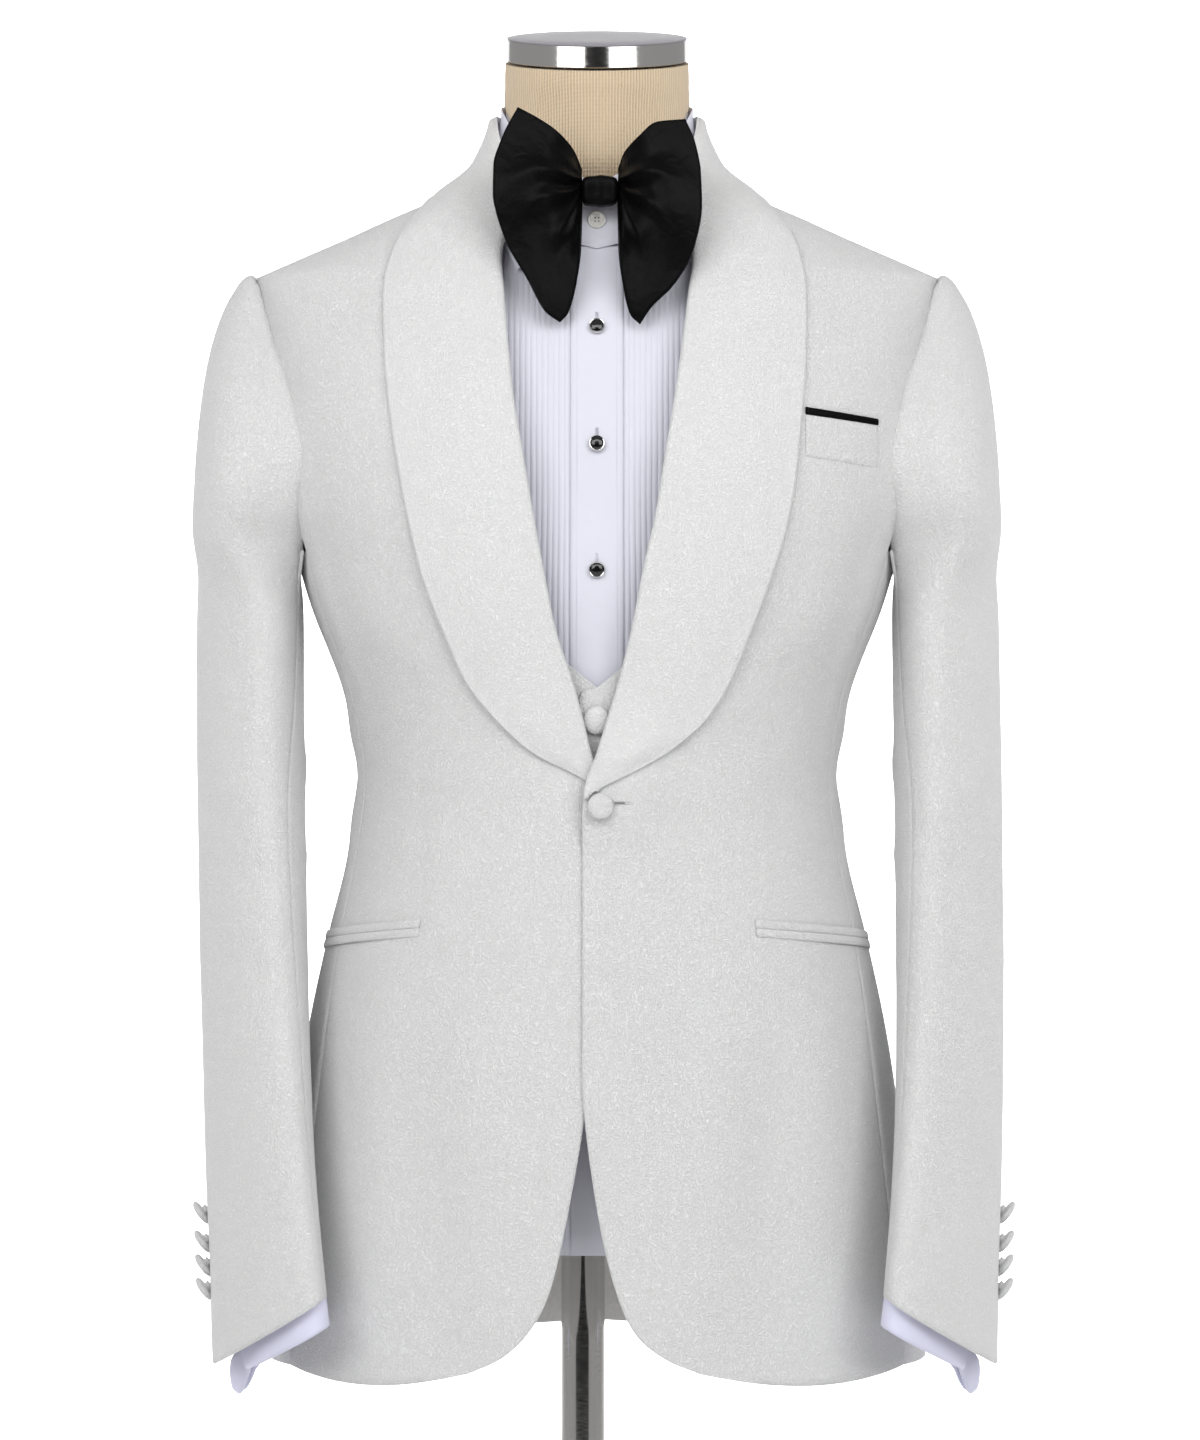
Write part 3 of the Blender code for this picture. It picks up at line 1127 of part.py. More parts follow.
def build_buttons():
    across, height = 0.0019, 1.1175
    turn = JACKET.turn_at(across, height)
    base = JACKET.point(1, turn, height, lap_lift(1, across, height) + SEAM_GAP)
    covered_button("jacket_button", base, JACKET.normal(1, turn, height), BUTTON_RADIUS, 0.0052)
    for number, height in enumerate(WAISTCOAT_BUTTON_HEIGHTS, 1):
        turn = FORM.turn_at(0.0, height)
        out = WAISTCOAT_OUT + vest_lift(1, 0.0, height) + SEAM_GAP * (3 if number == 1 else 1)
        base = FORM.point(1, turn, height, out)
        name = f"waistcoat_button_{number}"
        covered_button(name, base, FORM.normal(1, turn, height), WAISTCOAT_BUTTON_RADIUS, 0.004)
    for side, label in ((1, "left"), (-1, "right")):
        for number, height in enumerate(SLEEVE_BUTTON_HEIGHTS, 1):
            ring = sleeve_ring(height + 0.018)
            seat = ring_point(side, ring, SLEEVE_BUTTON_PLACE)
            axis = unit(np.array([side * 0.92, 0.0, -0.39]))
            profile = [(0.0022, SEAM_GAP), (0.0022, 0.0030), (SLEEVE_BUTTON_RADIUS, 0.0036)]
            profile += [(SLEEVE_BUTTON_RADIUS * 0.8, 0.0060)]
            shift = np.array([side * (0.0002 if number == 1 else 0.0008), 0, 0])
            turned(f"sleeve_button_{label}_{number}", profile, seat + shift, axis, "jacket_cloth", 10)
    for number, height in enumerate(STUD_HEIGHTS, 1):
        turn = FORM.turn_at(0.0, height)
        out = SHIRT_OUT + 2 * SEAM_GAP + SHIRT_CLOTH + settle(turn, height)
        base = FORM.point(1, turn, height, out)
        profile = [(STUD_RADIUS * 0.8, 0.0), (STUD_RADIUS, 0.0008), (STUD_RADIUS, 0.0022)]
        profile += [(STUD_RADIUS * 0.75, 0.0030)]
        turned(f"stud_{number}", profile, base, FORM.normal(1, turn, height), "stud_black", 12)
    base = FORM.point(1, 0.0, COLLAR_BUTTON_HEIGHT, BAND_OUT + SEAM_GAP)
    profile = [(0.0050, 0.0), (0.0056, 0.0007), (0.0056, 0.0017), (0.0048, 0.0024), (0.0030, 0.0018)]
    turned("collar_button", profile, base, FORM.normal(1, 0.0, COLLAR_BUTTON_HEIGHT), "pearl", 12)


def wing_grid(side):
    """The middle of a wing's cloth, gathered at the knot and spread towards its two tips."""
    key = "right" if side > 0 else "left"

    def edge(table):
        across = curve_of(table, "along", f"{key}_across")
        height = curve_of(table, "along", f"{key}_height")
        return lambda place: np.array([across(place), height(place)])

    top = edge(WING_TOP)
    outer = edge(WING_OUTER)
    bottom = edge(WING_BOTTOM)
    knot_y = FORM.point(1, 0.0, KNOT_HEIGHT, STRAP_OUT + SEAM_GAP)[1] - KNOT_HALF[1]
    grid = []
    for u in spread(8):
        row = []
        for v in spread(11):
            sides = (1 - u) * blend(bottom(0.0), top(0.0), v) + u * outer(v)
            ends = (1 - v) * bottom(u) + v * top(u)
            corners = (1 - u) * blend(bottom(0.0), top(0.0), v) + u * blend(bottom(1.0), top(1.0), v)
            across, height = sides + ends - corners
            puff = WING_PUFF * soft_step(u, -0.05, 0.55)
            tip = WING_LEAN * u * (KNOT_HEIGHT - height)
            pleat = WING_PLEAT * (1 - u) ** 1.5 * math.cos(5 * math.pi * v) * soft_step(u, 0.0, 0.15)
            sag = 0.004 * math.sin(math.pi * v) * u
            row.append((BOW_X + side * across, knot_y - puff - tip - pleat - sag, height))
        grid.append(row)
    return np.array(grid)


def build_bow():
    for side, label in ((1, "left"), (-1, "right")):
        middle = wing_grid(side)
        normals = grid_normals(middle, away_from=lambda i, p: p + np.array([0, 1.0, 0]))
        half = BOW_CLOTH / 2
        wall(f"bow_wing_{label}", middle + half * normals, middle - half * normals, "black_satin")
    centre = np.array([BOW_X, 0.0, KNOT_HEIGHT])
    centre[1] = FORM.point(1, 0.0, KNOT_HEIGHT, STRAP_OUT + SEAM_GAP)[1] - KNOT_HALF[1]
    points = []
    around = 12
    levels = spread(7, -0.46 * math.pi, 0.46 * math.pi)
    for level in levels:
        for k in range(around):
            angle = 2 * math.pi * k / around
            ways = (math.cos(level) * math.cos(angle), math.cos(level) * math.sin(angle), math.sin(level))
            swell = sum(abs(way) ** 3.2 for way in ways) ** (-1 / 3.2)
            points.append(centre + np.array([swell * way * half for way, half in zip(ways, KNOT_HALF)]))
    faces = [tuple(range(around)), tuple(range(len(points) - around, len(points)))]
    for i in range(len(levels) - 1):
        for k in range(around):
            low = i * around
            high = low + around
            faces.append((low + k, low + (k + 1) % around, high + (k + 1) % around, high + k))
    add_object("bow_knot", points, faces, "black_satin")
    middle = Curve([0.0, 0.25, 0.5, 1.0], [STRAP_FRONT_HEIGHT, 1.5060, 1.5260, 1.5320])
    rows = []
    for offset in (-STRAP_HALF_HEIGHT, STRAP_HALF_HEIGHT):
        row = []
        for k in range(28):
            turn = 2 * k / 28
            row.append((turn, middle(min(turn, 2 - turn)) + offset, 0.0))
        rows.append(row)
    torso_wall("bow_strap", FORM, 1, rows, STRAP_OUT, STRAP_CLOTH, "black_satin", ring=True)


def main():
    for old in list(bpy.data.objects):
        bpy.data.objects.remove(old)
    build_form()
    build_cap()
    build_stand()
    for side, label in ((1, "left"), (-1, "right")):
        build_shirt_front(side, label)
        build_shirt_sleeve(side, label)
        build_cuff(side, label)
        build_front(side, label)
        build_side(side, label)
        build_back(side, label)
        build_shawl(side, label)
        build_sleeve(side, label)
    build_shirt_back()
    build_placket()
    build_collar()
    build_waistcoat()
    build_pockets()
    build_buttons()
    build_bow()


main()
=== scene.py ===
"""Dresses a shawl-collar tuxedo on a limbless dress form: cloth, folds, stitching and finishes.

Every length is in metres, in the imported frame's own axes: the front faces -Y and +Z is up. A place
on a torso is a turn (0 centre front, 0.5 side, 1 centre back) and a height. "Across" is a distance
from the centre line, positive on the piece's own side. Side +1 is the wearer's left, at +X.
"""

import logging
import math
from collections.abc import Iterable, Sequence
from dataclasses import dataclass, field
from enum import Enum
from typing import NamedTuple

import bpy
import numpy as np
from mathutils import Matrix, Vector

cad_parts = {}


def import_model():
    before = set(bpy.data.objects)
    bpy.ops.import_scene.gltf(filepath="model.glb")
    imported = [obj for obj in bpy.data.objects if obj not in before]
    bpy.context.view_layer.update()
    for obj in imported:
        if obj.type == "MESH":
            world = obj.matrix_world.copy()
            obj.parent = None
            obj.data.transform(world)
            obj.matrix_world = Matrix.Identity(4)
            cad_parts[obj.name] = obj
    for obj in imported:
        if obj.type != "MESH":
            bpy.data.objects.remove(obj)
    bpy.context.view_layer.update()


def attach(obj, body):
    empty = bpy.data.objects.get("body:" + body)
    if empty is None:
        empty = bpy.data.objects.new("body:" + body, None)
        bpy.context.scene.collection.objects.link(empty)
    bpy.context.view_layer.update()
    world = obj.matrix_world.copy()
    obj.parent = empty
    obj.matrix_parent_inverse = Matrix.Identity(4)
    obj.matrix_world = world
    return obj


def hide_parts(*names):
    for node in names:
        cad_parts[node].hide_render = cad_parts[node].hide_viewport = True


LOG = logging.getLogger("tuxedo")

Pairs = Sequence[tuple[float, float]]

CENTRE_X = 0.0088  # the torso's centre line, beside the pole
BOW_X = 0.0107  # the bow's own centre line
BODY = "root"
SMOOTH_DEG = 60.0  # edges sharper than this stay sharp
RIM = 0.45  # how far a cloth's edge stands out, as a share of its thickness
THREAD_TIP = 0.45  # how thick a thread's ends are, as a share of its middle
ROUND = 0.53  # metres round the torso for one turn, in which creases are placed
SEAM_GAP = 0.0003  # between hard parts that sit on one another


class Side(Enum):
    """The wearer's side that a piece belongs to."""

    LEFT = 1
    RIGHT = -1

    @property
    def label(self) -> str:
        """The side's word in the names of pieces."""
        return self.name.lower()


class Hold(Enum):
    """How a sheet of cloth is held."""

    HUNG = "hung"
    DRAPED = "draped"
    GATHERED = "gathered"
    LAID = "laid"
    FOLDED = "folded"


class Section(NamedTuple):
    """A level section through a torso."""

    height: float
    half_width: float
    front: float
    back: float
    fullness: float
    middle: float


class Armhole(NamedTuple):
    """Where the armhole's two edges pass a height, and the sleeve head's size there."""

    height: float
    front_turn: float
    back_turn: float
    head_height: float
    head_across: float
    belly: float


class FrontRow(NamedTuple):
    """A row of a jacket front: its inner edge on the over and the under side, and its outer end."""

    height: float
    over: float
    under: float
    outer_height: float


class NeckRow(NamedTuple):
    """A row of a jacket front above the roll line's end, where a stand fills seam to fold."""

    seam_turn: float
    seam_height: float
    fold_turn: float
    fold_height: float
    outer_height: float


class ShawlEdge(NamedTuple):
    """How far the shawl's outer edge lies from the centre line."""

    height: float
    over: float
    under: float


class BackCollar(NamedTuple):
    """The collar behind the neck."""

    turn: float
    seam_height: float
    fold_height: float
    edge_height: float


class Ring(NamedTuple):
    """A level ring round a jacket sleeve."""

    height: float
    across: float
    forward_y: float
    long_half: float
    thin_half: float
    turn_deg: float
    lean: float
    slope: float


class CollarLeaf(NamedTuple):
    """A place along the shirt collar's leaf, at its fold and its edge."""

    fold_turn: float
    fold_height: float
    edge_turn: float
    edge_height: float


class TippedRing(NamedTuple):
    """A ring round the shirt sleeve that tips over the shoulder."""

    outer_across: float
    outer_height: float
    inner_across: float
    inner_height: float
    half_depth: float
    middle_y: float


class Wing(NamedTuple):
    """A place along an edge of a bow wing; left and right are those of who looks at it."""

    along: float
    left_across: float
    left_height: float
    right_across: float
    right_height: float


class VestRow(NamedTuple):
    """A row of the waistcoat: its front edge or neckline, and its end at the side or armhole."""

    height: float
    across: float
    outer_height: float
    front_turn: float
    back_turn: float


class Tail(NamedTuple):
    """A row of a cuff's two ends: how far it stands out, how its corner is rounded, how it droops."""

    shown: float
    rounding: float
    droop: float


def table(kind: type, *rows: tuple[float, ...]) -> list:
    """Rows of numbers as rows of one kind."""
    return [kind(*row) for row in rows]


# ---- tables of sizes -----------------------------------------------------------------------------

JACKET_TRUNK = table(
    Section,
    (0.760, 0.2080, 0.1480, 0.1240, 2.15, 0.016),
    (0.860, 0.1965, 0.1465, 0.1260, 2.15, 0.012),
    (0.959, 0.1830, 0.1420, 0.1270, 2.20, 0.008),
    (1.038, 0.1680, 0.1360, 0.1230, 2.25, 0.004),
    (1.085, 0.1570, 0.1310, 0.1150, 2.30, 0.002),
    (1.132, 0.1506, 0.1290, 0.1080, 2.30, 0.000),
    (1.180, 0.1575, 0.1325, 0.1110, 2.35, 0.000),
    (1.2425, 0.1800, 0.1400, 0.1190, 2.40, 0.000),
    (1.275, 0.1900, 0.1415, 0.1230, 2.40, 0.000),
    (1.305, 0.2015, 0.1400, 0.1240, 2.40, 0.000),
    (1.345, 0.2075, 0.1330, 0.1230, 2.40, 0.000),
    (1.390, 0.2115, 0.1190, 0.1160, 2.35, 0.001),
    (1.425, 0.2135, 0.1050, 0.1050, 2.25, 0.003),
    (1.448, 0.2145, 0.0930, 0.0930, 2.20, 0.005),
)
JACKET_SHOULDER = table(
    Section,
    (1.448, 0.2145, 0.0930, 0.0930, 2.20, 0.005),
    (1.460, 0.1870, 0.0870, 0.0870, 2.20, 0.005),
    (1.473, 0.1570, 0.0810, 0.0810, 2.20, 0.005),
    (1.486, 0.1280, 0.0760, 0.0750, 2.20, 0.004),
    (1.496, 0.1045, 0.0730, 0.0710, 2.20, 0.004),
    (1.504, 0.0880, 0.0715, 0.0690, 2.20, 0.003),
    (1.512, 0.0770, 0.0700, 0.0675, 2.15, 0.003),
    (1.522, 0.0705, 0.0690, 0.0660, 2.10, 0.002),
    (1.535, 0.0660, 0.0680, 0.0650, 2.05, 0.002),
    (1.550, 0.0635, 0.0670, 0.0640, 2.00, 0.001),
)
FORM_TRUNK = table(
    Section,
    (0.8600, 0.1460, 0.0950, 0.1000, 2.20, 0.004),
    (0.9500, 0.1500, 0.1030, 0.1060, 2.20, 0.003),
    (1.0400, 0.1420, 0.1030, 0.1000, 2.20, 0.001),
    (1.1300, 0.1310, 0.1020, 0.0850, 2.25, 0.000),
    (1.2000, 0.1400, 0.1080, 0.0920, 2.30, 0.000),
    (1.2700, 0.1580, 0.1160, 0.1030, 2.30, 0.000),
    (1.3300, 0.1720, 0.1130, 0.1070, 2.30, 0.000),
    (1.3800, 0.1820, 0.1020, 0.1030, 2.25, 0.001),
    (1.4200, 0.1870, 0.0890, 0.0920, 2.15, 0.003),
    (1.4445, 0.1880, 0.0790, 0.0810, 2.10, 0.004),
)
FORM_SHOULDER = table(
    Section,
    (1.4445, 0.1880, 0.0790, 0.0810, 2.10, 0.004),
    (1.4560, 0.1660, 0.0730, 0.0740, 2.10, 0.004),
    (1.4675, 0.1440, 0.0690, 0.0690, 2.10, 0.004),
    (1.4790, 0.1220, 0.0655, 0.0650, 2.10, 0.003),
    (1.4905, 0.1000, 0.0625, 0.0620, 2.10, 0.003),
    (1.4980, 0.0855, 0.0610, 0.0605, 2.05, 0.002),
    (1.5050, 0.0735, 0.0600, 0.0590, 2.05, 0.002),
    (1.5140, 0.0635, 0.0590, 0.0580, 2.00, 0.001),
    (1.5260, 0.0575, 0.0585, 0.0575, 2.00, 0.001),
    (1.5450, 0.0563, 0.0580, 0.0575, 2.00, 0.000),
    (1.5650, 0.0582, 0.0580, 0.0575, 2.00, 0.000),
    (1.6000, 0.0570, 0.0570, 0.0570, 2.00, 0.000),
)
JACKET_ARMHOLE = table(
    Armhole,
    (1.275, 0.406, 0.610, 1.283, 0.2538, 1.15),
    (1.300, 0.394, 0.612, 1.318, 0.2530, 0.80),
    (1.330, 0.380, 0.610, 1.352, 0.2505, 0.42),
    (1.360, 0.394, 0.603, 1.384, 0.2467, 0.27),
    (1.388, 0.420, 0.593, 1.408, 0.2420, 0.18),
    (1.410, 0.446, 0.577, 1.428, 0.2355, 0.10),
    (1.4260, 0.463, 0.556, 1.4400, 0.2290, 0.06),
    (1.4345, 0.473, 0.537, 1.4470, 0.2240, 0.03),
    (1.4415, 0.482, 0.520, 1.4500, 0.2185, 0.01),
    (1.4480, 0.500, 0.500, 1.4485, 0.2147, 0.00),
)
FRONT_SKIRT = table(
    FrontRow,
    (0.7725, 0.0624, 0.0779, 0.770),
    (0.7820, 0.0420, 0.0590, 0.794),
    (0.7970, 0.0245, 0.0430, 0.824),
    (0.8200, 0.0135, 0.0305, 0.860),
    (0.8550, 0.0043, 0.0215, 0.898),
    (0.9000, -0.0032, 0.0130, 0.936),
    (0.9450, -0.0079, 0.0055, 0.974),
    (0.9900, -0.0079, -0.0035, 1.012),
    (1.0800, -0.0079, -0.0115, 1.090),
    (1.1120, -0.0079, -0.0120, 1.116),
)
FRONT_LAPEL = table(
    FrontRow,
    (1.1280, -0.0062, -0.0105, 1.130),
    (1.1380, -0.0028, -0.0010, 1.140),
    (1.1500, 0.0018, 0.0052, 1.153),
    (1.1680, 0.0074, 0.0098, 1.170),
    (1.1920, 0.0147, 0.0163, 1.192),
    (1.2240, 0.0228, 0.0268, 1.218),
    (1.2600, 0.0298, 0.0341, 1.247),
    (1.2950, 0.0376, 0.0406, 1.275),
    (1.3300, 0.0432, 0.0465, 1.300),
    (1.3650, 0.0490, 0.0525, 1.330),
    (1.4000, 0.0540, 0.0562, 1.360),
    (1.4320, 0.0580, 0.0588, 1.388),
    (1.4600, 0.0610, 0.0604, 1.410),
)
FRONT_NECK = table(
    NeckRow,
    (0.200, 1.4775, 0.200, 1.4870, 1.4260),
    (0.280, 1.4930, 0.280, 1.5130, 1.4345),
    (0.385, 1.5045, 0.385, 1.5340, 1.4415),
    (0.500, 1.5120, 0.500, 1.5470, 1.4480),
)
SHAWL_EDGE = table(
    ShawlEdge,
    (1.1249, -0.0050, -0.0060),
    (1.1282, 0.0004, -0.0021),
    (1.1308, 0.0064, 0.0021),
    (1.1361, 0.0165, 0.0105),
    (1.1420, 0.0260, 0.0235),
    (1.1540, 0.0467, 0.0432),
    (1.1700, 0.0640, 0.0592),
    (1.1830, 0.0735, 0.0715),
    (1.2065, 0.0840, 0.0832),
    (1.2580, 0.1040, 0.1043),
    (1.3049, 0.1178, 0.1160),
    (1.3490, 0.1232, 0.1240),
    (1.3966, 0.1270, 0.1292),
    (1.4357, 0.1275, 0.1303),
    (1.4600, 0.1235, 0.1250),
    (1.4800, 0.1140, 0.1150),
    (1.4990, 0.0990, 0.0990),
)
CUFF_RINGS = table(
    Ring,
    (0.7852, 0.1954, -0.0880, 0.0505, 0.0235, 30.0, 0.0050, 0.0160),
    (0.7918, 0.1963, -0.0877, 0.0507, 0.0235, 30.0, 0.0050, 0.0163),
    (0.7985, 0.1973, -0.0874, 0.0510, 0.0235, 30.0, 0.0050, 0.0167),
    (0.8035, 0.1984, -0.0870, 0.0515, 0.0235, 30.0, 0.0050, 0.0173),
    (0.8250, 0.2040, -0.0780, 0.0560, 0.0237, 29.0, 0.0048, 0.0185),
    (0.8500, 0.2090, -0.0680, 0.0600, 0.0245, 26.5, 0.0046, 0.0187),
)
CUFF_TAILS = table(
    Tail,
    (0.74, 0.0040, 0.0185),
    (1.00, 0.0, 0.0140),
    (0.92, 0.0, 0.0050),
    (0.03, 0.0, 0.0),
    (0.03, 0.0, 0.0),
    (0.03, 0.0, 0.0),
)
BACK_COLLAR = table(
    BackCollar,
    (0.57, 1.5135, 1.5480, 1.4970),
    (0.66, 1.5145, 1.5490, 1.4975),
    (0.77, 1.5150, 1.5495, 1.4990),
    (0.88, 1.5150, 1.5500, 1.5000),
    (1.00, 1.5150, 1.5500, 1.5005),
)
SLEEVE_RINGS = table(
    Ring,
    (0.7945, 0.2070, -0.078, 0.0630, 0.0235, 30.0, 0.0050, 0.0245),
    (0.815, 0.2085, -0.073, 0.0632, 0.0236, 29.0, 0.0048, 0.0232),
    (0.850, 0.2108, -0.064, 0.0640, 0.0245, 26.5, 0.0046, 0.0187),
    (0.895, 0.2138, -0.051, 0.0650, 0.0262, 24.0, 0.0043, 0.0128),
    (0.945, 0.2160, -0.037, 0.0670, 0.0280, 21.0, 0.0040, 0.0063),
    (1.000, 0.2174, -0.023, 0.0690, 0.0297, 17.5, 0.0034, 0.0000),
    (1.060, 0.2181, -0.011, 0.0710, 0.0310, 14.0, 0.0026, 0.0000),
    (1.120, 0.2187, -0.002, 0.0735, 0.0320, 11.0, 0.0018, 0.0000),
    (1.180, 0.2191, 0.003, 0.0758, 0.0326, 9.5, 0.0010, 0.0000),
    (1.240, 0.2192, 0.006, 0.0775, 0.0330, 8.0, 0.0005, 0.0000),
)
COLLAR_LEAF = table(
    CollarLeaf,
    (0.060, 1.5050, 0.180, 1.4450),
    (0.120, 1.5110, 0.240, 1.4680),
    (0.210, 1.5210, 0.310, 1.4900),
    (0.340, 1.5380, 0.400, 1.5070),
    (0.500, 1.5550, 0.510, 1.5140),
    (0.650, 1.5590, 0.650, 1.5150),
    (0.820, 1.5610, 0.820, 1.5150),
    (1.000, 1.5620, 1.000, 1.5150),
)
SHIRT_SLEEVE_TOP = table(
    TippedRing,
    (0.2380, 1.3050, 0.1905, 1.2500, 0.0550, 0.001),
    (0.2320, 1.3750, 0.1900, 1.2760, 0.0520, 0.003),
    (0.2150, 1.4260, 0.1780, 1.2840, 0.0525, 0.002),
)
WING_TOP = table(
    Wing,
    (0.00, 0.0116, 1.5095, 0.0116, 1.5100),
    (0.22, 0.0159, 1.5194, 0.0147, 1.5180),
    (0.45, 0.0251, 1.5298, 0.0245, 1.5286),
    (0.72, 0.0380, 1.5390, 0.0349, 1.5366),
    (1.00, 0.0503, 1.5458, 0.0521, 1.5384),
)
WING_OUTER = table(
    Wing,
    (0.00, 0.0245, 1.4140, 0.0245, 1.4128),
    (0.12, 0.0335, 1.4205, 0.0310, 1.4225),
    (0.28, 0.0447, 1.4410, 0.0450, 1.4370),
    (0.46, 0.0582, 1.4660, 0.0563, 1.4570),
    (0.64, 0.0650, 1.4930, 0.0618, 1.4850),
    (0.80, 0.0648, 1.5100, 0.0612, 1.5060),
    (0.92, 0.0590, 1.5290, 0.0577, 1.5250),
    (1.00, 0.0503, 1.5458, 0.0521, 1.5384),
)
WING_BOTTOM = table(
    Wing,
    (0.00, 0.0116, 1.4880, 0.0116, 1.4880),
    (0.30, 0.0119, 1.4610, 0.0116, 1.4610),
    (0.65, 0.0150, 1.4360, 0.0145, 1.4350),
    (0.90, 0.0195, 1.4200, 0.0185, 1.4190),
    (1.00, 0.0245, 1.4140, 0.0245, 1.4128),
)
VEST_ROWS = table(
    VestRow,
    (1.0200, -0.0099, 1.0200, 0.500, 0.500),
    (1.0750, -0.0099, 1.0750, 0.500, 0.500),
    (1.1300, -0.0099, 1.1300, 0.500, 0.500),
    (1.1840, -0.0099, 1.1860, 0.500, 0.500),
    (1.1920, 0.0010, 1.1980, 0.500, 0.500),
    (1.2040, 0.0152, 1.2100, 0.500, 0.500),
    (1.2250, 0.0400, 1.2270, 0.500, 0.500),
    (1.2620, 0.0670, 1.2500, 0.500, 0.500),
    (1.3100, 0.0800, 1.2720, 0.430, 0.570),
    (1.3550, 0.0845, 1.3100, 0.385, 0.610),
    (1.4000, 0.0855, 1.3600, 0.370, 0.620),
    (1.4400, 0.0858, 1.4100, 0.375, 0.610),
    (1.4720, 0.0862, 1.4450, 0.410, 0.580),
    (1.4830, 0.0866, 1.4560, 0.438, 0.555),
    (1.4915, 0.0872, 1.4650, 0.470, 0.527),
    (1.4965, 0.0880, 1.4705, 0.500, 0.500),
)


# ---- curves, torsos and grids --------------------------------------------------------------------


class Line:
    """A smooth line through points, which never swings past them."""

    def __init__(self, places: Iterable[float], values: Iterable[float]) -> None:
        """Fits the line.

        Args:
            places: Where the points lie, rising.
            values: The line's value at each place.
        """
        self.places = np.asarray(list(places), float)
        self.values = np.asarray(list(values), float)
        rises = np.diff(self.values) / np.diff(self.places)
        self.slopes = np.zeros(len(self.places))
        self.slopes[0], self.slopes[-1] = rises[0], rises[-1]
        for i in range(1, len(rises)):
            if rises[i - 1] * rises[i] > 0:
                self.slopes[i] = 2 * rises[i - 1] * rises[i] / (rises[i - 1] + rises[i])

    def __call__(self, place: float | np.ndarray) -> np.ndarray:
        """The line's value at a place, held at its ends' values beyond them."""
        place = np.clip(place, self.places[0], self.places[-1])
        i = np.clip(np.searchsorted(self.places, place, "right") - 1, 0, len(self.places) - 2)
        span = self.places[i + 1] - self.places[i]
        s = (place - self.places[i]) / span
        return (
            self.values[i] * (1 + 2 * s) * (1 - s) ** 2
            + self.slopes[i] * span * s * (1 - s) ** 2
            + self.values[i + 1] * s * s * (3 - 2 * s)
            + self.slopes[i + 1] * span * s * s * (s - 1)
        )


def line_of(rows: Sequence[NamedTuple], place: str, value: str) -> Line:
    """The line of one named column of a table over another."""
    return Line([getattr(row, place) for row in rows], [getattr(row, value) for row in rows])


def by_index(values: Sequence[float]) -> Line:
    """The line through values that are one apart."""
    return Line(range(len(values)), values)


def unit(vector: np.ndarray) -> np.ndarray:
    """The vectors at length one."""
    return vector / np.maximum(np.linalg.norm(vector, axis=-1, keepdims=True), 1e-12)


def mix(a: float | np.ndarray, b: float | np.ndarray, share: float | np.ndarray) -> float | np.ndarray:
    """Part of the way from a to b."""
    return a + (b - a) * share


def step(value: float | np.ndarray, low: float, high: float) -> float | np.ndarray:
    """0 below low, 1 above high, and smooth between."""
    s = np.clip((value - low) / (high - low), 0.0, 1.0)
    return s * s * (3 - 2 * s)


def hump(value: np.ndarray, rise: float, top: float, edge: float, end: float) -> np.ndarray:
    """0 up to rise, 1 from top to edge, 0 again from end on, and smooth between."""
    return step(value, rise, top) * (1 - step(value, edge, end))


def spread(count: int, low: float = 0.0, high: float = 1.0) -> np.ndarray:
    """Evenly spaced values from low to high, both among them."""
    return np.linspace(low, high, count)


def circle(count: int) -> np.ndarray:
    """Evenly spaced angles round a circle, in radians."""
    return np.arange(count) * 2 * math.pi / count


def turns_round(count: int) -> np.ndarray:
    """Evenly spaced turns round a torso, from its centre front."""
    return np.arange(count) * 2 / count


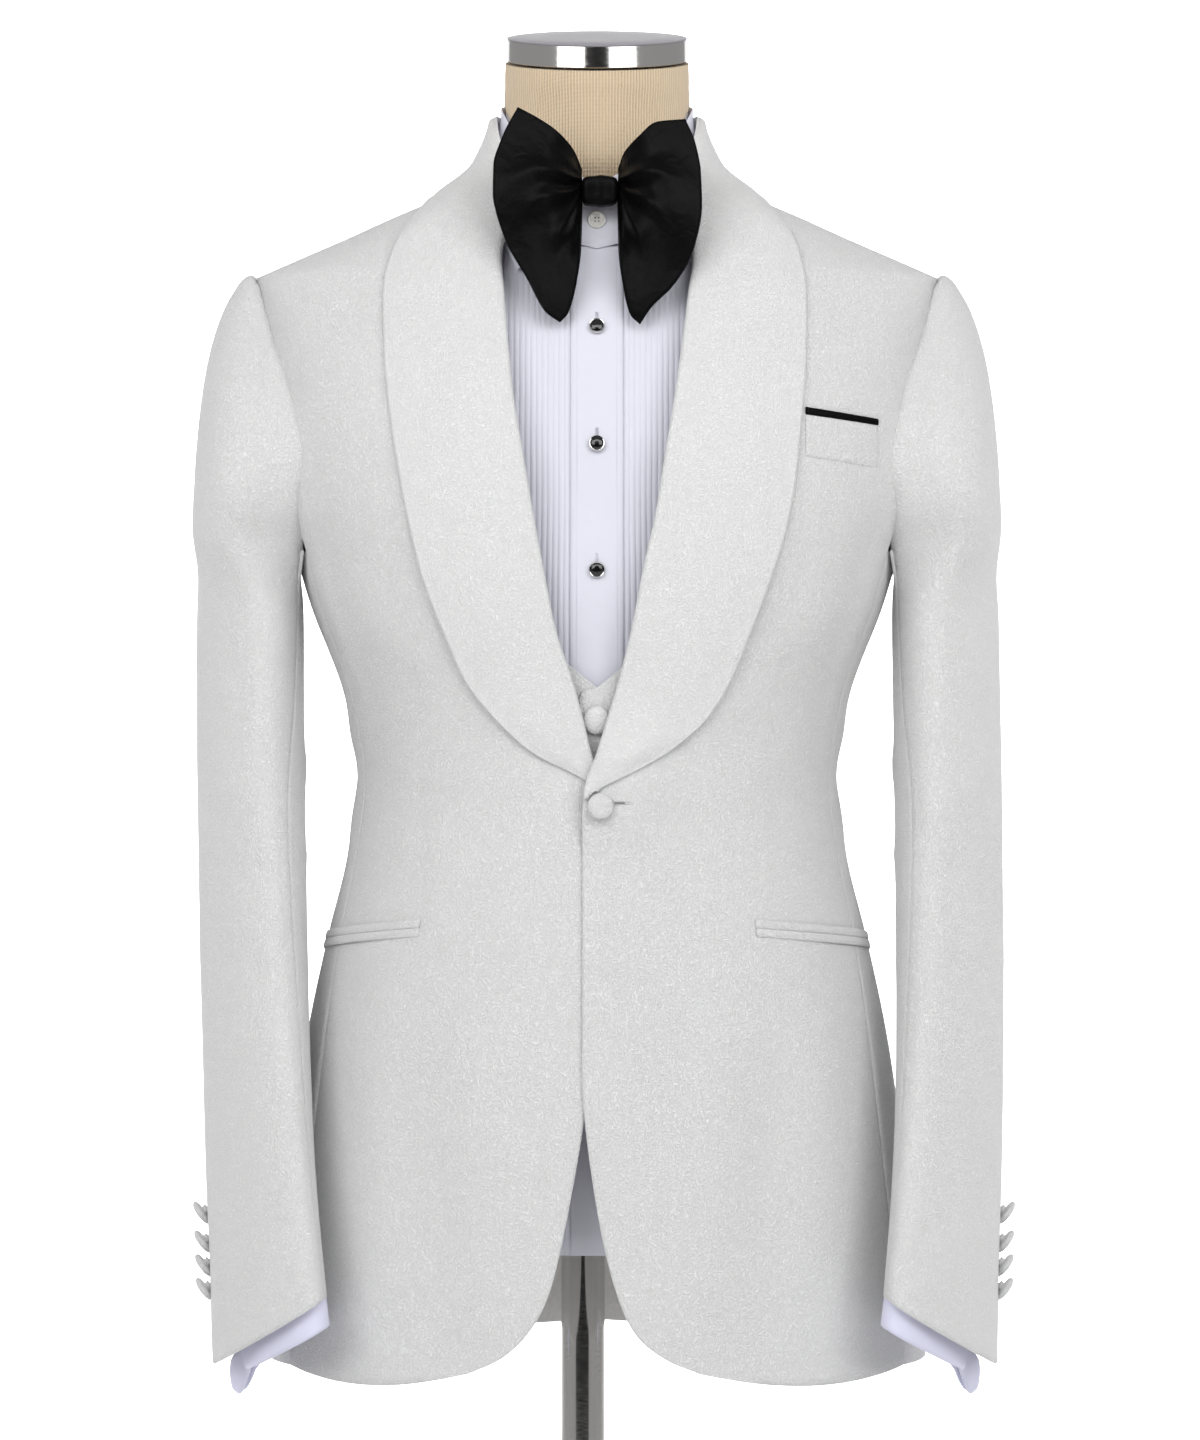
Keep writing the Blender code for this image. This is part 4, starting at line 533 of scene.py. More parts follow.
class Torso:
    """A torso of level ovals, with shoulders that slope to a neck."""

    def __init__(self, trunk: Sequence[Section], shoulder: Sequence[Section]) -> None:
        """Fits lines through two tables of sections.

        Args:
            trunk: Sections up to the shoulder tips.
            shoulder: Sections from the tips up to the neck.
        """
        self.tip = trunk[-1].height
        columns = Section._fields[1:]
        self.trunk = [line_of(trunk, "height", name) for name in columns]
        self.shoulder = [line_of(shoulder, "height", name) for name in columns]

    def bare(self, side: int, turn: np.ndarray, height: np.ndarray) -> np.ndarray:
        """The point of the torso at a turn and a height."""
        turn, height = np.broadcast_arrays(np.asarray(turn, float), np.asarray(height, float))
        low = [line(np.minimum(height, self.tip)) for line in self.trunk]
        high = [line(np.maximum(height, self.tip)) for line in self.shoulder]
        half, front, back, fullness, middle = (np.where(height > self.tip, b, a) for a, b in zip(low, high))
        angle = math.pi * turn
        depth = np.where(np.cos(angle) > 0, front, back)
        inverse = (np.abs(np.cos(angle)) / depth) ** fullness + (np.abs(np.sin(angle)) / half) ** fullness
        reach = inverse ** (-1 / fullness)
        across = CENTRE_X + side * reach * np.sin(angle)
        return np.stack([across, middle - reach * np.cos(angle), height], axis=-1)

    def normal(self, side: int, turn: np.ndarray, height: np.ndarray) -> np.ndarray:
        """The torso's outward direction at a turn and a height."""
        turn, height = np.broadcast_arrays(np.asarray(turn, float), np.asarray(height, float))
        across = self.bare(side, turn + 0.006, height) - self.bare(side, turn - 0.006, height)
        up = self.bare(side, turn, height + 0.003) - self.bare(side, turn, height - 0.003)
        return unit(side * np.cross(across, up))

    def point(
        self, side: int, turn: np.ndarray, height: np.ndarray, out: float | np.ndarray = 0.0
    ) -> np.ndarray:
        """A point off the torso's surface by out."""
        out = np.asarray(out, float)[..., None]
        return self.bare(side, turn, height) + out * self.normal(side, turn, height)

    def across(self, side: int, turn: np.ndarray, height: np.ndarray) -> np.ndarray:
        """How far from the centre line a place lies."""
        return side * (self.bare(side, turn, height)[..., 0] - CENTRE_X)

    def turn_at(self, across: np.ndarray, height: np.ndarray) -> np.ndarray:
        """The turn, on the front half, at which the section passes a distance from the centre."""
        across, height = np.broadcast_arrays(np.asarray(across, float), np.asarray(height, float))
        low, high = np.full(across.shape, -0.5), np.full(across.shape, 0.5)
        for _ in range(34):
            middle = (low + high) / 2
            below = self.across(1, middle, height) < across
            low, high = np.where(below, middle, low), np.where(below, high, middle)
        return (low + high) / 2


JACKET = Torso(JACKET_TRUNK, JACKET_SHOULDER)
FORM = Torso(FORM_TRUNK, FORM_SHOULDER)
# height of the shirt's collar band at its top, by turn
COLLAR_TOP = Line([0.0, 0.25, 0.5, 1.0], [1.5020, 1.5240, 1.5520, 1.5590])


def finer(grid: np.ndarray, rows: int, columns: int, ring: bool = False) -> np.ndarray:
    """A grid with more rows and columns on one smooth surface through the given points.

    Args:
        grid: The points, as rows x columns x 3, or any other number of values a place.
        rows: How many steps each step between rows becomes.
        columns: How many steps each step between columns becomes.
        ring: Whether the last column joins the first.

    Returns:
        The finer grid.
    """

    def along(points: np.ndarray, steps: int, closed: bool) -> np.ndarray:
        """Refines the first axis with a Catmull-Rom line."""
        if steps == 1 and not closed:
            return points
        count = len(points)
        if closed:
            padded = np.concatenate([points[-1:], points, points[:2]])
            spans = count
        else:
            first, last = 2 * points[0] - points[1], 2 * points[-1] - points[-2]
            padded = np.concatenate([first[None], points, last[None]])
            spans = count - 1
        parts = []
        for k in range(spans):
            p = padded[k : k + 4]
            for t in np.arange(steps) / steps:
                parts.append(
                    0.5
                    * (
                        2 * p[1]
                        + (p[2] - p[0]) * t
                        + (2 * p[0] - 5 * p[1] + 4 * p[2] - p[3]) * t * t
                        + (3 * p[1] - p[0] - 3 * p[2] + p[3]) * t**3
                    )
                )
        if not closed:
            parts.append(points[-1])
        return np.array(parts)

    out = along(grid, rows, False)
    return np.swapaxes(along(np.swapaxes(out, 0, 1), columns, ring), 0, 1)


def grid_normals(grid: np.ndarray, outward: np.ndarray, ring: bool = False) -> np.ndarray:
    """The grid's normal at each point.

    Args:
        grid: The points.
        outward: A direction for each point, or one for all, that the normals agree with on average.
        ring: Whether the last column joins the first.

    Returns:
        Unit vectors of the grid's shape.
    """
    up = np.empty_like(grid)
    up[1:-1] = grid[2:] - grid[:-2]
    up[0], up[-1] = grid[1] - grid[0], grid[-1] - grid[-2]
    if ring:
        across = np.roll(grid, -1, 1) - np.roll(grid, 1, 1)
    else:
        across = np.empty_like(grid)
        across[:, 1:-1] = grid[:, 2:] - grid[:, :-2]
        across[:, 0], across[:, -1] = grid[:, 1] - grid[:, 0], grid[:, -1] - grid[:, -2]
    normals = unit(np.cross(across, up))
    agree = (normals * outward).sum(axis=-1)
    return normals if agree.mean() > 0 else -normals


def lengths(grid: np.ndarray) -> tuple[np.ndarray, np.ndarray]:
    """How far each point lies along its row and along its column, in metres."""
    across = np.linalg.norm(np.diff(grid, axis=1), axis=-1)
    up = np.linalg.norm(np.diff(grid, axis=0), axis=-1)
    u = np.concatenate([np.zeros((grid.shape[0], 1)), across.cumsum(axis=1)], axis=1)
    v = np.concatenate([np.zeros((1, grid.shape[1])), up.cumsum(axis=0)], axis=0)
    return u, v


class Crease(NamedTuple):
    """A soft ridge, or a trough where rise is negative, between two places on a piece."""

    u0: float
    v0: float
    u1: float
    v1: float
    width: float
    rise: float


def creased(u: np.ndarray, v: np.ndarray, creases: Iterable[Crease]) -> np.ndarray:
    """How far soft folds lift a surface.

    Args:
        u: One co-ordinate of each point, in metres.
        v: The other.
        creases: The folds, in the same co-ordinates.

    Returns:
        The lift of each point.
    """
    lift = np.zeros(np.broadcast(u, v).shape)
    for c in creases:
        along = np.array([c.u1 - c.u0, c.v1 - c.v0])
        length = float(np.hypot(*along))
        along = along / length
        s = (u - c.u0) * along[0] + (v - c.v0) * along[1]
        d = (u - c.u0) * along[1] - (v - c.v0) * along[0]
        fade = hump(s / length, -0.25, 0.25, 0.75, 1.25)
        lift += c.rise * np.exp(-((d / c.width) ** 2)) * fade
    return lift


# ---- meshes --------------------------------------------------------------------------------------


def in_scene(name: str, data: bpy.types.ID) -> bpy.types.Object:
    """Puts an object with this mesh, light or camera in the scene."""
    made = bpy.data.objects.new(name, data)
    bpy.context.scene.collection.objects.link(made)
    return made


class Mesher:
    """Gathers points and faces of one mesh, with a material slot and a flat place for each point."""

    def __init__(self) -> None:
        """Starts empty."""
        self.points: list[np.ndarray] = []
        self.faces: list[tuple[int, ...]] = []
        self.slots: list[int] = []
        self.flat: list[np.ndarray] = []
        self.girth = 0.0
        self.count = 0

    def add(self, points: np.ndarray, flat: np.ndarray | None = None) -> int:
        """Adds points and returns the first one's number."""
        points = np.asarray(points, float).reshape(-1, 3)
        start = self.count
        self.points.append(points)
        self.flat.append(points[:, :2] * 0 if flat is None else np.asarray(flat, float).reshape(-1, 2))
        self.count += len(points)
        return start

    def quads(self, index: np.ndarray, slot: int = 0, closed: bool = False, flip: bool = False) -> None:
        """Joins a grid of point numbers with faces.

        Args:
            index: The numbers, as rows x columns.
            slot: The faces' material slot.
            closed: Whether the last column joins the first.
            flip: Whether the faces look the other way.
        """
        if closed:
            index = np.concatenate([index, index[:, :1]], axis=1)
            girth = max((float(flat[:, 0].max()) for flat in self.flat), default=0.0)
            self.girth = max(self.girth, girth)
        a, b = index[:-1, :-1].ravel(), index[:-1, 1:].ravel()
        c, d = index[1:, 1:].ravel(), index[1:, :-1].ravel()
        order = (a, d, c, b) if flip else (a, b, c, d)
        self.faces += list(zip(*(x.tolist() for x in order)))
        self.slots += [slot] * len(a)

    def fan(self, ring: np.ndarray, slot: int = 0, flip: bool = False) -> None:
        """Closes a ring of point numbers with one face."""
        ring = list(int(k) for k in ring)
        self.faces.append(tuple(reversed(ring)) if flip else tuple(ring))
        self.slots.append(slot)

    def shell(
        self,
        outer: np.ndarray,
        thick: float,
        outward: np.ndarray,
        ring: bool = False,
        inner_slot: int = 0,
    ) -> None:
        """Adds a thin closed sheet of cloth with rounded edges.

        Args:
            outer: The grid of the cloth's right side.
            thick: How thick the cloth is.
            outward: Which way the right side looks.
            ring: Whether the last column joins the first.
            inner_slot: The material slot of the wrong side.
        """
        normals = grid_normals(outer, outward, ring)
        turning = np.cross(outer[0, 1] - outer[0, 0], outer[1, 0] - outer[0, 0])
        flip = bool((turning * normals[0, 0]).sum() < 0)
        inner = outer - thick * normals
        flat = np.stack(lengths(outer), axis=-1)
        rows, columns = outer.shape[:2]
        numbers = np.arange(rows * columns).reshape(rows, columns)
        top = numbers + self.add(outer, flat)
        low = numbers + self.add(inner, flat)
        self.quads(top, 0, ring, flip)
        self.quads(low, inner_slot, ring, not flip)
        # the rim: a middle line that stands out by about half the cloth makes the folded edge round
        ends = []
        for at, near in ((0, 1), (rows - 1, rows - 2)):
            edge = (outer[at] + inner[at]) / 2
            push = unit(edge - (outer[near] + inner[near]) / 2) * thick * RIM
            ends.append(np.arange(columns) + self.add(edge + push, flat[at]))
            self.quads(np.stack([top[at], ends[-1], low[at]]), 0, ring, flip if at else not flip)
        if ring:
            return
        for at, near in ((0, 1), (columns - 1, columns - 2)):
            edge = (outer[:, at] + inner[:, at]) / 2
            push = unit(edge - (outer[:, near] + inner[:, near]) / 2) * thick * RIM
            start = self.add((edge + push)[1:-1], flat[1:-1, at])
            middle = np.concatenate([[ends[0][at]], np.arange(rows - 2) + start, [ends[1][at]]])
            self.quads(np.stack([top[:, at], middle, low[:, at]]), 0, False, (not flip) if at else flip)

    def body(self, rings: np.ndarray, slot: int = 0, flat: np.ndarray | None = None) -> None:
        """Adds a closed body through rings of points, with a face over each end."""
        index = np.arange(rings.shape[0] * rings.shape[1]).reshape(rings.shape[:2]) + self.add(rings, flat)
        self.quads(index, slot, True)
        self.fan(index[0], slot, True)
        self.fan(index[-1], slot)

    def tube(self, line: np.ndarray, radius: float, sides: int = 6, slot: int = 0) -> None:
        """Adds a round thread along a line of points."""
        ahead = unit(np.gradient(line, axis=0))
        helper = np.where(np.abs(ahead[:, 2:3]) < 0.9, [[0.0, 0.0, 1.0]], [[1.0, 0.0, 0.0]])
        u = unit(np.cross(helper, ahead))[:, None]
        w = np.cross(ahead, u[:, 0])[:, None]
        angles = circle(sides)[None, :, None]
        ends = np.ones((len(line), 1, 1)) * radius
        ends[[0, -1]] = radius * THREAD_TIP
        self.body(line[:, None] + ends * (u * np.cos(angles) + w * np.sin(angles)), slot)

    def turned(
        self, profile: Pairs, base: np.ndarray, axis: np.ndarray, sides: int, slot: int = 0
    ) -> None:
        """Adds a turned body whose profile is (radius, distance along the axis)."""
        axis = unit(np.asarray(axis, float))
        helper = np.array([0.0, 0.0, 1.0]) if abs(axis[2]) < 0.9 else np.array([1.0, 0.0, 0.0])
        u = unit(np.cross(helper, axis))
        w = np.cross(axis, u)
        angles = circle(sides)[:, None]
        round_it = u * np.cos(angles) + w * np.sin(angles)
        self.body(np.array([base + axis * along + radius * round_it for radius, along in profile]), slot)

    def build(
        self, name: str, materials: Sequence[bpy.types.Material], smooth_deg: float = SMOOTH_DEG
    ) -> bpy.types.Object:
        """Makes the mesh's object, smooth but for edges sharper than smooth_deg."""
        mesh = bpy.data.meshes.new(name)
        mesh.from_pydata(np.concatenate(self.points).tolist(), [], self.faces)
        for made in materials:
            mesh.materials.append(made)
        mesh.polygons.foreach_set("material_index", self.slots)
        flat = np.concatenate(self.flat)
        corners = np.empty(len(mesh.loops), np.int32)
        mesh.loops.foreach_get("vertex_index", corners)
        layer = mesh.uv_layers.new(name="flat")
        flat = flat[corners]
        if self.girth > 0:
            # a face that closes a ring takes its low corners on past the ring's end
            sizes = np.empty(len(mesh.polygons), np.int32)
            mesh.polygons.foreach_get("loop_total", sizes)
            face = np.repeat(np.arange(len(sizes)), sizes)
            top = np.zeros(len(sizes))
            np.maximum.at(top, face, flat[:, 0])
            flat[:, 0] += np.where(top[face] - flat[:, 0] > self.girth * 0.6, top[face], 0.0)
        layer.data.foreach_set("uv", flat.astype(np.float32).ravel())
        mesh.shade_smooth()
        mesh.set_sharp_from_angle(angle=math.radians(smooth_deg))
        mesh.update()
        return in_scene(name, mesh)


@dataclass
class Piece:
    """A finished piece, the name of its slot and the nodes that it stands in for."""

    made: bpy.types.Object
    slot: str
    nodes: tuple[str, ...]

    def settle(self) -> bpy.types.Object:
        """Lets the piece ride on the frame in place of its nodes."""
        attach(self.made, BODY)
        if self.nodes:
            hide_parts(*self.nodes)
        LOG.info("%s: %d faces", self.made.name, len(self.made.data.polygons))
        return self.made


def cloth_piece(
    names: tuple[str, ...],
    grid: np.ndarray,
    thick: float,
    outward: np.ndarray,
    finish: Sequence[bpy.types.Material],
    ring: bool = False,
    smooth_deg: float = SMOOTH_DEG,
) -> tuple[Piece, np.ndarray]:
    """A thin piece of cloth.

    Args:
        names: Its own name, its slot's and those of the nodes that it replaces.
        grid: The grid of its right side.
        thick: How thick it is.
        outward: Which way its right side looks.
        finish: Its material, and then that of its wrong side where that differs.
        ring: Whether the last column joins the first.
        smooth_deg: Edges sharper than this stay sharp.

    Returns:
        The piece and its grid.
    """
    name, slot, *nodes = names
    mesh = Mesher()
    mesh.shell(grid, thick, outward, ring, len(finish) - 1)
    return Piece(mesh.build(name, finish, smooth_deg), slot, tuple(nodes)), grid


def declare_sheet(made: bpy.types.Object, outer: np.ndarray) -> None:
    """Measures how far each point of a sheet's right side lies along its row and its column, and does nothing
    more.

    Args:
        made: The piece; not used.
        outer: The grid of its right side, which is measured.
    """
    u, v = lengths(outer)


# ---- finishes ------------------------------------------------------------------------------------


class Shade:
    """A value on its way through a material's nodes, with the usual sums as operators."""

    def __init__(self, surface: "Surface", socket: bpy.types.NodeSocket) -> None:
        """Wraps one output.

        Args:
            surface: The material it belongs to.
            socket: The output.
        """
        self.surface = surface
        self.socket = socket

    def _sum(self, operation: str, first: object, second: object) -> "Shade":
        """One step of arithmetic."""
        return self.surface.node("ShaderNodeMath", {"operation": operation}, {0: first, 1: second})[0]

    def __add__(self, other: object) -> "Shade":
        """self + other."""
        return self._sum("ADD", self, other)

    __radd__ = __add__

    def __sub__(self, other: object) -> "Shade":
        """self - other."""
        return self._sum("SUBTRACT", self, other)

    def __rsub__(self, other: object) -> "Shade":
        """other - self."""
        return self._sum("SUBTRACT", other, self)

    def __mul__(self, other: object) -> "Shade":
        """self * other."""
        return self._sum("MULTIPLY", self, other)

    __rmul__ = __mul__

    def __truediv__(self, other: object) -> "Shade":
        """self / other."""
        return self._sum("DIVIDE", self, other)

    def __rtruediv__(self, other: object) -> "Shade":
        """other / self."""
        return self._sum("DIVIDE", other, self)

    def __pow__(self, other: object) -> "Shade":
        """self to a power."""
        return self._sum("POWER", self, other)

    def sine(self) -> "Shade":
        """The sine of self."""
        return self._sum("SINE", self, 0.0)

    def ramp(self, low: float, high: float, start: float = 0.0, end: float = 1.0) -> "Shade":
        """self mapped smoothly from low..high to start..end."""
        settings = {"interpolation_type": "SMOOTHSTEP"}
        values = {"Value": self, "From Min": low, "From Max": high, "To Min": start, "To Max": end}
        return self.surface.node("ShaderNodeMapRange", settings, values)[0]


class Surface:
    """A material and the one way to add nodes to it."""

    def __init__(self, name: str) -> None:
        """Starts a material with a Principled shader.

        Args:
            name: The material's name.
        """
        self.material = bpy.data.materials.new(name)
        self.material.use_nodes = True
        self.tree = self.material.node_tree
        self.tree.nodes.clear()
        self.output = self.tree.nodes.new("ShaderNodeOutputMaterial")
        self.shader = self.tree.nodes.new("ShaderNodeBsdfPrincipled")
        self.tree.links.new(self.shader.outputs[0], self.output.inputs["Surface"])

    def _feed(self, socket: bpy.types.NodeSocket, value: object) -> None:
        """Sets or links one input."""
        if isinstance(value, Shade):
            self.tree.links.new(value.socket, socket)
        elif isinstance(value, (tuple, list)) and len(value) == 3 and socket.type == "RGBA":
            socket.default_value = (*value, 1.0)
        else:
            socket.default_value = value

    def node(self, kind: str, settings: dict[str, object], values: dict[int | str, object]) -> list[Shade]:
        """Adds a node.

        Args:
            kind: The node's type.
            settings: Its own settings, made first.
            values: What goes into its inputs, by name or number.

        Returns:
            Its outputs.
        """
        made = self.tree.nodes.new(kind)
        for key, value in settings.items():
            setattr(made, key, value)
        for key, value in values.items():
            self._feed(made.inputs[key], value)
        return [Shade(self, socket) for socket in made.outputs]

    def mixed(self, share: object, first: object, second: object) -> Shade:
        """A colour part of the way from first to second."""
        made = self.node("ShaderNodeMix", {"data_type": "RGBA"}, {0: share, 6: first, 7: second})
        return made[2]

    def flat(self) -> Shade:
        """A place on the cloth as cut, in metres."""
        return self.node("ShaderNodeTexCoord", {}, {})[2]

    def place(self) -> Shade:
        """A place in the piece's own space, in metres."""
        return self.node("ShaderNodeTexCoord", {}, {})[3]

    def scaled(self, vector: Shade, scale: tuple[float, float, float]) -> Shade:
        """A vector stretched along its axes."""
        return self.node("ShaderNodeVectorMath", {"operation": "MULTIPLY"}, {0: vector, 1: scale})[0]

    def parts(self, vector: Shade) -> list[Shade]:
        """A vector's three numbers."""
        return self.node("ShaderNodeSeparateXYZ", {}, {0: vector})

    def noise(self, where: Shade, scale: float, detail: float = 2.0, bend: float = 0.0) -> Shade:
        """Soft noise with lumps of about 1 / scale metres."""
        values = {"Vector": where, "Scale": scale, "Detail": detail, "Roughness": 0.55, "Distortion": bend}
        return self.node("ShaderNodeTexNoise", {}, values)[0]

    def bumped(self, height: Shade, depth: float, strength: float = 1.0) -> None:
        """Raises the surface by a height of 0 to 1 times depth metres."""
        values = {"Height": height, "Distance": depth, "Strength": strength}
        self.put("Normal", self.node("ShaderNodeBump", {}, values)[0])

    def put(self, name: str, value: object) -> None:
        """Feeds one input of the shader."""
        self._feed(self.shader.inputs[name], value)


@dataclass(frozen=True)
class WoolCrepe:
    """White wool crepe: a fine worm-like mottle that catches the light."""

    name: str
    colour: tuple[float, float, float] = (0.80, 0.80, 0.80)
    dip: float = 0.87
    grain: float = 1050.0
    relief: float = 0.00045
    sheen: float = 0.25

    def make(self) -> bpy.types.Material:
        """Builds the material."""
        s = Surface(self.name)
        where = s.place()
        # short slanting worms: noise stretched along a slant, thresholded softly
        worms = s.noise(s.scaled(where, (1.0, 1.0, 0.72)), self.grain, 2.0, 0.45)
        worm = worms.ramp(0.42, 0.60)
        yarn = s.noise(where, self.grain * 4.0, 1.0)
        patches = s.noise(where, 16.0, 2.0).ramp(0.30, 0.70)
        dark = tuple(c * self.dip for c in self.colour)
        base = s.mixed(worm * 0.65 + patches * 0.10 + yarn * 0.25, dark, self.colour)
        s.put("Base Color", base)
        s.put("Roughness", worm.ramp(0.0, 1.0, 0.86, 0.70))
        s.put("Sheen Weight", self.sheen)
        s.put("Sheen Roughness", 0.45)
        s.put("Specular IOR Level", 0.35)
        s.bumped(worm * 0.8 + yarn * 0.2, self.relief)
        return s.material


@dataclass(frozen=True)
class FineCotton:
    """Fine shirt cotton, a little blue in the white."""

    name: str
    colour: tuple[float, float, float] = (0.712, 0.712, 0.796)
    threads: float = 5200.0

    def make(self) -> bpy.types.Material:
        """Builds the material."""
        s = Surface(self.name)
        across, along, _ = s.parts(s.flat())
        weave = (across * self.threads).sine() * (along * self.threads).sine()
        slub = s.noise(s.flat(), 900.0, 1.0)
        cloud = s.noise(s.place(), 22.0, 2.0)
        dark = tuple(c * 0.95 for c in self.colour)
        s.put("Base Color", s.mixed(cloud * 0.6 + slub * 0.4, dark, self.colour))
        s.put("Roughness", slub.ramp(0.3, 0.7, 0.68, 0.78))
        s.put("Sheen Weight", 0.12)
        s.put("Specular IOR Level", 0.3)
        s.bumped(weave * 0.5 + slub, 0.00006)
        return s.material


@dataclass(frozen=True)
class Satin:
    """Black satin: dark, with broad soft lights and a fine cross rib."""

    name: str
    colour: tuple[float, float, float] = (0.0022, 0.0021, 0.0023)
    roughness: float = 0.27

    def make(self) -> bpy.types.Material:
        """Builds the material."""
        s = Surface(self.name)
        along = s.parts(s.flat())[1]
        ribs = (along * 9000.0).sine()
        slub = s.noise(s.scaled(s.flat(), (1.0, 5.0, 1.0)), 420.0, 2.0)
        crumple = s.noise(s.place(), 75.0, 2.0, 0.6)
        s.put("Base Color", s.mixed(slub, self.colour, tuple(c * 1.9 for c in self.colour)))
        s.put("Roughness", slub.ramp(0.3, 0.7, self.roughness, self.roughness + 0.10))
        s.put("Specular IOR Level", 0.05)
        s.put("Anisotropic", 0.4)
        s.bumped(crumple * 0.9 + ribs * 0.02 + slub * 0.08, 0.0014, 0.6)
        return s.material


@dataclass(frozen=True)
class RibbedKnit:
    """Beige jersey with fine upright ribs."""

    name: str
    colour: tuple[float, float, float] = (0.76, 0.60, 0.41)
    pitch: float = 0.0020

    def make(self) -> bpy.types.Material:
        """Builds the material."""
        s = Surface(self.name)
        across, along, _ = s.parts(s.flat())
        ribs = (across * (2 * math.pi / self.pitch)).sine()
        stitches = (along * (2 * math.pi / (self.pitch * 1.3))).sine()
        slub = s.noise(s.flat(), 700.0, 1.0)
        dark = tuple(c * 0.70 for c in self.colour)
        s.put("Base Color", s.mixed(ribs * 0.40 + 0.45 + slub * 0.3, dark, self.colour))
        s.put("Roughness", slub.ramp(0.3, 0.7, 0.85, 0.95))
        s.put("Sheen Weight", 0.25)
        s.bumped(ribs * 0.5 + stitches * 0.14 + slub * 0.2, 0.0005)
        return s.material


@dataclass(frozen=True)
class PolishedSteel:
    """Polished steel with faint brushing."""

    name: str
    colour: tuple[float, float, float] = (0.67, 0.66, 0.65)
    roughness: float = 0.12

    def make(self) -> bpy.types.Material:
        """Builds the material."""
        s = Surface(self.name)
        brush = s.noise(s.scaled(s.place(), (1.0, 1.0, 14.0)), 160.0, 2.0)
        smear = s.noise(s.place(), 30.0, 2.0)
        s.put("Base Color", s.mixed(smear, tuple(c * 0.94 for c in self.colour), self.colour))
        s.put("Metallic", 1.0)
        s.put("Roughness", brush.ramp(0.3, 0.7, self.roughness * 0.7, self.roughness * 1.3))
        s.bumped(brush, 0.00001, 0.4)
        return s.material


@dataclass(frozen=True)
class Smooth:
    """A smooth hard or dull surface with slight colour variation."""

    name: str
    colour: tuple[float, float, float]
    roughness: float
    coat: float = 0.0
    lumps: float = 90.0
    relief: float = 0.00004

    def make(self) -> bpy.types.Material:
        """Builds the material."""
        s = Surface(self.name)
        cloud = s.noise(s.place(), self.lumps, 2.0)
        grain = s.noise(s.place(), self.lumps * 12, 1.0)
        s.put("Base Color", s.mixed(cloud, tuple(c * 0.88 for c in self.colour), self.colour))
        s.put("Roughness", grain.ramp(0.3, 0.7, self.roughness * 0.9, self.roughness * 1.1))
        s.put("Coat Weight", self.coat)
        s.put("Coat Roughness", 0.12)
        s.bumped(cloud * 0.4 + grain * 0.6, self.relief)
        return s.material


@dataclass(frozen=True)
class SewingThread:
    """Thread with a visible twist."""

    name: str
    colour: tuple[float, float, float]

    def make(self) -> bpy.types.Material:
        """Builds the material."""
        s = Surface(self.name)
        x, _, z = s.parts(s.place())
        twist = ((x + z) * 9000.0).sine() * 0.5 + 0.5
        s.put("Base Color", s.mixed(twist, tuple(c * 0.82 for c in self.colour), self.colour))
        s.put("Roughness", twist.ramp(0.0, 1.0, 0.55, 0.70))
        s.put("Sheen Weight", 0.15)
        s.bumped(twist, 0.00008)
        return s.material


class Finishes:
    """Every finish, made once."""

    def __init__(self) -> None:
        """Builds the materials."""
        self.wool = WoolCrepe("jacket_cloth_white").make()
        # the shawl's wool: the jacket's cloth with a finer, flatter grain, coloured a little brighter than
        # the body's as painted light
        self.lapel = WoolCrepe("lapel_cloth", (0.825, 0.825, 0.825), 0.89, 1150.0, 0.00038).make()
        # the wrong side of the same white wool, painted grey as the shade inside the jacket
        inside = WoolCrepe("jacket_cloth_inside", (0.56, 0.56, 0.555), 0.92, 420.0, 0.0002, 0.1)
        self.lined = [self.wool, inside.make()]
        self.waistcoat = WoolCrepe("waistcoat_cloth_white", (0.83, 0.83, 0.83)).make()
        self.cotton = FineCotton("shirt_cotton").make()
        self.cuff_cotton = FineCotton("cuff_cotton", (0.72, 0.72, 0.88)).make()
        self.satin = Satin("bow_satin").make()
        self.knit = RibbedKnit("form_jersey").make()
        self.steel = PolishedSteel("polished_steel").make()
        self.cap = Smooth("cap_paint", (0.31, 0.30, 0.33), 0.40).make()
        # the collar button's four holes, painted near black as the shade in them
        self.screw = Smooth("dark_screw", (0.02, 0.02, 0.02), 0.35).make()
        self.stud = Smooth("stud_enamel", (0.006, 0.006, 0.007), 0.10, 0.4, 200.0, 0.00001).make()
        self.pearl = Smooth("pearl", (0.72, 0.71, 0.66), 0.22, 0.6, 260.0, 0.00003).make()
        self.thread = SewingThread("white_thread", (0.66, 0.66, 0.66)).make()
        self.shirt_thread = SewingThread("shirt_thread", (0.70, 0.70, 0.78)).make()
        # the pocket slits and the buttonhole's slit, painted dark grey as the shade in them
        self.slit = Smooth("pocket_dark", (0.20, 0.20, 0.20), 0.9).make()


# ---- the dress form ------------------------------------------------------------------------------


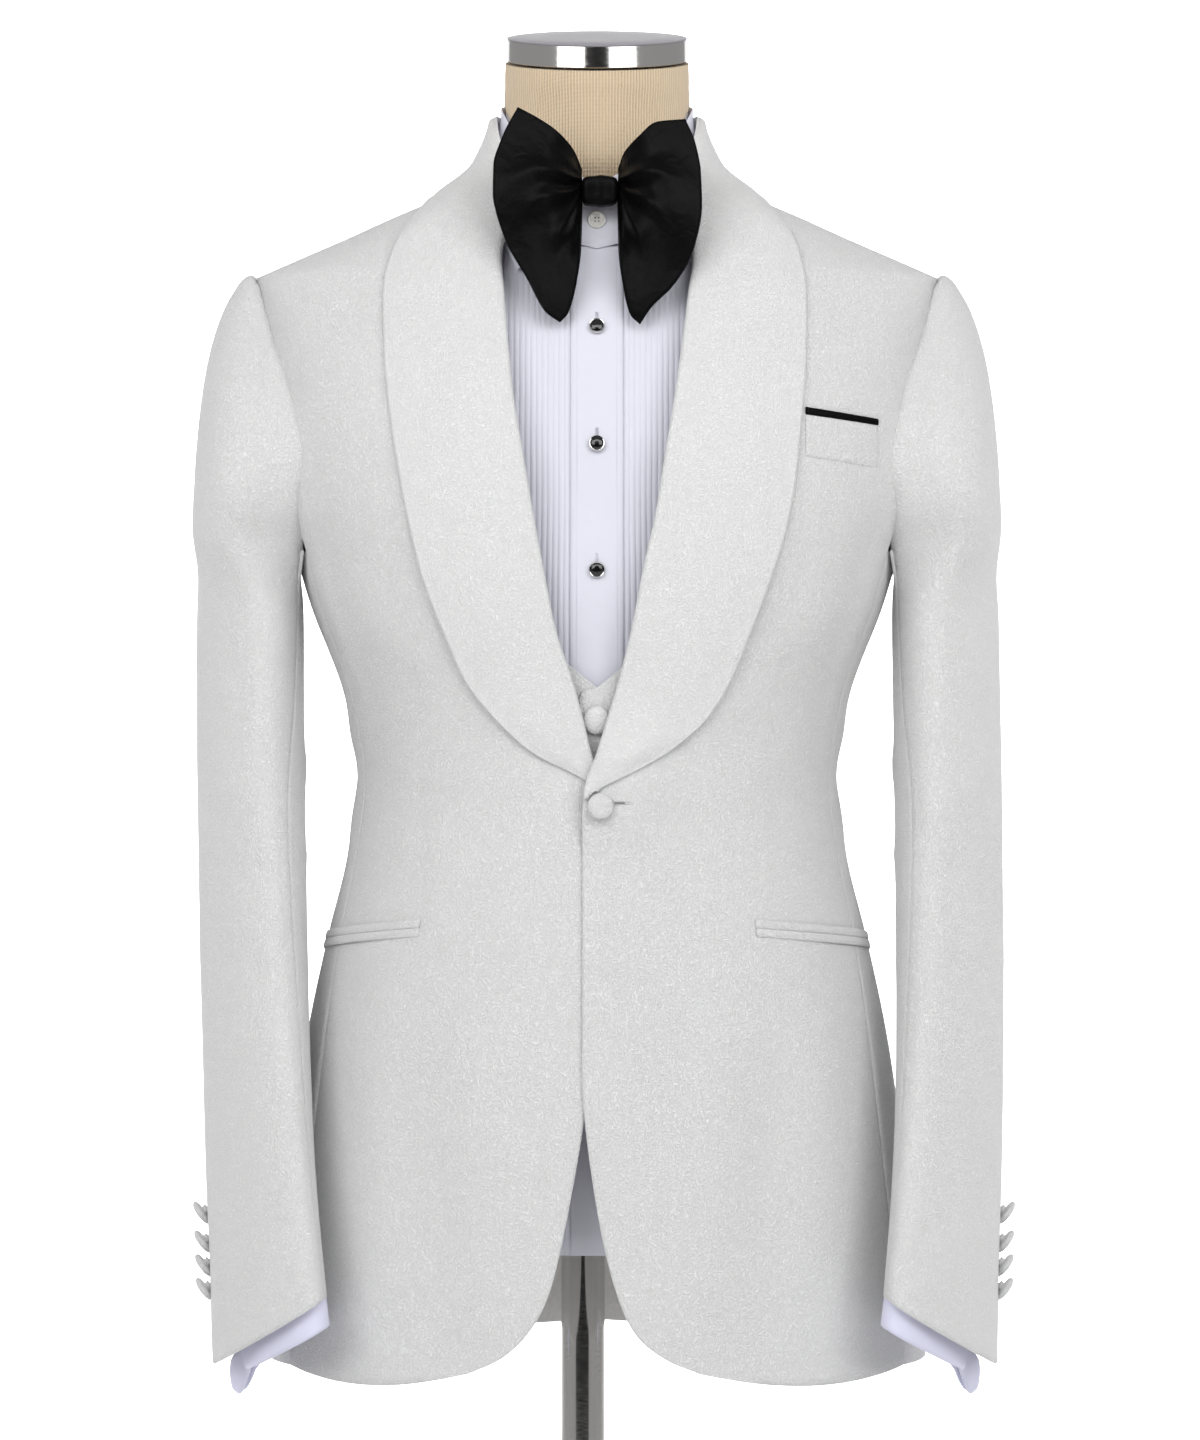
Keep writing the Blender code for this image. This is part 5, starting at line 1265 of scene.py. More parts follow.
@dataclass
class DressForm:
    """A limbless form with a jersey cover, a steel-banded neck cap, a pole and a base plate."""

    bottom: float = 0.875
    neck_top: float = 1.5848
    neck_girth: float = 0.360
    neck_tilt: float = 0.197
    cap_height: float = 0.0150
    cap_radius: float = 0.0570
    cap_wall: float = 0.003
    pole_radius: float = 0.0138
    base_radius: float = 0.170
    base_thickness: float = 0.008
    boss_rise: float = 0.007
    under_clothes: float = 0.0055
    clothes_end: tuple[float, float] = (1.498, 1.520)
    under_collar: float = 0.0012
    collar_heights: tuple[float, ...] = (1.49, 1.50, 1.550, 1.575)
    under_tips: float = 0.004
    tip_heights: tuple[float, ...] = (1.400, 1.430, 1.460, 1.490)
    over_collar: float = 0.0030
    bulge_end: float = 1.568
    bulge_height: float = 0.019
    edge_deg: float = 35.0
    neck_sides: int = 112
    cap_sides: int = 96
    plate_sides: int = 128
    pole_sides: int = 72

    def torso(self, finishes: Finishes) -> Piece:
        """The padded body and neck."""
        heights = np.concatenate([spread(24, self.bottom, 1.42), spread(40, 1.43, 1.5835)])
        turn, z = np.meshgrid(1 + turns_round(self.neck_sides), heights)
        t = np.mod(turn, 2.0)
        out = -self.under_clothes * (1 - step(z, *self.clothes_end))
        out -= self.under_collar * hump(z, *self.collar_heights)
        out -= self.under_tips * hump(z, *self.tip_heights)
        # the jersey bulges over the collar band's top, at the sides and the back of the neck
        nearer = np.minimum(t, 2 - t)
        bulge = np.clip((self.bulge_end - z) / self.bulge_height, 0.0, 1.0) * step(nearer, 0.15, 0.45)
        out += self.over_collar * bulge * step(z - COLLAR_TOP(nearer), 0.0006, 0.0040)
        grid = FORM.point(1, t, z, out)
        grid[0, :, 2] = self.bottom
        grid[..., 2] += step(z, 1.555, self.neck_top) * self.neck_tilt * grid[..., 1]
        mesh = Mesher()
        mesh.body(grid, 0, np.stack([turn * self.neck_girth / 2, lengths(grid)[1]], -1))
        return Piece(mesh.build("form_body", [finishes.knit], 50.0), "knit_cover", ("form_torso",))

    def cap(self, finishes: Finishes) -> list[Piece]:
        """The neck's steel band and the painted lid flush on it."""
        angles = circle(self.cap_sides)

        def loops(profile: Pairs) -> np.ndarray:
            """Pairs of radius and height as rings that tip with the neck's top."""
            rings = []
            for radius, height in profile:
                across, y = CENTRE_X + radius * np.sin(angles), -radius * np.cos(angles)
                rings.append(np.column_stack([across, y, height + self.neck_tilt * y]))
            return np.array(rings)

        low, high = self.neck_top + SEAM_GAP, self.neck_top + self.cap_height
        ledge = high - 0.0010  # the band's top, just under the lid's
        r, inside = self.cap_radius, self.cap_radius - self.cap_wall
        rings = loops([
            (inside, low), (r - 0.0005, low), (r, low + 0.0005),
            (r, ledge - 0.0004), (r - 0.0004, ledge), (inside, ledge),
        ])
        band = Mesher()
        index = np.arange(len(rings) * self.cap_sides).reshape(-1, self.cap_sides) + band.add(rings)
        band.quads(np.concatenate([index, index[:1]]), 0, True)
        made = band.build("neck_band", [finishes.steel], self.edge_deg)
        pieces = [Piece(made, "bright_steel", ("neck_cap_band",))]
        r = self.cap_radius - 0.0002
        lid = Mesher()
        lid.body(loops([
            (r - 0.003, ledge), (r - 0.0002, ledge + 0.0001), (r, ledge + 0.0004),
            (r - 0.0002, high - 0.0002), (r - 0.0010, high), (0.03, high),
        ]))
        made = lid.build("neck_disc", [finishes.cap], self.edge_deg)
        return pieces + [Piece(made, "cap_grey", ("neck_cap_top",))]

    def stand(self, finishes: Finishes) -> list[Piece]:
        """The base plate and the pole on its boss."""
        r, top = self.base_radius, self.base_thickness
        foot = top + self.boss_rise
        plate = [
            (r - 0.001, 0.0), (r, 0.001), (r, top - 0.0022), (r - 0.0007, top - 0.0007), (r - 0.0022, top),
            (0.024, foot - 0.0022), (0.0215, foot - 0.0008), (0.0195, foot),
        ]
        r, low, high = self.pole_radius, foot + SEAM_GAP, self.bottom - SEAM_GAP
        pole = [
            (r - 0.0005, low), (r, low + 0.0005), (r, 0.3), (r, 0.6),
            (r, high - 0.0005), (r - 0.0005, high),
        ]
        pieces = []
        for name, node, profile, sides in (
            ("stand_plate", "base_plate", plate, self.plate_sides),
            ("stand_pole", "pole", pole, self.pole_sides),
        ):
            mesh = Mesher()
            mesh.turned(profile, np.zeros(3), np.array([0.0, 0.0, 1.0]), sides)
            pieces.append(Piece(mesh.build(name, [finishes.steel], self.edge_deg), "bright_steel", (node,)))
        return pieces

    def build(self, finishes: Finishes) -> list[Piece]:
        """Every part of the form."""
        return [self.torso(finishes), *self.cap(finishes), *self.stand(finishes)]


# ---- the shirt -----------------------------------------------------------------------------------


def back_rows(outer: Pairs, centres: Sequence[float], top: Pairs, first: int) -> np.ndarray:
    """Half a back as turns and heights, whose rows take on the top edge's shape on the way up.

    Args:
        outer: Turn and height of each row's outer end.
        centres: Each row's height at the centre back.
        top: Turn and height along the top edge, from the shoulder to the centre back.
        first: The last row that is still level.

    Returns:
        Rows x columns x (turn, height).
    """
    rows = []
    last = len(outer) - 1
    for k, ((turn, height), centre) in enumerate(zip(outer, centres)):
        pull = max(0.0, (k - first) / (last - first)) ** 2
        row = []
        for j, (top_turn, top_height) in enumerate(top):
            share = j / (len(top) - 1)
            shaped = 1 - (1 - top_turn) / 0.5 * (1 - turn)
            rise = (top_height - top[0][1]) / (top[-1][1] - top[0][1])
            row.append((
                mix(mix(turn, 1.0, share), shaped, pull),
                mix(height, centre, mix(share, rise, pull)),
            ))
        rows.append(row)
    return np.array(rows)


def both_halves(half: np.ndarray) -> np.ndarray:
    """Joins half a back's turns and heights with its mirror image."""
    other = half[:, -2::-1].copy()
    other[..., 0] = 2 - other[..., 0]
    return np.concatenate([half, other], axis=1)


@dataclass
class Shirt:
    """A dress shirt with pintucks, a placket with studs, a turned-down collar and double cuffs."""

    out: float = 0.004
    cloth: float = 0.001
    cuff_cloth: float = 0.0028
    neck_front: float = 1.4625
    neck_point: float = 1.5050
    neck_back: float = 1.5080
    armhole_low: float = 1.285
    armhole_high: float = 1.4445
    armhole_turn: float = 0.092
    placket_half: float = 0.0155
    tuck_pitch: float = 0.0034
    tuck_raise: float = 0.0004
    forward: float = 0.0065
    forward_heights: tuple[float, ...] = (1.03, 1.09, 1.23, 1.31)
    tip_sink: float = 0.0024
    side_sink: float = 0.0038
    slack: float = 0.0045
    slack_heights: tuple[float, ...] = (1.17, 1.23, 1.33, 1.40)
    sleeve_inset: float = 0.0062
    cuff_top: float = 0.850
    cuff_tail: float = 0.026
    cuff_inset: float = 0.0054
    cuff_places: tuple[float, ...] = (
        162, 146, 130, 110, 90, 70, 50, 35, 20, 8, -5, -20, -35, -55, -75, -95, -115, -135, -155
    )
    placket_lift: float = 0.0013
    stitch_inset: float = 0.0035
    stitch_pitch: float = 0.0024
    stitch_radius: float = 0.00022
    bar_radius: float = 0.00028
    stud_radius: float = 0.005
    collar_button_height: float = 1.4790
    stud_heights: tuple[float, ...] = (1.409, 1.3375, 1.262)
    low_rows: tuple[float, ...] = (0.842, 0.95, 1.050, 1.130, 1.190)
    inner_rows: tuple[float, ...] = (1.270, 1.340, 1.400, 1.440, 1.4625)
    armhole_places: tuple[float, ...] = (-90, -45, 0, 45, 90)
    tucks: dict[Side, int] = field(default_factory=lambda: {Side.LEFT: 11, Side.RIGHT: 13})

    def settle(self, turn: np.ndarray, height: np.ndarray) -> np.ndarray:
        """How far the shirt stands forward down its middle, and sinks at the tips and where it is hidden."""
        hidden = step(turn, 0.22, 0.36) * (1 - step(height, 1.499, 1.512))
        middle = (1 - step(turn, 0.05, 0.16)) * hump(height, *self.forward_heights)
        return self.forward * middle - self.tip_sink * step(height, 1.41, 1.45) - self.side_sink * hidden

    def armhole(self, place: float) -> tuple[float, float]:
        """Turn and height on the armhole's edge, at degrees from the front."""
        middle = (self.armhole_low + self.armhole_high) / 2
        half = (self.armhole_high - self.armhole_low) / 2
        swing = math.radians(place)
        return 0.5 - self.armhole_turn * math.cos(swing), middle + half * math.sin(swing)

    def front(self, side: Side, finishes: Finishes) -> tuple[Piece, np.ndarray]:
        """One front with its pintucks."""
        s = side.value
        seam = Line([0.0, 0.022, 0.044, 0.058, 0.0655], [self.neck_front, 1.4645, 1.4735, 1.4850, 1.4985])
        start = self.placket_half + 0.0015
        columns = [(0.0002, 0.0), (self.placket_half * 0.5, 0.0), (self.placket_half, 0.0), (start, 0.0)]
        for k in range(self.tucks[side]):
            at = start + k * self.tuck_pitch
            lean = 1.0 + 0.12 * math.sin(k * 2.3)
            columns += [(at + 0.00025, 0.85 * lean), (at + 0.0014, 1.0 * lean), (at + 0.0026, 0.92 * lean)]
            columns += [(at + 0.0029, 0.12), (at + self.tuck_pitch - 0.0002, 0.0)]
        rows = []
        levels = [(z, 0.5, z) for z in self.low_rows]
        levels += [(z, *self.armhole(p)) for z, p in zip(self.inner_rows, self.armhole_places)]
        across = np.array([c[0] for c in columns])
        curved_from = self.inner_rows[0]
        for level, outer_turn, outer_height in levels:
            share = max(0.0, (level - curved_from) / (self.neck_front - curved_from))
            height = level + share * (seam(across) - self.neck_front)
            turn = FORM.turn_at(across, height)
            row = list(zip(turn, height))
            top = level == self.neck_front
            ends = [(0.385, 1.5000), (0.5, self.neck_point), (0.5, 1.4750), (0.5, outer_height)]
            start_turn, start_height = row[-1]
            for k, end in enumerate(ends, 1):
                part = k / len(ends)
                between = (mix(start_turn, outer_turn, part), mix(start_height, outer_height, part))
                row.append(end if top else between)
            rows.append(row)
        rows.insert(-1, [tuple(mix(a, b, 0.5) for a, b in zip(*pair)) for pair in zip(rows[-2], rows[-1])])
        places = finer(np.array(rows), 6, 1)
        raised = np.array([c[1] for c in columns] + [0.0] * 4) * self.tuck_raise
        t, z = places[..., 0], places[..., 1]
        outer = FORM.point(s, t, z, self.out + self.settle(t, z) + raised[None])
        names = (f"shirt_front_cloth_{side.label}", "shirt_cloth", f"shirt_front_{side.label}")
        return cloth_piece(names, outer, self.cloth, FORM.normal(s, t, z), [finishes.cotton], smooth_deg=70.0)

    def back(self, finishes: Finishes) -> tuple[Piece, np.ndarray]:
        """The back."""
        outer = [(0.5, z) for z in self.low_rows]
        outer += [(1 - turn, height) for turn, height in map(self.armhole, self.armhole_places)]
        centres = [*self.low_rows, 1.280, 1.360, 1.430, 1.480, self.neck_back]
        top = [(0.5, self.armhole_high), (0.5, 1.4750), (0.5, self.neck_point)]
        top += [(0.66, 1.5060), (0.83, 1.5075), (1.0, self.neck_back)]
        half = back_rows(outer, centres, top, 5)
        half = np.insert(half, len(half) - 1, (half[-2] + half[-1]) / 2, axis=0)
        places = finer(both_halves(half), 5, 4)
        t, z = places[..., 0], places[..., 1]
        grid = FORM.point(1, t, z, self.out + self.settle(t, z))
        names = ("shirt_back_cloth", "shirt_cloth", "shirt_back")
        return cloth_piece(names, grid, self.cloth, FORM.normal(1, t, z), [finishes.cotton])

    def placket(self, finishes: Finishes) -> tuple[Piece, np.ndarray]:
        """The band down the front, slightly wavy."""
        heights = np.array([*self.low_rows, *self.inner_rows[:-1], self.neck_front - 0.001])
        heights = finer(heights[:, None, None], 8, 1)[:, 0, 0]
        across = np.linspace(-self.placket_half, self.placket_half, 15)
        z, a = np.meshgrid(heights, across, indexing="ij")
        t = FORM.turn_at(a, z)
        wave = 0.00025 * np.sin(z * 60.0) * np.cos(a / self.placket_half * 1.5)
        lift = self.out + self.placket_lift + self.settle(t * 0, z) + wave
        grid = FORM.point(1, t, z, lift)
        names = ("shirt_placket_cloth", "shirt_cloth", "shirt_placket")
        return cloth_piece(names, grid, self.cloth, FORM.normal(1, t, z), [finishes.cotton])

    def placket_stitches(self, finishes: Finishes) -> Piece:
        """Edge stitching down both sides of the placket, and a bar above each stud hole."""
        mesh = Mesher()

        def stitch(across: np.ndarray, height: np.ndarray, lift: float | np.ndarray, radius: float) -> None:
            """One thread laid on the placket."""
            turn = FORM.turn_at(across, height)
            out = self.out + self.placket_lift + self.settle(turn * 0, height) + lift
            mesh.tube(FORM.point(1, turn, height, out), radius, 5)

        run = np.arange(3) * self.stitch_pitch / 3
        for side in (-1, 1):
            across = np.full(3, side * (self.placket_half - self.stitch_inset))
            for height in np.arange(1.10, self.neck_front - 0.004, self.stitch_pitch):
                stitch(across, height + run, 0.00005, self.stitch_radius)
        bow = np.array([0.0, 0.0003, 0.0])
        for stud in self.stud_heights:
            for offset in (-0.0005, 0.0005):
                for height in np.arange(stud + 0.0052, stud + 0.0100, 0.0007):
                    across = offset + np.array([-0.0006, 0.0, 0.0006])
                    stitch(across, np.full(3, height), bow, self.bar_radius)
        return Piece(mesh.build("placket_stitches", [finishes.shirt_thread]), "shirt_cloth", ())

    def collar(self, finishes: Finishes) -> list[tuple[Piece, np.ndarray]]:
        """The band round the neck and the leaf turned down over it."""
        bottom = Line([0.0, 0.11, 0.25, 0.5, 1.0], [self.neck_front + 0.0010, 1.4702, 1.4880, 1.5085, 1.5110])
        turns = turns_round(96)
        nearer = np.minimum(turns, 2 - turns)
        t, share = np.meshgrid(turns, spread(9))
        z = mix(bottom(nearer)[None], COLLAR_TOP(nearer)[None], share)
        low = (1 - step(share, 0.0, 0.42)) * (1 - step(nearer, 0.16, 0.30))[None]
        band = FORM.point(1, t, z - 0.0032 * low, 0.0006 + 0.0036 * low)
        names = ("collar_band_cloth", "shirt_cloth", "shirt_collar_band")
        pieces = [cloth_piece(names, band, self.cloth, FORM.normal(1, t, z), [finishes.cotton], ring=True)]
        columns = [by_index(values) for values in zip(*COLLAR_LEAF)]
        places = spread(49, 0, len(COLLAR_LEAF) - 1)
        fold_turn, fold_height, edge_turn, edge_height = (line(places) for line in columns)
        lifts = Line([0.0, 0.22, 0.52, 1.0], [0.0034, 0.0045, 0.0064, 0.0056])
        share = spread(15)[:, None]
        over_strap = 0.0026 * (1 - step(fold_turn, 0.20, 0.40))[None] * (1 - share)
        t = mix(fold_turn[None], edge_turn[None], share)
        z = mix(fold_height[None], edge_height[None], share)
        out = lifts(share) + over_strap
        other = np.stack([2 - t[:, -2::-1], z[:, -2::-1], out[:, -2::-1]], -1)
        half = np.concatenate([np.stack([t, z, out], -1), other], axis=1)
        t, z, out = np.moveaxis(half, -1, 0)
        grid = FORM.point(1, t, z, out)
        names = ("collar_leaf_cloth", "shirt_cloth", "shirt_collar_leaf")
        pieces.append(cloth_piece(names, grid, self.cloth, FORM.normal(1, t, z), [finishes.cotton]))
        return pieces

    def sleeve(self, side: Side, finishes: Finishes) -> tuple[Piece, np.ndarray]:
        """One sleeve, inside the jacket's."""
        places = [24.0 * k for k in range(15)]
        s = side.value
        rows = []
        for height in (self.cuff_top + 0.0015, 0.950, 1.060, 1.180):
            rows.append([ring_point(s, sleeve_ring(height), p, self.sleeve_inset) for p in places])
        for ring in SHIRT_SLEEVE_TOP:
            rows.append([tipped_point(s, ring, p) for p in places])
        joint = []
        for p in places:
            turn, height = self.armhole(p)
            edge = FORM.point(s, turn, height, self.out + self.settle(turn, height))
            joint.append(edge + np.array([s * 0.0034, 0, 0]))
        rows.append(joint)
        grid = finer(np.array(rows), 6, 3, True)
        slack = self.slack * hump(grid[..., 2:], *self.slack_heights)
        grid = grid + slack * unit(grid.mean(axis=1, keepdims=True) - grid)
        names = (f"shirt_sleeve_cloth_{side.label}", "shirt_cloth", f"shirt_sleeve_{side.label}")
        outward = grid - grid.mean(axis=1, keepdims=True)
        return cloth_piece(names, grid, self.cloth, outward, [finishes.cotton], ring=True)

    def cuff(self, side: Side, finishes: Finishes) -> tuple[Piece, np.ndarray]:
        """A double cuff whose two ends stand together behind the wrist."""
        s = side.value
        rows = []
        for ring, tail in zip(CUFF_RINGS, CUFF_TAILS):
            tip, corner = self.cuff_tail * tail.shown, tail.rounding
            ends = []
            for place, kiss in ((168, 5), (-166, -5)):
                end = []
                for share, lift in ((1.0, corner), (0.8, corner * 0.3), (0.6, 0.0), (0.42, 0.0), (0.25, 0.0)):
                    point = ring_point(s, ring, place + kiss * share, self.cuff_inset, tip * share)
                    end.append(point + np.array([0, 0, lift - tail.droop * share]))
                ends.append(end)
            wrist = [ring_point(s, ring, p, self.cuff_inset) for p in self.cuff_places]
            rows.append(ends[0] + wrist + ends[1][::-1])
        grid = finer(np.array(rows), 4, 2)
        middle_point = grid[:, 18:-18].mean(axis=(0, 1))
        names = (f"cuff_cloth_{side.label}", "shirt_cloth", f"shirt_cuff_{side.label}")
        return cloth_piece(names, grid, self.cuff_cloth, grid - middle_point, [finishes.cuff_cotton])

    def fastenings(self, finishes: Finishes) -> list[Piece]:
        """The studs with their bright rims and the collar's pearl button."""
        pieces = []
        r = self.stud_radius
        for number, height in enumerate(self.stud_heights, 1):
            turn = float(FORM.turn_at(0.0, height))
            out = self.out + 0.0016 + float(self.settle(np.array(turn), np.array(height)))
            base = FORM.point(1, turn, height, out)
            axis = FORM.normal(1, turn, height)
            mesh = Mesher()
            rim = [
                (r * 0.80, 0.0), (r, 0.0006), (r * 1.02, 0.0014), (r, 0.0022),
                (r * 0.92, 0.0027), (r * 0.84, 0.0026), (r * 0.80, 0.0020),
            ]
            mesh.turned(rim, base, axis, 40, 1)
            dome = [
                (r * 0.80, 0.0018), (r * 0.79, 0.0023), (r * 0.62, 0.0029),
                (r * 0.40, 0.0032), (r * 0.18, 0.00335),
            ]
            mesh.turned(dome, base, axis, 40, 0)
            made = mesh.build(f"front_stud_{number}", [finishes.stud, finishes.steel], 40.0)
            pieces.append(Piece(made, "stud_black", (f"stud_{number}",)))
        height = self.collar_button_height
        base = FORM.point(1, 0.0, height, 0.0007)
        axis = FORM.normal(1, 0.0, height)
        mesh = Mesher()
        profile = [(0.0050, 0.0), (0.0056, 0.0006), (0.0057, 0.0014), (0.0053, 0.0021), (0.0047, 0.0022)]
        profile += [(0.0040, 0.0017), (0.0020, 0.0015)]
        mesh.turned(profile, base, axis, 40, 0)
        side = unit(np.cross([0.0, 0.0, 1.0], axis))
        up = np.cross(axis, side)
        # the four holes: small near-black spots of painted shade
        for a, b in ((-1, -1), (1, -1), (-1, 1), (1, 1)):
            spot = base + axis * 0.0014 + side * a * 0.0011 + up * b * 0.0011
            mesh.turned([(0.00048, 0.0), (0.00048, 0.00025), (0.0002, 0.0003)], spot, axis, 10, 1)
        made = mesh.build("band_button", [finishes.pearl, finishes.screw], 40.0)
        pieces.append(Piece(made, "pearl", ("collar_button",)))
        return pieces

    def build(self, finishes: Finishes) -> list[Piece]:
        """Every part of the shirt."""
        pieces = []
        sheets = [(*self.back(finishes), Hold.DRAPED, ["form_body"])]
        for side in Side:
            sheets.append((*self.front(side, finishes), Hold.HUNG, ["form_body"]))
            sheets.append((*self.sleeve(side, finishes), Hold.HUNG, [f"shirt_front_cloth_{side.label}"]))
            sheets.append((*self.cuff(side, finishes), Hold.FOLDED, [f"shirt_sleeve_cloth_{side.label}"]))
        placket, grid = self.placket(finishes)
        sheets.append((placket, grid, Hold.LAID, ["shirt_front_cloth_left"]))
        for piece, grid in self.collar(finishes):
            sheets.append((piece, grid, Hold.FOLDED, ["form_body"]))
        for piece, grid, held, rests in sheets:
            made = piece.settle()
            declare_sheet(made, grid)
        pieces.append(self.placket_stitches(finishes))
        pieces += self.fastenings(finishes)
        return pieces


# ---- sleeves' rings ------------------------------------------------------------------------------


def sleeve_ring(height: float) -> Ring:
    """The ring round a jacket sleeve at a height."""
    return Ring(height, *(float(line_of(SLEEVE_RINGS, "height", name)(height)) for name in Ring._fields[1:]))


def ring_point(side: int, ring: Ring, place: float, inset: float = 0.0, stretch: float = 0.0) -> np.ndarray:
    """A point round a sleeve ring.

    Args:
        side: +1 for the wearer's left.
        ring: The ring.
        place: Degrees round it, 0 at its front fold and 90 on its outer side.
        inset: How far inside the ring the point lies.
        stretch: How far the point stands off behind the ring.
    """
    swing = math.radians(place)
    fold = math.radians(ring.turn_deg)
    along = (ring.long_half - inset) * math.cos(swing) - stretch
    thick = (ring.thin_half - inset) * math.sin(swing)
    across = ring.across + side * ring.lean - math.sin(fold) * along + math.cos(fold) * thick
    y = ring.forward_y - math.cos(fold) * along - math.sin(fold) * thick
    drop = ring.slope * (math.cos(swing - math.radians(150.0)) + stretch / ring.long_half)
    return np.array([CENTRE_X + side * across, y, ring.height - drop])


def ring_centre(side: int, ring: Ring) -> np.ndarray:
    """The middle of a sleeve ring."""
    return np.array([CENTRE_X + side * (ring.across + side * ring.lean), ring.forward_y, ring.height])


def tipped_point(side: int, ring: TippedRing, place: float) -> np.ndarray:
    """A point round a ring that tips from the shoulder's top to the armpit."""
    swing = math.radians(place)
    share = (1 + math.sin(swing)) / 2
    across = mix(ring.inner_across, ring.outer_across, share)
    height = mix(ring.inner_height, ring.outer_height, share)
    return np.array([CENTRE_X + side * across, ring.middle_y - ring.half_depth * math.cos(swing), height])


# ---- the waistcoat -------------------------------------------------------------------------------


def covered_button(
    name: str, base: np.ndarray, axis: np.ndarray, size: tuple[float, float], cover: bpy.types.Material
) -> bpy.types.Object:
    """A button covered in cloth: a soft dome with a turned edge, of a radius and a thickness."""
    mesh = Mesher()
    profile = [(0.72, 0.0), (0.93, 0.08), (1.0, 0.30), (0.985, 0.48), (0.92, 0.64), (0.80, 0.78)]
    profile += [(0.62, 0.89), (0.40, 0.96), (0.18, 1.0)]
    mesh.turned([(size[0] * r, size[1] * h) for r, h in profile], base, axis, 48)
    return mesh.build(name, [cover], 70.0)


@dataclass
class Waistcoat:
    """A low V waistcoat with four covered buttons, seen only above the jacket's button."""

    out: float = 0.0095
    cloth: float = 0.0018
    lap: float = 0.0027
    forward: float = 0.0075
    forward_heights: tuple[float, ...] = (1.03, 1.09, 1.215, 1.27)
    tip_sink: float = 0.0055
    neck_back: float = 1.4945
    button_size: tuple[float, float] = (0.0085, 0.004)
    button_heights: tuple[float, ...] = (1.172, 1.125, 1.078, 1.031)

    def lift(self, side: int, across: np.ndarray, height: np.ndarray) -> np.ndarray:
        """How far the left front laps over the right, both stand forward, and the shoulders sink."""
        lap = self.lap * (1 - step(across, 0.012, 0.032)) * (1 - step(height, 1.190, 1.220))
        middle = (1 - step(across, 0.035, 0.09)) * hump(height, *self.forward_heights)
        lift = self.forward * middle - self.tip_sink * step(height, 1.40, 1.46)
        return lift + (lap if side > 0 else 0.0)

    def fronts(self, finishes: Finishes) -> list[tuple[Piece, np.ndarray]]:
        """Both fronts."""
        found = []
        for side in Side:
            s = side.value
            rows = []
            for row in VEST_ROWS:
                start = 0.5 if row is VEST_ROWS[-1] else float(FORM.turn_at(row.across, row.height))
                cells = []
                for share in (0.0, 0.06, 0.12, 0.2, 0.28, 0.46, 0.64, 0.82, 1.0):
                    turn = mix(start, row.front_turn, share)
                    cells.append((turn, mix(row.height, row.outer_height, share)))
                rows.append(cells)
            places = finer(np.array(rows), 4, 3)
            t, z = places[..., 0], places[..., 1]
            grid = FORM.point(s, t, z, self.out + self.lift(s, FORM.across(s, t, z), z))
            names = (f"vest_front_{side.label}", "waistcoat_cloth", f"waistcoat_front_{side.label}")
            found.append(cloth_piece(names, grid, self.cloth, FORM.normal(s, t, z), [finishes.waistcoat]))
        return found

    def back(self, finishes: Finishes) -> tuple[Piece, np.ndarray]:
        """The back."""
        outer = [(row.back_turn, row.outer_height) for row in VEST_ROWS]
        last = len(VEST_ROWS) - 1
        highest = VEST_ROWS[-1].height
        centres = [mix(row.outer_height, highest, (k / last) ** 2) for k, row in enumerate(VEST_ROWS)]
        centres[-1] = self.neck_back
        top = [(0.5, VEST_ROWS[-1].outer_height), (0.5, 1.4835), (0.5, highest)]
        top += [(0.66, 1.4930), (0.83, 1.4935), (1.0, self.neck_back)]
        places = finer(both_halves(back_rows(outer, centres, top, 7)), 4, 4)
        t, z = places[..., 0], places[..., 1]
        grid = FORM.point(1, t, z, self.out + self.lift(-1, t * 0 + 1.0, z))
        names = ("vest_back", "waistcoat_cloth", "waistcoat_back")
        return cloth_piece(names, grid, self.cloth, FORM.normal(1, t, z), [finishes.waistcoat])

    def buttons(self, finishes: Finishes) -> list[Piece]:
        """The covered buttons."""
        pieces = []
        for number, height in enumerate(self.button_heights, 1):
            turn = float(FORM.turn_at(0.0, height))
            out = self.out + float(self.lift(1, np.array(0.0), np.array(height))) + 0.0006
            base = FORM.point(1, turn, height, out)
            axis = FORM.normal(1, turn, height)
            made = covered_button(f"vest_button_{number}", base, axis, self.button_size, finishes.waistcoat)
            pieces.append(Piece(made, "jacket_cloth", (f"waistcoat_button_{number}",)))
        return pieces

    def build(self, finishes: Finishes) -> list[Piece]:
        """Every part of the waistcoat."""
        for piece, grid in self.fronts(finishes):
            declare_sheet(piece.settle(), grid)
        piece, grid = self.back(finishes)
        declare_sheet(piece.settle(), grid)
        return self.buttons(finishes)


# ---- the jacket ----------------------------------------------------------------------------------


def seam_dip(count: int, depth: float, first: bool = True) -> np.ndarray:
    """How far a row of points sinks at its last end, and at its first, where they are seamed."""
    dip = np.zeros(count)
    dip[-1] = -depth
    if first:
        dip[0] = -depth
    return dip


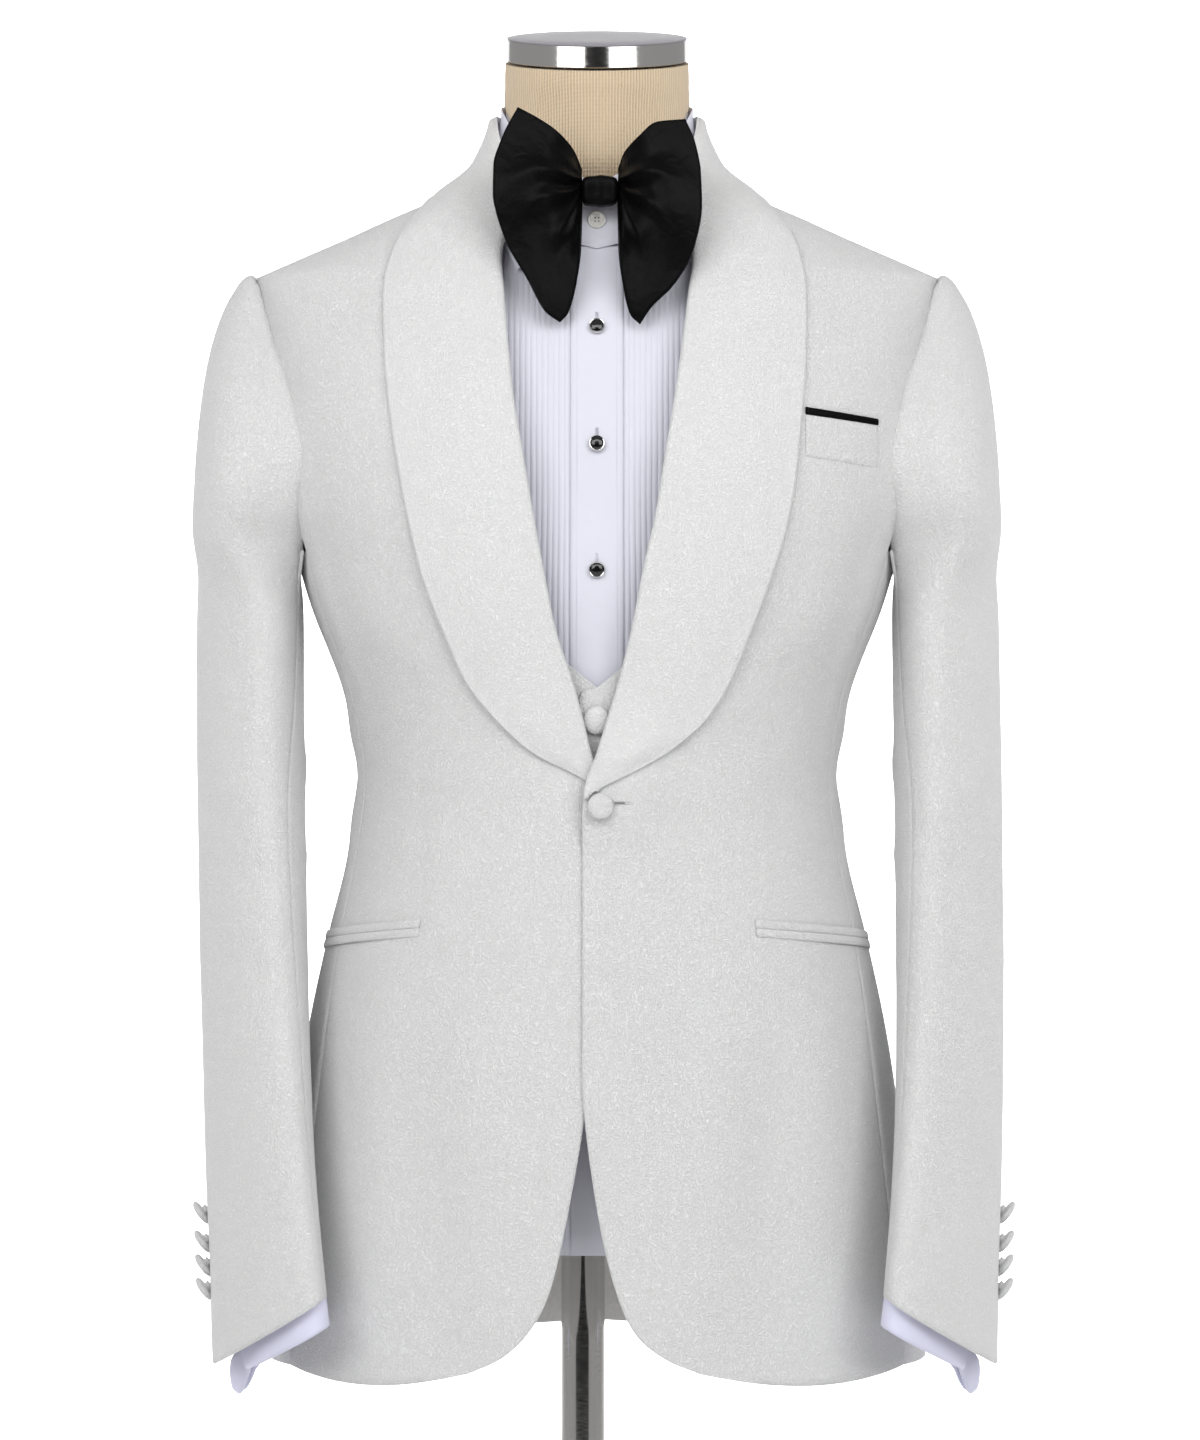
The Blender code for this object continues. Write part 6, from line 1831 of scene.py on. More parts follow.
@dataclass
class Jacket:
    """A one-button shawl-collar jacket with jetted hip pockets, a chest welt and two-piece sleeves."""

    cloth: float = 0.002
    lap: float = 0.0026
    lap_bulk: float = 1.7
    bulk_heights: tuple[float, ...] = (1.085, 1.115, 1.150, 1.165)
    lap_end: tuple[float, float] = (1.150, 1.200)
    lap_across: tuple[float, float] = (0.014, 0.055)
    front_seam_turn: float = 0.40
    back_seam_turn: float = 0.61
    armpit: float = 1.262
    tip: float = 1.448
    neck_point: float = 1.512
    neck_back: float = 1.515
    back_hem: float = 0.779
    hem_dip: float = 0.0080
    lay_gap: float = 0.0005
    shawl_swell: float = 0.0014
    roll_width: float = 0.012
    leaf_lift: float = 0.0028
    leaf_heights: tuple[float, ...] = (1.137, 1.165, 1.22, 1.34)
    shawl_tip: float = 1.1226
    collar_fullness: float = 0.0034
    head_top: float = 1.4445
    head_sink: float = 0.0004
    head_lap: float = 0.012
    underarm_lift: float = 0.0012
    seam_swing: float = 30.0
    upper_span: tuple[float, float] = (-22.0, 200.0)
    under_span: tuple[float, float] = (200.0, 338.0)
    seam_sink: float = 0.0003
    back_seam_sink: float = 0.0004
    sleeve_seam_sink: float = 0.0002
    dart_turn: float = 0.262
    dart_width: float = 0.0022
    dart_depth: float = 0.0007
    dart_heights: tuple[float, ...] = (1.05, 1.08, 1.30, 1.34)
    jet_cloth: float = 0.001
    slit_cloth: float = 0.0004
    pick_pitch: float = 0.0075
    pick_half: float = 0.0009
    pick_inset: float = 0.0032
    pick_radius: float = 0.00033
    button_size: tuple[float, float] = (0.008099, 0.0050)
    hole_start: float = 0.0080
    hole_rise: float = 0.0022
    hole_stitches: int = 26
    hole_pitch: float = 0.00048
    hole_radius: float = 0.00028
    button_across: float = 0.0019
    button_height: float = 1.1175
    sleeve_button_radius: float = 0.00825
    sleeve_button_heights: tuple[float, ...] = (0.8595, 0.8440, 0.8312, 0.8185)
    sleeve_button_place: float = 140.0
    pocket_heights: tuple[float, float] = (1.0430, 1.0270)
    pocket_end_turn: float = 0.585
    welt_across: tuple[float, float] = (0.1275, 0.1722)
    side_heights: tuple[float, ...] = (0.770, 0.860, 0.936, 1.012, 1.090, 1.130, 1.170, 1.218, 1.275)
    pocket_start: dict[Side, float] = field(default_factory=lambda: {Side.LEFT: 0.0968, Side.RIGHT: 0.1080})

    def lap_lift(self, side: int, across: np.ndarray, height: np.ndarray) -> np.ndarray:
        """How far the left front stands off where it laps over the right one."""
        if side < 0:
            return np.zeros(np.broadcast(across, height).shape)
        bulk = hump(height, *self.bulk_heights)
        lift = self.lap * (1 + self.lap_bulk * bulk) * (1 - step(height, *self.lap_end))
        return lift * (1 - step(across, *self.lap_across))

    def row_ends(self, side: int) -> list[tuple[tuple[float, float], tuple[float, float]]]:
        """Turn and height at the inner and the outer end of each row of a front."""
        armhole = line_of(JACKET_ARMHOLE, "height", "front_turn")
        ends = []
        for row in FRONT_SKIRT + FRONT_LAPEL:
            across = row.over if side > 0 else row.under
            outer = float(armhole(row.outer_height)) if row.outer_height > 1.28 else self.front_seam_turn
            ends.append(((float(JACKET.turn_at(across, row.height)), row.height), (outer, row.outer_height)))
        for row in FRONT_NECK:
            outer = (float(armhole(row.outer_height)), row.outer_height)
            ends.append(((row.seam_turn, row.seam_height), outer))
        return ends

    def front_creases(self, side: Side) -> list[Crease]:
        """The soft folds of a front, as metres round from the centre front, and height."""
        lean = 1.0 if side is Side.LEFT else 0.85
        r = ROUND
        return [
            Crease(0.36 * r, 1.19, 0.385 * r, 1.36, 0.012, 0.0022 * lean),
            Crease(0.345 * r, 1.16, 0.362 * r, 1.30, 0.010, -0.0014 * lean),
            Crease(0.06 * r, 1.10, 0.30 * r, 1.02, 0.020, 0.0012),
            Crease(0.05 * r, 1.125, 0.34 * r, 1.145, 0.016, 0.0012 * lean),
            Crease(0.07 * r, 1.13, 0.30 * r, 1.235, 0.018, 0.0010),
            Crease(0.12 * r, 0.79, 0.17 * r, 0.99, 0.026, 0.0022 * lean),
            Crease(0.27 * r, 0.78, 0.30 * r, 1.00, 0.022, 0.0024),
            Crease(0.20 * r, 0.78, 0.24 * r, 0.96, 0.024, -0.0018 * lean),
            Crease(0.36 * r, 0.78, 0.385 * r, 0.98, 0.018, -0.0016),
        ]

    def front(self, side: Side, finishes: Finishes) -> tuple[Piece, np.ndarray]:
        """One front."""
        s = side.value
        shares = np.array([0.0, 0.03, 0.08, 0.14, 0.20, 0.28, 0.36, 0.52, 0.68, 0.84, 0.94, 1.0])
        rows = []
        for k, (start, end) in enumerate(self.row_ends(s)):
            t, z = mix(start[0], end[0], shares), mix(start[1], end[1], shares)
            if k == 0:
                z = z - self.hem_dip * np.sin(math.pi * shares)
            rows.append(np.stack([t, z], -1))
        places = finer(np.array(rows), 5, 5)
        t, z = places[..., 0], places[..., 1]
        across = JACKET.across(s, t, z)
        lift = self.lap_lift(s, across, z) + creased(t * ROUND, z, self.front_creases(side))
        lift = lift + seam_dip(t.shape[1], self.seam_sink, False)
        # the dart from the chest to the pocket
        dart = self.dart_depth * np.exp(-(((t - self.dart_turn) * ROUND / self.dart_width) ** 2))
        dart = dart * hump(z, *self.dart_heights)
        grid = JACKET.point(s, t, z, lift - dart)
        names = (f"jacket_front_cloth_{side.label}", "jacket_cloth", f"jacket_front_{side.label}")
        return cloth_piece(names, grid, self.cloth, JACKET.normal(s, t, z), finishes.lined)

    def underarm(self, turn: np.ndarray) -> np.ndarray:
        """The height of the armhole's lowest stretch, under the arm."""
        return mix(self.armpit, 1.275, np.minimum(np.abs(turn - 0.5) / 0.1, 1.0) ** 1.6)

    def side_panel(self, side: Side, finishes: Finishes) -> tuple[Piece, np.ndarray]:
        """The panel under the arm."""
        s = side.value
        turns = np.array([self.front_seam_turn, 0.43, 0.47, 0.505, 0.54, 0.575, self.back_seam_turn])
        rows = []
        for height in self.side_heights:
            top = height == self.side_heights[-1]
            rows.append(np.stack([turns, self.underarm(turns) if top else turns * 0 + height], -1))
        places = finer(np.array(rows), 8, 4)
        t, z = places[..., 0], places[..., 1]
        r = ROUND
        folds = [
            Crease(0.47 * r, 0.78, 0.48 * r, 1.02, 0.020, 0.0020),
            Crease(0.555 * r, 0.78, 0.55 * r, 1.00, 0.018, -0.0016),
            Crease(0.44 * r, 1.10, 0.57 * r, 1.135, 0.012, 0.0016),
            Crease(0.43 * r, 1.165, 0.58 * r, 1.150, 0.012, 0.0014),
        ]
        lift = creased(t * ROUND, z, folds) * (1 - np.abs(np.linspace(-1, 1, t.shape[1]))[None] ** 6)
        lift = lift + seam_dip(t.shape[1], self.seam_sink)
        grid = JACKET.point(s, t, z, lift)
        names = (f"jacket_side_cloth_{side.label}", "jacket_cloth", f"jacket_side_{side.label}")
        return cloth_piece(names, grid, self.cloth, JACKET.normal(s, t, z), finishes.lined)

    def back(self, side: Side, finishes: Finishes) -> tuple[Piece, np.ndarray]:
        """Half the back, seamed down its middle."""
        s = side.value
        outer = [(self.back_seam_turn, height) for height in self.side_heights]
        outer += [(row.back_turn, row.height) for row in JACKET_ARMHOLE[1:]]
        count, first = len(outer), len(self.side_heights)
        centres = []
        for k, (_, height) in enumerate(outer):
            rise = max(0.0, (k - first) / (count - 1 - first))
            centres.append(mix(outer[first][1], self.neck_back, rise**0.65) if k > first else height)
        centres[0] = self.back_hem
        top = [(0.5, self.tip), (0.5, 1.4670), (0.5, 1.4890), (0.5, self.neck_point)]
        top += [(0.65, 1.5140), (0.82, 1.5150), (1.0, self.neck_back)]
        places = finer(back_rows(outer, centres, top, first - 1), 5, 8)
        t, z = places[..., 0], places[..., 1]
        r = ROUND
        lean = 1.0 if side is Side.LEFT else 0.8
        folds = [
            Crease(0.655 * r, 1.18, 0.640 * r, 1.38, 0.013, 0.0026 * lean),
            Crease(0.70 * r, 1.20, 0.69 * r, 1.36, 0.015, -0.0015),
            Crease(0.93 * r, 1.13, 0.68 * r, 1.10, 0.015, 0.0018 * lean),
            Crease(0.95 * r, 1.17, 0.70 * r, 1.16, 0.013, 0.0014),
            Crease(0.94 * r, 1.08, 0.72 * r, 1.03, 0.017, -0.0012 * lean),
            Crease(0.72 * r, 0.79, 0.74 * r, 1.02, 0.026, 0.0026 * lean),
            Crease(0.86 * r, 0.79, 0.86 * r, 1.02, 0.030, 0.0022),
            Crease(0.79 * r, 0.79, 0.80 * r, 0.98, 0.022, -0.0020 * lean),
            Crease(0.96 * r, 1.46, 0.84 * r, 1.475, 0.010, 0.0012),
        ]
        fade = 1 - np.linspace(0, 1, t.shape[1])[None] ** 10
        lift = creased(t * ROUND, z, folds) * fade + seam_dip(t.shape[1], self.back_seam_sink)
        grid = JACKET.point(s, t, z, lift)
        names = (f"jacket_back_cloth_{side.label}", "jacket_cloth", f"jacket_back_{side.label}")
        return cloth_piece(names, grid, self.cloth, JACKET.normal(s, t, z), finishes.lined)

    def stations(self, side: int) -> list[tuple]:
        """Fold, outer edge and neck seam of the shawl, from the break up and round to the centre back."""
        edge = line_of(SHAWL_EDGE, "height", "over" if side > 0 else "under")
        stations = []
        if side > 0:
            # the lower end runs out in a point at the front edge
            low = self.shawl_tip
            fold, rim = ((float(JACKET.turn_at(across, low)), low) for across in (-0.0066, -0.0060))
            stations.append((fold, rim, fold))
        for k, (start, end) in enumerate(self.row_ends(side)[len(FRONT_SKIRT) :]):
            low, high = 0.0, 1.0
            for _ in range(30):
                middle = (low + high) / 2
                turn, height = mix(start[0], end[0], middle), mix(start[1], end[1], middle)
                if float(JACKET.across(side, turn, height)) < float(edge(height)):
                    low = middle
                else:
                    high = middle
            rim = (mix(start[0], end[0], low), mix(start[1], end[1], low))
            if k < len(FRONT_LAPEL):
                stations.append((start, rim, start))
            else:
                row = FRONT_NECK[k - len(FRONT_LAPEL)]
                stations.append(((row.fold_turn, row.fold_height), rim, start))
        for row in BACK_COLLAR:
            stations.append(tuple((row.turn, h) for h in (row.fold_height, row.edge_height, row.seam_height)))
        return stations

    def shawl_path(self, side: int, fold: tuple, rim: tuple, seam: tuple) -> list[np.ndarray]:
        """The middle of the shawl's cloth at one station: its leaf, the roll and the stand inside."""
        full = self.collar_fullness * float(step(fold[0], 0.08, 0.28))
        path = []
        wide = float(np.linalg.norm(JACKET.point(side, *rim) - JACKET.point(side, *fold)))
        swell = min(self.shawl_swell, wide * 0.05)
        roll = min(1.0, wide / self.roll_width)
        for share in (0.0, 0.03, 0.10, 0.22, 0.36, 0.50, 0.64, 0.78, 0.90, 0.97):
            turn, height = mix(rim[0], fold[0], share), mix(rim[1], fold[1], share)
            low = self.leaf_lift * float(hump(height, *self.leaf_heights))
            ease = full * (1 - 0.5 * share**2 - 0.85 * math.exp(-((share / 0.09) ** 2)))
            out = self.lay_gap + self.cloth / 2 + ease
            out += low * (1 - share) + swell * math.sin(math.pi * share) ** 2
            lift = float(self.lap_lift(side, JACKET.across(side, turn, height), height))
            path.append(JACKET.point(side, turn, height, out + lift))
        # the roll turns round the fold, and narrows with the leaf towards its lower tip
        normal = JACKET.normal(side, *fold)
        lift = float(self.lap_lift(side, JACKET.across(side, *fold), fold[1]))
        root = JACKET.point(side, *fold, lift)
        beyond = unit(path[-1] - path[-3])
        beyond = unit(beyond - normal * np.dot(beyond, normal))
        path.append(root + roll * (0.0006 * beyond + 0.0004 * normal) + 0.0012 * normal)
        path.append(root + roll * 0.0011 * beyond + 0.0004 * normal)
        if fold == seam:
            path.append(root + roll * 0.0012 * beyond - 0.0007 * normal)
            path.append(root + roll * 0.0010 * beyond - 0.0018 * normal)
            path.append(root + roll * 0.0002 * beyond - 0.0029 * normal)
        else:
            # the stand runs down inside to the neck seam
            inside = -0.2 * self.cloth
            path.append(root + 0.0008 * beyond - 0.0004 * normal)
            path.append(JACKET.point(side, mix(fold[0], seam[0], 0.5), mix(fold[1], seam[1], 0.5), inside))
            foot = JACKET.point(side, *seam, inside)
            path.append(foot + 0.0024 * unit(path[-1] - foot))
        return path

    def shawl(self, side: Side, finishes: Finishes) -> tuple[Piece, np.ndarray]:
        """Half the shawl collar."""
        s = side.value
        coarse = np.array([self.shawl_path(s, *station) for station in self.stations(s)])
        middle = finer(coarse, 6, 2)
        middle[-1, :, 0] = CENTRE_X + s * 0.00015
        station = len(FRONT_LAPEL) * 3
        normals = grid_normals(middle, np.array([0.0, -1.0, 0.0]))
        if np.dot(normals[station, 6], JACKET.normal(s, 0.3, 1.2)) < 0:
            normals = -normals
        outer = middle + self.cloth / 2 * normals
        names = (f"shawl_cloth_{side.label}", "jacket_cloth", f"jacket_shawl_{side.label}")
        return cloth_piece(names, outer, self.cloth, normals, [finishes.lapel], smooth_deg=75.0)

    def head_rows(self, side: int, count: int) -> list[list[np.ndarray]]:
        """The upper sleeve's rows over the shoulder, between the armhole's edges, which they lap."""
        grid = []
        sunk = np.array([side * -self.head_sink, 0, 0])
        for row in JACKET_ARMHOLE[:-1]:
            lowest = row is JACKET_ARMHOLE[0]
            lap = 0.0 if lowest else self.head_lap
            lift = self.underarm_lift if lowest else lap * 0.04
            away = sunk * (not lowest)
            front = JACKET.point(side, row.front_turn - lap, row.height, lift) + away
            back = JACKET.point(side, row.back_turn + lap * 0.6, row.height, lift) + away
            cells = []
            for share in spread(count):
                bow = math.sin(math.pi * share)
                edge_x = mix(front[0], back[0], share)
                x = edge_x + (CENTRE_X + side * row.head_across - edge_x) * max(bow, 0.0) ** 0.75
                reach = math.cos(math.pi * share) * (1 + row.belly * bow)
                y = (front[1] + back[1]) / 2 - (back[1] - front[1]) / 2 * reach
                cells.append(np.array([x, y, mix(row.height, row.head_height, bow)]))
            grid.append(cells)
        front_turn = float(line_of(JACKET_ARMHOLE, "height", "front_turn")(self.head_top))
        back_turn = float(line_of(JACKET_ARMHOLE, "height", "back_turn")(self.head_top))
        cells = []
        for share in spread(count):
            height = mix(self.head_top, self.tip, math.sin(math.pi * share))
            point = JACKET.point(side, mix(front_turn, back_turn, share), height)
            cells.append(point + sunk)
        return grid + [cells]

    def sleeve_creases(self, side: Side, upper: bool) -> list[Crease]:
        """Soft folds of a sleeve, as metres round from its first seam, and height."""
        lean = 1.0 if side is Side.LEFT else 0.8
        if upper:
            return [
                Crease(0.015, 1.115, 0.090, 1.150, 0.012, 0.0022 * lean),
                Crease(0.010, 1.075, 0.085, 1.085, 0.010, -0.0016),
                Crease(0.012, 1.050, 0.100, 1.020, 0.013, 0.0020),
                Crease(0.015, 0.985, 0.080, 0.960, 0.011, 0.0014 * lean),
                Crease(0.105, 0.98, 0.112, 1.24, 0.024, 0.0018),
                Crease(0.150, 1.06, 0.190, 1.14, 0.014, 0.0020 * lean),
                Crease(0.160, 0.96, 0.195, 1.03, 0.013, -0.0016),
                Crease(0.035, 1.25, 0.060, 1.36, 0.012, 0.0016 * lean),
                Crease(0.190, 1.24, 0.200, 1.36, 0.013, 0.0018),
            ]
        return [
            Crease(0.020, 1.06, 0.090, 1.09, 0.012, 0.0022 * lean),
            Crease(0.015, 1.12, 0.090, 1.10, 0.010, -0.0018),
            Crease(0.020, 1.15, 0.095, 1.14, 0.012, 0.0020),
            Crease(0.030, 0.99, 0.090, 1.02, 0.011, 0.0016 * lean),
        ]

    def sleeve(self, side: Side, finishes: Finishes) -> list[tuple[Piece, np.ndarray]]:
        """The upper and the under sleeve."""
        s = side.value
        counts = {"upper": 13, "under": 9}
        spans = {"upper": self.upper_span, "under": self.under_span}
        grids = {}
        for name, count in counts.items():
            # the front seam runs in to the fold under the arm
            swing = [self.seam_swing * float(step(ring.height, 1.09, 1.245)) for ring in SLEEVE_RINGS]
            first, last = (1, 0) if name == "upper" else (0, 1)
            ends = [(spans[name][0] - first * w, spans[name][1] - last * w) for w in swing]
            rows = []
            for ring, end in zip(SLEEVE_RINGS, ends):
                rows.append([ring_point(s, ring, p) for p in spread(count, *end)])
            if name == "upper":
                rows += self.head_rows(s, count)
            else:
                turns = spread(count, self.back_seam_turn, self.front_seam_turn)
                rows.append([JACKET.point(s, t, self.underarm(t), self.underarm_lift) for t in turns])
            grids[name] = np.array(rows)
        middles = [ring_centre(s, ring) for ring in SLEEVE_RINGS]
        middles += [np.array([CENTRE_X + s * 0.18, 0.0, row.height - 0.03]) for row in JACKET_ARMHOLE]
        found = []
        for name, coarse in grids.items():
            centre = finer(np.array(middles[: len(coarse)])[:, None], 7, 1)
            grid = finer(coarse, 7, 3)
            normals = grid_normals(grid, grid - centre)
            u, _ = lengths(grid)
            fade = 1 - np.abs(np.linspace(-1, 1, grid.shape[1]))[None] ** 8
            lift = creased(u, grid[..., 2], self.sleeve_creases(side, name == "upper")) * fade
            lift = lift + seam_dip(grid.shape[1], self.sleeve_seam_sink)
            if name == "upper":
                # the head's ease: soft dimples just below the armhole seam
                rows = grid.shape[0]
                near = np.exp(-(((np.arange(rows)[:, None] - (rows - 5)) / 5.0) ** 2))
                ease = 0.0005 * np.sin(u / 0.011) * near * fade
                lift = lift + ease
            grid = grid + lift[..., None] * normals
            node = f"jacket_{name}_sleeve_{side.label}"
            names = (f"{name}_sleeve_cloth_{side.label}", "jacket_cloth", node)
            found.append(cloth_piece(names, grid, self.cloth, grid - centre, finishes.lined))
        return found

    def strip(
        self,
        side: int,
        start: np.ndarray,
        end: np.ndarray,
        edges: tuple[float, float],
        out: float,
        plump: float,
    ) -> tuple[np.ndarray, np.ndarray]:
        """The grid and normals of a narrow strip on a front between two places, its middle plumped out."""
        share = spread(41)[None]
        cross = spread(7)[:, None]
        t = mix(start[0], end[0], share) + cross * 0
        z = mix(start[1], end[1], share) + mix(*edges, cross)
        lift = out + plump * np.sin(math.pi * cross) + 0.0001 * np.sin(share * 23.0)
        return JACKET.point(side, t, z, lift), JACKET.normal(side, t, z)

    def pockets(self, finishes: Finishes) -> list[Piece]:
        """The jetted hip pockets with a strip of painted shade in each slit, the chest welt and the satin
        square.
        """
        pieces = []
        start_height, end_height = self.pocket_heights
        end = np.array([self.pocket_end_turn, end_height])
        for side in Side:
            start = np.array([float(JACKET.turn_at(self.pocket_start[side], start_height)), start_height])
            for name, edges in (("upper", (0.0003, 0.0050)), ("lower", (-0.0051, -0.0003))):
                grid, normals = self.strip(side.value, start, end, edges, 0.0018, 0.0004)
                names = (f"jet_{name}_{side.label}", "jacket_cloth", f"hip_pocket_jet_{name}_{side.label}")
                pieces.append(cloth_piece(names, grid, self.jet_cloth, normals, [finishes.wool])[0])
            # a thin strip of painted shade lies in the slit between the jets
            grid, normals = self.strip(side.value, start, end, (-0.0006, 0.0006), 0.0009, 0.0)
            names = (f"pocket_slit_{side.label}", "jacket_cloth")
            pieces.append(cloth_piece(names, grid, self.slit_cloth, normals, [finishes.slit])[0])
        welt = ("breast_welt", "jacket_cloth", "chest_welt")
        square = ("square_edge", "black_satin", "pocket_square")
        share, cross = spread(33)[None], spread(13)[:, None]
        across = mix(*self.welt_across, share) + cross * 0
        for names, finish, low, high, thick in (
            (welt, finishes.wool, (1.3310, 1.3250), (1.3568, 1.3512), 0.0005),
            (square, finishes.satin, (1.3566, 1.3513), (1.3608, 1.3548), 0.0012),
        ):
            z = mix(mix(*low, share), mix(*high, share), cross)
            t = JACKET.turn_at(across, z)
            grid = JACKET.point(1, t, z, thick + 0.0004 * np.sin(math.pi * cross))
            pieces.append(cloth_piece(names, grid, thick, JACKET.normal(1, t, z), [finish])[0])
        return pieces

    def pick_stitches(self, side: Side, finishes: Finishes) -> Piece:
        """Small hand stitches just inside the front edge, from the hem's corner up to the shawl."""
        s = side.value
        mesh = Mesher()
        ends = self.row_ends(s)[: len(FRONT_SKIRT) + 1]
        line = finer(np.array([start for start, _ in ends])[:, None], 24, 1)[:, 0]
        points = JACKET.point(s, line[:, 0], line[:, 1])
        far = np.concatenate([[0.0], np.linalg.norm(np.diff(points, axis=0), axis=-1).cumsum()])

        def spot(place: float) -> np.ndarray:
            """Turn and height on the edge, at metres along it."""
            return np.array([np.interp(place, far, line[:, 0]), np.interp(place, far, line[:, 1])])

        for at in np.arange(0.012, far[-1] - 0.012, self.pick_pitch):
            spots = []
            ahead_t, ahead_z = spot(at + 0.004) - spot(at - 0.004)
            inward = unit(np.array([ahead_z, -ahead_t * ROUND]))
            for d in (-self.pick_half, 0.0, self.pick_half):
                turn, height = spot(at + d)
                turn += inward[0] * self.pick_inset / ROUND
                height += inward[1] * self.pick_inset
                lift = float(self.lap_lift(s, JACKET.across(s, turn, height), height))
                spots.append(JACKET.point(s, turn, height, lift + (0.0001 if d == 0 else -0.0002)))
            mesh.tube(np.array(spots), self.pick_radius)
        return Piece(mesh.build(f"pick_stitches_{side.label}", [finishes.thread]), "jacket_cloth", ())

    def buttonhole(self, finishes: Finishes) -> Piece:
        """The buttonhole's worked edge, to the wearer's left of the button."""
        mesh = Mesher()
        height = self.button_height + self.hole_rise
        for row in (-1, 1):
            for k in range(self.hole_stitches):
                a = self.button_across + self.hole_start + k * self.hole_pitch
                z = height + row * 0.0007
                t = JACKET.turn_at(np.full(3, a), np.full(3, z))
                zz = z + np.array([-0.0008, 0.0, 0.0008])
                lift = float(self.lap_lift(1, np.array(a), np.array(z)))
                points = JACKET.point(1, t, zz, lift + np.array([0.0004, 0.0009, 0.0004]))
                mesh.tube(points, self.hole_radius, 5)
        # the slit between the two rows of stitches: a dark thread of painted shade
        across = self.button_across + np.linspace(0.0090, 0.0150, 7)
        turn = JACKET.turn_at(across, np.full(7, height))
        lift = self.lap_lift(1, across, np.full(7, height)) + 0.0007
        mesh.tube(JACKET.point(1, turn, np.full(7, height), lift), 0.00050, 6, 1)
        return Piece(mesh.build("buttonhole", [finishes.thread, finishes.slit]), "jacket_cloth", ())

    def buttons(self, finishes: Finishes) -> list[Piece]:
        """The front button and four on each sleeve."""
        height = self.button_height
        turn = float(JACKET.turn_at(self.button_across, height))
        lift = float(self.lap_lift(1, np.array(self.button_across), np.array(height)))
        normal = JACKET.normal(1, turn, height)
        base = JACKET.point(1, turn, height, lift + 0.0003) + 0.0012 * normal
        axis = unit(normal + np.array([0.20, 0.0, 0.15]))  # the button hangs tipped on its thread
        made = covered_button("front_button", base, axis, self.button_size, finishes.wool)
        pieces = [Piece(made, "jacket_cloth", ("jacket_button",))]
        r = self.sleeve_button_radius
        profile = [
            (0.0034, -0.0006), (0.0028, 0.0008), (0.0032, 0.0018), (r * 0.80, 0.0022), (r * 0.97, 0.0029),
            (r * 1.02, 0.0038), (r, 0.0046), (r * 0.92, 0.0054), (r * 0.70, 0.0063), (r * 0.34, 0.0068),
        ]
        for side in Side:
            s = side.value
            for number, height in enumerate(self.sleeve_button_heights, 1):
                ring = sleeve_ring(height + 0.018)
                seat = ring_point(s, ring, self.sleeve_button_place)
                axis = unit(np.array([s * 0.80, 0.0, -0.60]))
                seat = seat + np.array([s * 0.0004, 0, 0.0010])
                mesh = Mesher()
                mesh.turned(profile, seat, axis, 36)
                made = mesh.build(f"cuff_button_{side.label}_{number}", [finishes.wool], 70.0)
                pieces.append(Piece(made, "jacket_cloth", (f"sleeve_button_{side.label}_{number}",)))
        return pieces

    def build(self, finishes: Finishes) -> list[Piece]:
        """Every part of the jacket."""
        sheets = []
        for side in Side:
            label = side.label
            sheets.append((*self.front(side, finishes), ["vest_front_left", "vest_front_right"]))
            sheets.append((*self.side_panel(side, finishes), [f"jacket_front_cloth_{label}"]))
            sheets.append((*self.back(side, finishes), ["vest_back"]))
            sheets.append((*self.shawl(side, finishes), [f"jacket_front_cloth_{label}"]))
            for piece, grid in self.sleeve(side, finishes):
                sheets.append((piece, grid, [f"jacket_front_cloth_{label}"]))
        for piece, grid, rests in sheets:
            declare_sheet(piece.settle(), grid)
        pieces = self.pockets(finishes) + self.buttons(finishes) + [self.buttonhole(finishes)]
        return pieces + [self.pick_stitches(side, finishes) for side in Side]


# ---- the bow tie ---------------------------------------------------------------------------------


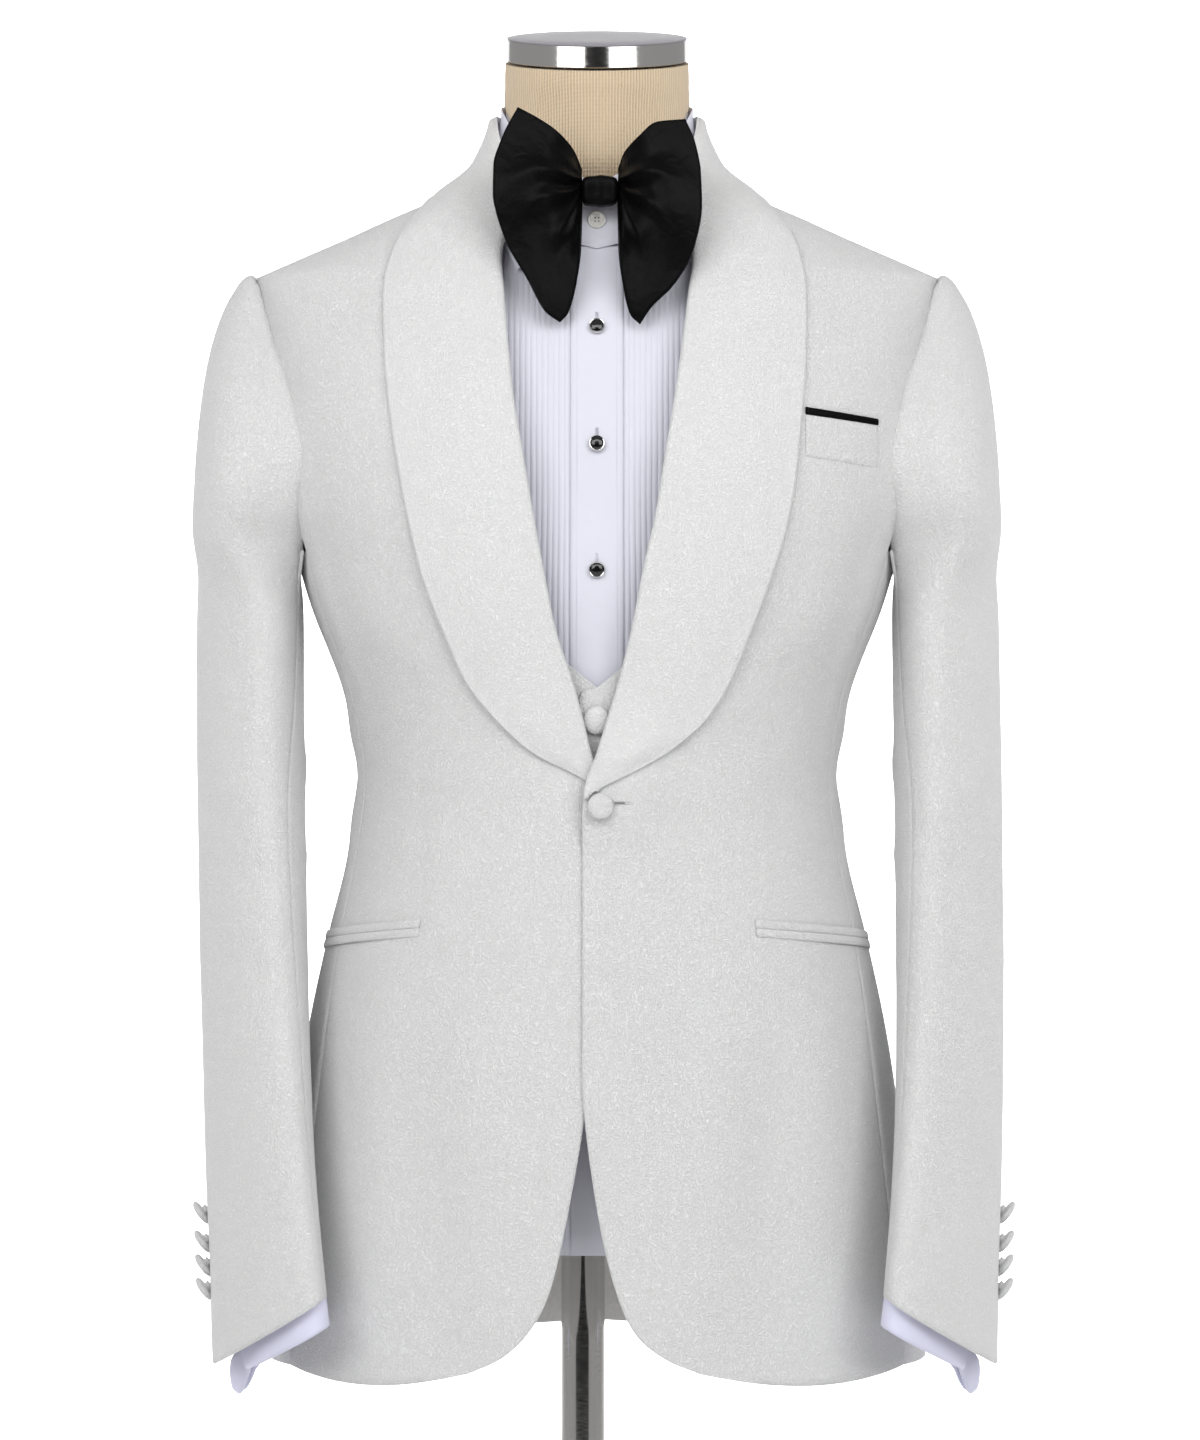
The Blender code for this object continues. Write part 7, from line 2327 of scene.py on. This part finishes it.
@dataclass
class BowTie:
    """A large butterfly bow of black satin: two gathered, puffed wings, a wrapped knot and its strap."""

    knot_half: tuple[float, float, float] = (0.0108, 0.0082, 0.0094)
    knot_radius: float = 0.01
    knot_height: float = 1.4965
    strap_out: float = 0.0044
    strap_half: float = 0.005
    strap_front: float = 1.4935
    puff: float = 0.022
    lean: float = 0.10
    sag: float = 0.004
    # where across the wing each long fold starts, its width as a share of the wing, and its rise
    folds: tuple[tuple[float, float, float], ...] = (
        (0.30, 0.055, 0.0040), (0.52, 0.05, 0.0034), (0.72, 0.06, 0.0030)
    )
    cloth: float = 0.0012
    strap_cloth: float = 0.001
    belly: float = 0.0042

    def knot_y(self) -> float:
        """Where the knot's middle lies in front of the neck."""
        return float(FORM.point(1, 0.0, self.knot_height, self.strap_out + 0.0003)[1]) - self.knot_half[1]

    def wing_layer(self, side: int, front: bool) -> np.ndarray:
        """One layer of a wing, gathered at the knot and spread towards its two tips."""
        key = "right" if side > 0 else "left"
        edges = []
        for table in (WING_TOP, WING_OUTER, WING_BOTTOM):
            across = line_of(table, "along", f"{key}_across")
            height = line_of(table, "along", f"{key}_height")
            edges.append(lambda place, a=across, h=height: np.stack([a(place), h(place)], -1))
        top, outer, bottom = edges
        u, v = np.meshgrid(spread(61), spread(81), indexing="ij")
        sides = (1 - u)[..., None] * mix(bottom(0.0), top(0.0), v[..., None]) + u[..., None] * outer(v)
        ends = (1 - v)[..., None] * bottom(u) + v[..., None] * top(u)
        corners = (1 - u)[..., None] * mix(bottom(0.0), top(0.0), v[..., None])
        corners = corners + u[..., None] * mix(bottom(1.0), top(1.0), v[..., None])
        flat = sides + ends - corners
        across, height = flat[..., 0], flat[..., 1]
        shift = 0.35 if side > 0 else -0.2
        puff = self.puff * step(u, -0.05, 0.55)
        tip = self.lean * u * (self.knot_height - height)
        gather = (1 - u) ** 1.3 * step(u, -0.02, 0.10)
        pleat = 0.0026 * gather * np.cos(5 * math.pi * v + shift)
        # the long folds fan out from the knot
        for middle, width, rise in self.folds:
            way = middle + (middle - 0.5) * 0.25 * u + 0.04 * np.sin(4.0 * u + shift)
            pleat += rise * hump(u, 0.02, 0.18, 0.35, 0.85) * np.exp(-(((v - way) / width) ** 2))
        pleat += 0.0010 * gather * np.cos(11 * math.pi * v - 2 * shift)
        inside = np.sin(math.pi * v)
        soft = 0.0016 * np.sin(2.2 * math.pi * u + 4.2 * v + shift) * inside * u
        soft += 0.0022 * np.cos(3.0 * math.pi * (v - 0.25 * u) + 1.7 + shift) * step(u, 0.2, 0.5) * inside
        sag = self.sag * inside * u
        # the two layers part inside the wing and meet at its edges
        belly = self.belly * np.maximum(inside, 0.0) ** 0.7 * np.sin(math.pi * u * 0.93) ** 0.6
        belly = belly + self.cloth * 0.55
        y = self.knot_y() - puff - tip - sag
        if front:
            y = y - pleat - soft - belly
        else:
            y = y - pleat * 0.5 - soft * 0.4 + belly * 0.7
        return np.stack([BOW_X + side * across, y, height], -1)

    def wing(self, side: Side, finishes: Finishes) -> tuple[Piece, np.ndarray]:
        """One wing: a puffed pouch of two layers that meet in a soft rolled edge."""
        s = side.value
        front, back = self.wing_layer(s, True), self.wing_layer(s, False)
        mesh = Mesher()
        rows, columns = front.shape[:2]
        u, v = lengths(front)
        flat = np.stack([u, v], -1)
        numbers = np.arange(rows * columns).reshape(rows, columns)
        first, last = numbers + mesh.add(front, flat), numbers + mesh.add(back, flat)
        mesh.quads(first, 0, False, s < 0)
        mesh.quads(last, 0, False, s > 0)
        ring = np.concatenate([numbers[0, :-1], numbers[:-1, -1], numbers[-1, :0:-1], numbers[:0:-1, 0]])
        edge = (front.reshape(-1, 3)[ring] + back.reshape(-1, 3)[ring]) / 2
        middle = front.reshape(-1, 3).mean(axis=0)
        way = edge - middle
        way[:, 1] = 0
        rim = np.arange(len(ring)) + mesh.add(edge + unit(way) * 0.0008, flat.reshape(-1, 2)[ring])
        around = np.stack([ring + first[0, 0], rim, ring + last[0, 0]])
        mesh.quads(around, 0, True, s > 0)
        made = mesh.build(f"bow_wing_cloth_{side.label}", [finishes.satin], 80.0)
        return Piece(made, "black_satin", (f"bow_wing_{side.label}",)), front

    def knot(self, finishes: Finishes) -> Piece:
        """The knot: satin wrapped round the gathers, with soft folds across it."""
        centre = np.array([BOW_X, self.knot_y(), self.knot_height])
        tilt = 0.46 * math.pi
        level, angle = np.meshgrid(spread(41, -tilt, tilt), circle(72), indexing="ij")
        ways = np.stack([np.cos(level) * np.cos(angle), np.cos(level) * np.sin(angle), np.sin(level)], -1)
        swell = (np.abs(ways) ** 5.0).sum(axis=-1) ** (-1 / 5.0)
        x, y, z = np.moveaxis(ways, -1, 0)
        # the folds leave out the line at the knot's side where y is nought
        folds = 1 + 0.035 * np.sin(x * 7 + 1.2) * (np.abs(y) > 0) + 0.02 * np.sin(z * 5)
        points = centre + (swell * folds)[..., None] * ways * np.array(self.knot_half)
        mesh = Mesher()
        mesh.body(points, 0, np.stack([angle, level], -1) * self.knot_radius)
        return Piece(mesh.build("knot_cloth", [finishes.satin], 70.0), "black_satin", ("bow_knot",))

    def strap(self, finishes: Finishes) -> tuple[Piece, np.ndarray]:
        """The strap round the neck, under the collar's leaf."""
        middle = Line([0.0, 0.25, 0.5, 1.0], [self.strap_front, 1.5060, 1.5260, 1.5320])
        turns = turns_round(96)
        t, offset = np.meshgrid(turns, spread(5, -self.strap_half, self.strap_half))
        z = middle(np.minimum(t, 2 - t)) + offset
        grid = FORM.point(1, t, z, self.strap_out)
        names = ("strap_cloth", "black_satin", "bow_strap")
        return cloth_piece(names, grid, self.strap_cloth, FORM.normal(1, t, z), [finishes.satin], ring=True)

    def build(self, finishes: Finishes) -> list[Piece]:
        """Every part of the bow tie."""
        for side in Side:
            piece, grid = self.wing(side, finishes)
            declare_sheet(piece.settle(), grid)
        piece, grid = self.strap(finishes)
        declare_sheet(piece.settle(), grid)
        return [self.knot(finishes)]


# ---- the studio ----------------------------------------------------------------------------------


@dataclass
class Studio:
    """A pale floor and backdrop, large soft lights and the camera."""

    eye: tuple[float, float, float] = (0.0107, -3.6, 1.17)
    lens: float = 142.9
    room: float = 6.0
    backdrop: float = 9.0
    bend: float = 1.2
    card_y: float = -4.6
    card_across: tuple[float, float] = (-3.6, 2.7)
    card_heights: tuple[float, float] = (0.005, 2.6)
    fill: float = 0.37

    def floor(self) -> bpy.types.Object:
        """The floor, curving up into the backdrop."""
        far, bend = self.backdrop, self.bend
        profile = [(-far, 0.0), (far, 0.0)]
        for k in range(1, 13):
            swing = math.pi / 2 * k / 12
            profile.append((far + bend * math.sin(swing), bend - bend * math.cos(swing)))
        profile.append((far + bend, 7.0))
        points = [(x, y, z) for y, z in profile for x in (-self.room, self.room)]
        faces = [(2 * k, 2 * k + 1, 2 * k + 3, 2 * k + 2) for k in range(len(profile) - 1)]
        mesh = bpy.data.meshes.new("floor")
        mesh.from_pydata(points, [], faces)
        mesh.shade_smooth()
        s = Surface("paper_floor")
        grain = s.noise(s.place(), 60.0, 2.0)
        s.put("Base Color", s.mixed(grain, (0.88, 0.88, 0.88), (0.92, 0.92, 0.92)))
        s.put("Roughness", grain.ramp(0.3, 0.7, 0.85, 0.95))
        mesh.materials.append(s.material)
        return in_scene("floor", mesh)

    def dark_card(self) -> bpy.types.Object:
        """A black card behind the camera, which the polished steel mirrors as a dark band."""
        mesh = bpy.data.meshes.new("dark_card")
        (left, right), (low, high) = self.card_across, self.card_heights
        corners = [(x, self.card_y, z) for x, z in ((left, low), (right, low), (right, high), (left, high))]
        mesh.from_pydata(corners, [], [(0, 1, 2, 3)])
        mesh.materials.append(Smooth("black_card", (0.004, 0.004, 0.004), 0.9).make())
        return in_scene("dark_card", mesh)

    def light(
        self,
        name: str,
        at: tuple[float, float, float],
        aim: tuple[float, float, float],
        size: tuple[float, float],
        power: float,
        mirrored: bool = True,
    ) -> None:
        """A rectangular soft light, which the steel mirrors or not."""
        data = bpy.data.lights.new(name, "AREA")
        data.shape = "RECTANGLE"
        data.size, data.size_y = size
        data.energy = power
        made = in_scene(name, data)
        made.location = at
        made.visible_glossy = mirrored
        made.rotation_euler = (Vector(aim) - Vector(at)).to_track_quat("-Z", "Y").to_euler()

    def camera(self) -> None:
        """The camera, level, at the height of the chest."""
        data = bpy.data.cameras.new("camera")
        data.sensor_width = 36.0
        data.lens = self.lens
        data.clip_end = 50.0
        made = in_scene("camera", data)
        made.matrix_world = Matrix.Translation(self.eye) @ Matrix.Rotation(math.pi / 2, 4, "X")
        bpy.context.scene.camera = made

    def build(self) -> None:
        """Puts everything in place."""
        self.floor()
        self.dark_card()
        world = bpy.data.worlds.new("studio")
        world.use_nodes = True
        world.node_tree.nodes["Background"].inputs["Color"].default_value = (1.0, 1.0, 1.0, 1.0)
        world.node_tree.nodes["Background"].inputs["Strength"].default_value = self.fill
        bpy.context.scene.world = world
        chest = (0.0, 0.0, 1.15)
        self.light("left_box", (-1.62, -2.5, 2.5), chest, (2.0, 2.0), 44.5)
        self.light("right_box", (1.62, -2.5, 2.5), chest, (2.0, 2.0), 44.5)
        self.light("top_front", (0.0, -2.3, 3.0), (0.0, 0.0, 1.25), (1.4, 0.8), 12.0)
        self.light("back_wall", (0.0, 6.6, 4.2), (0.0, 9.6, 0.6), (5.0, 1.6), 620.0)
        self.light("left_rim", (-2.2, 1.0, 1.1), (0.0, 0.0, 1.0), (0.8, 2.2), 17.0, False)
        self.light("right_rim", (2.2, 1.0, 1.1), (0.0, 0.0, 1.0), (0.8, 2.2), 20.0, False)
        bpy.context.scene.view_settings.view_transform = "Standard"
        self.camera()


def main() -> None:
    """Builds every piece and lets it ride on the frame."""
    logging.basicConfig(level=logging.INFO, format="%(message)s")
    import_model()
    finishes = Finishes()
    for part in (DressForm(), Shirt(), Waistcoat(), Jacket(), BowTie()):
        for piece in part.build(finishes):
            piece.settle()
        LOG.info("%s done", type(part).__name__)
    Studio().build()


if __name__ == "__main__":
    main()
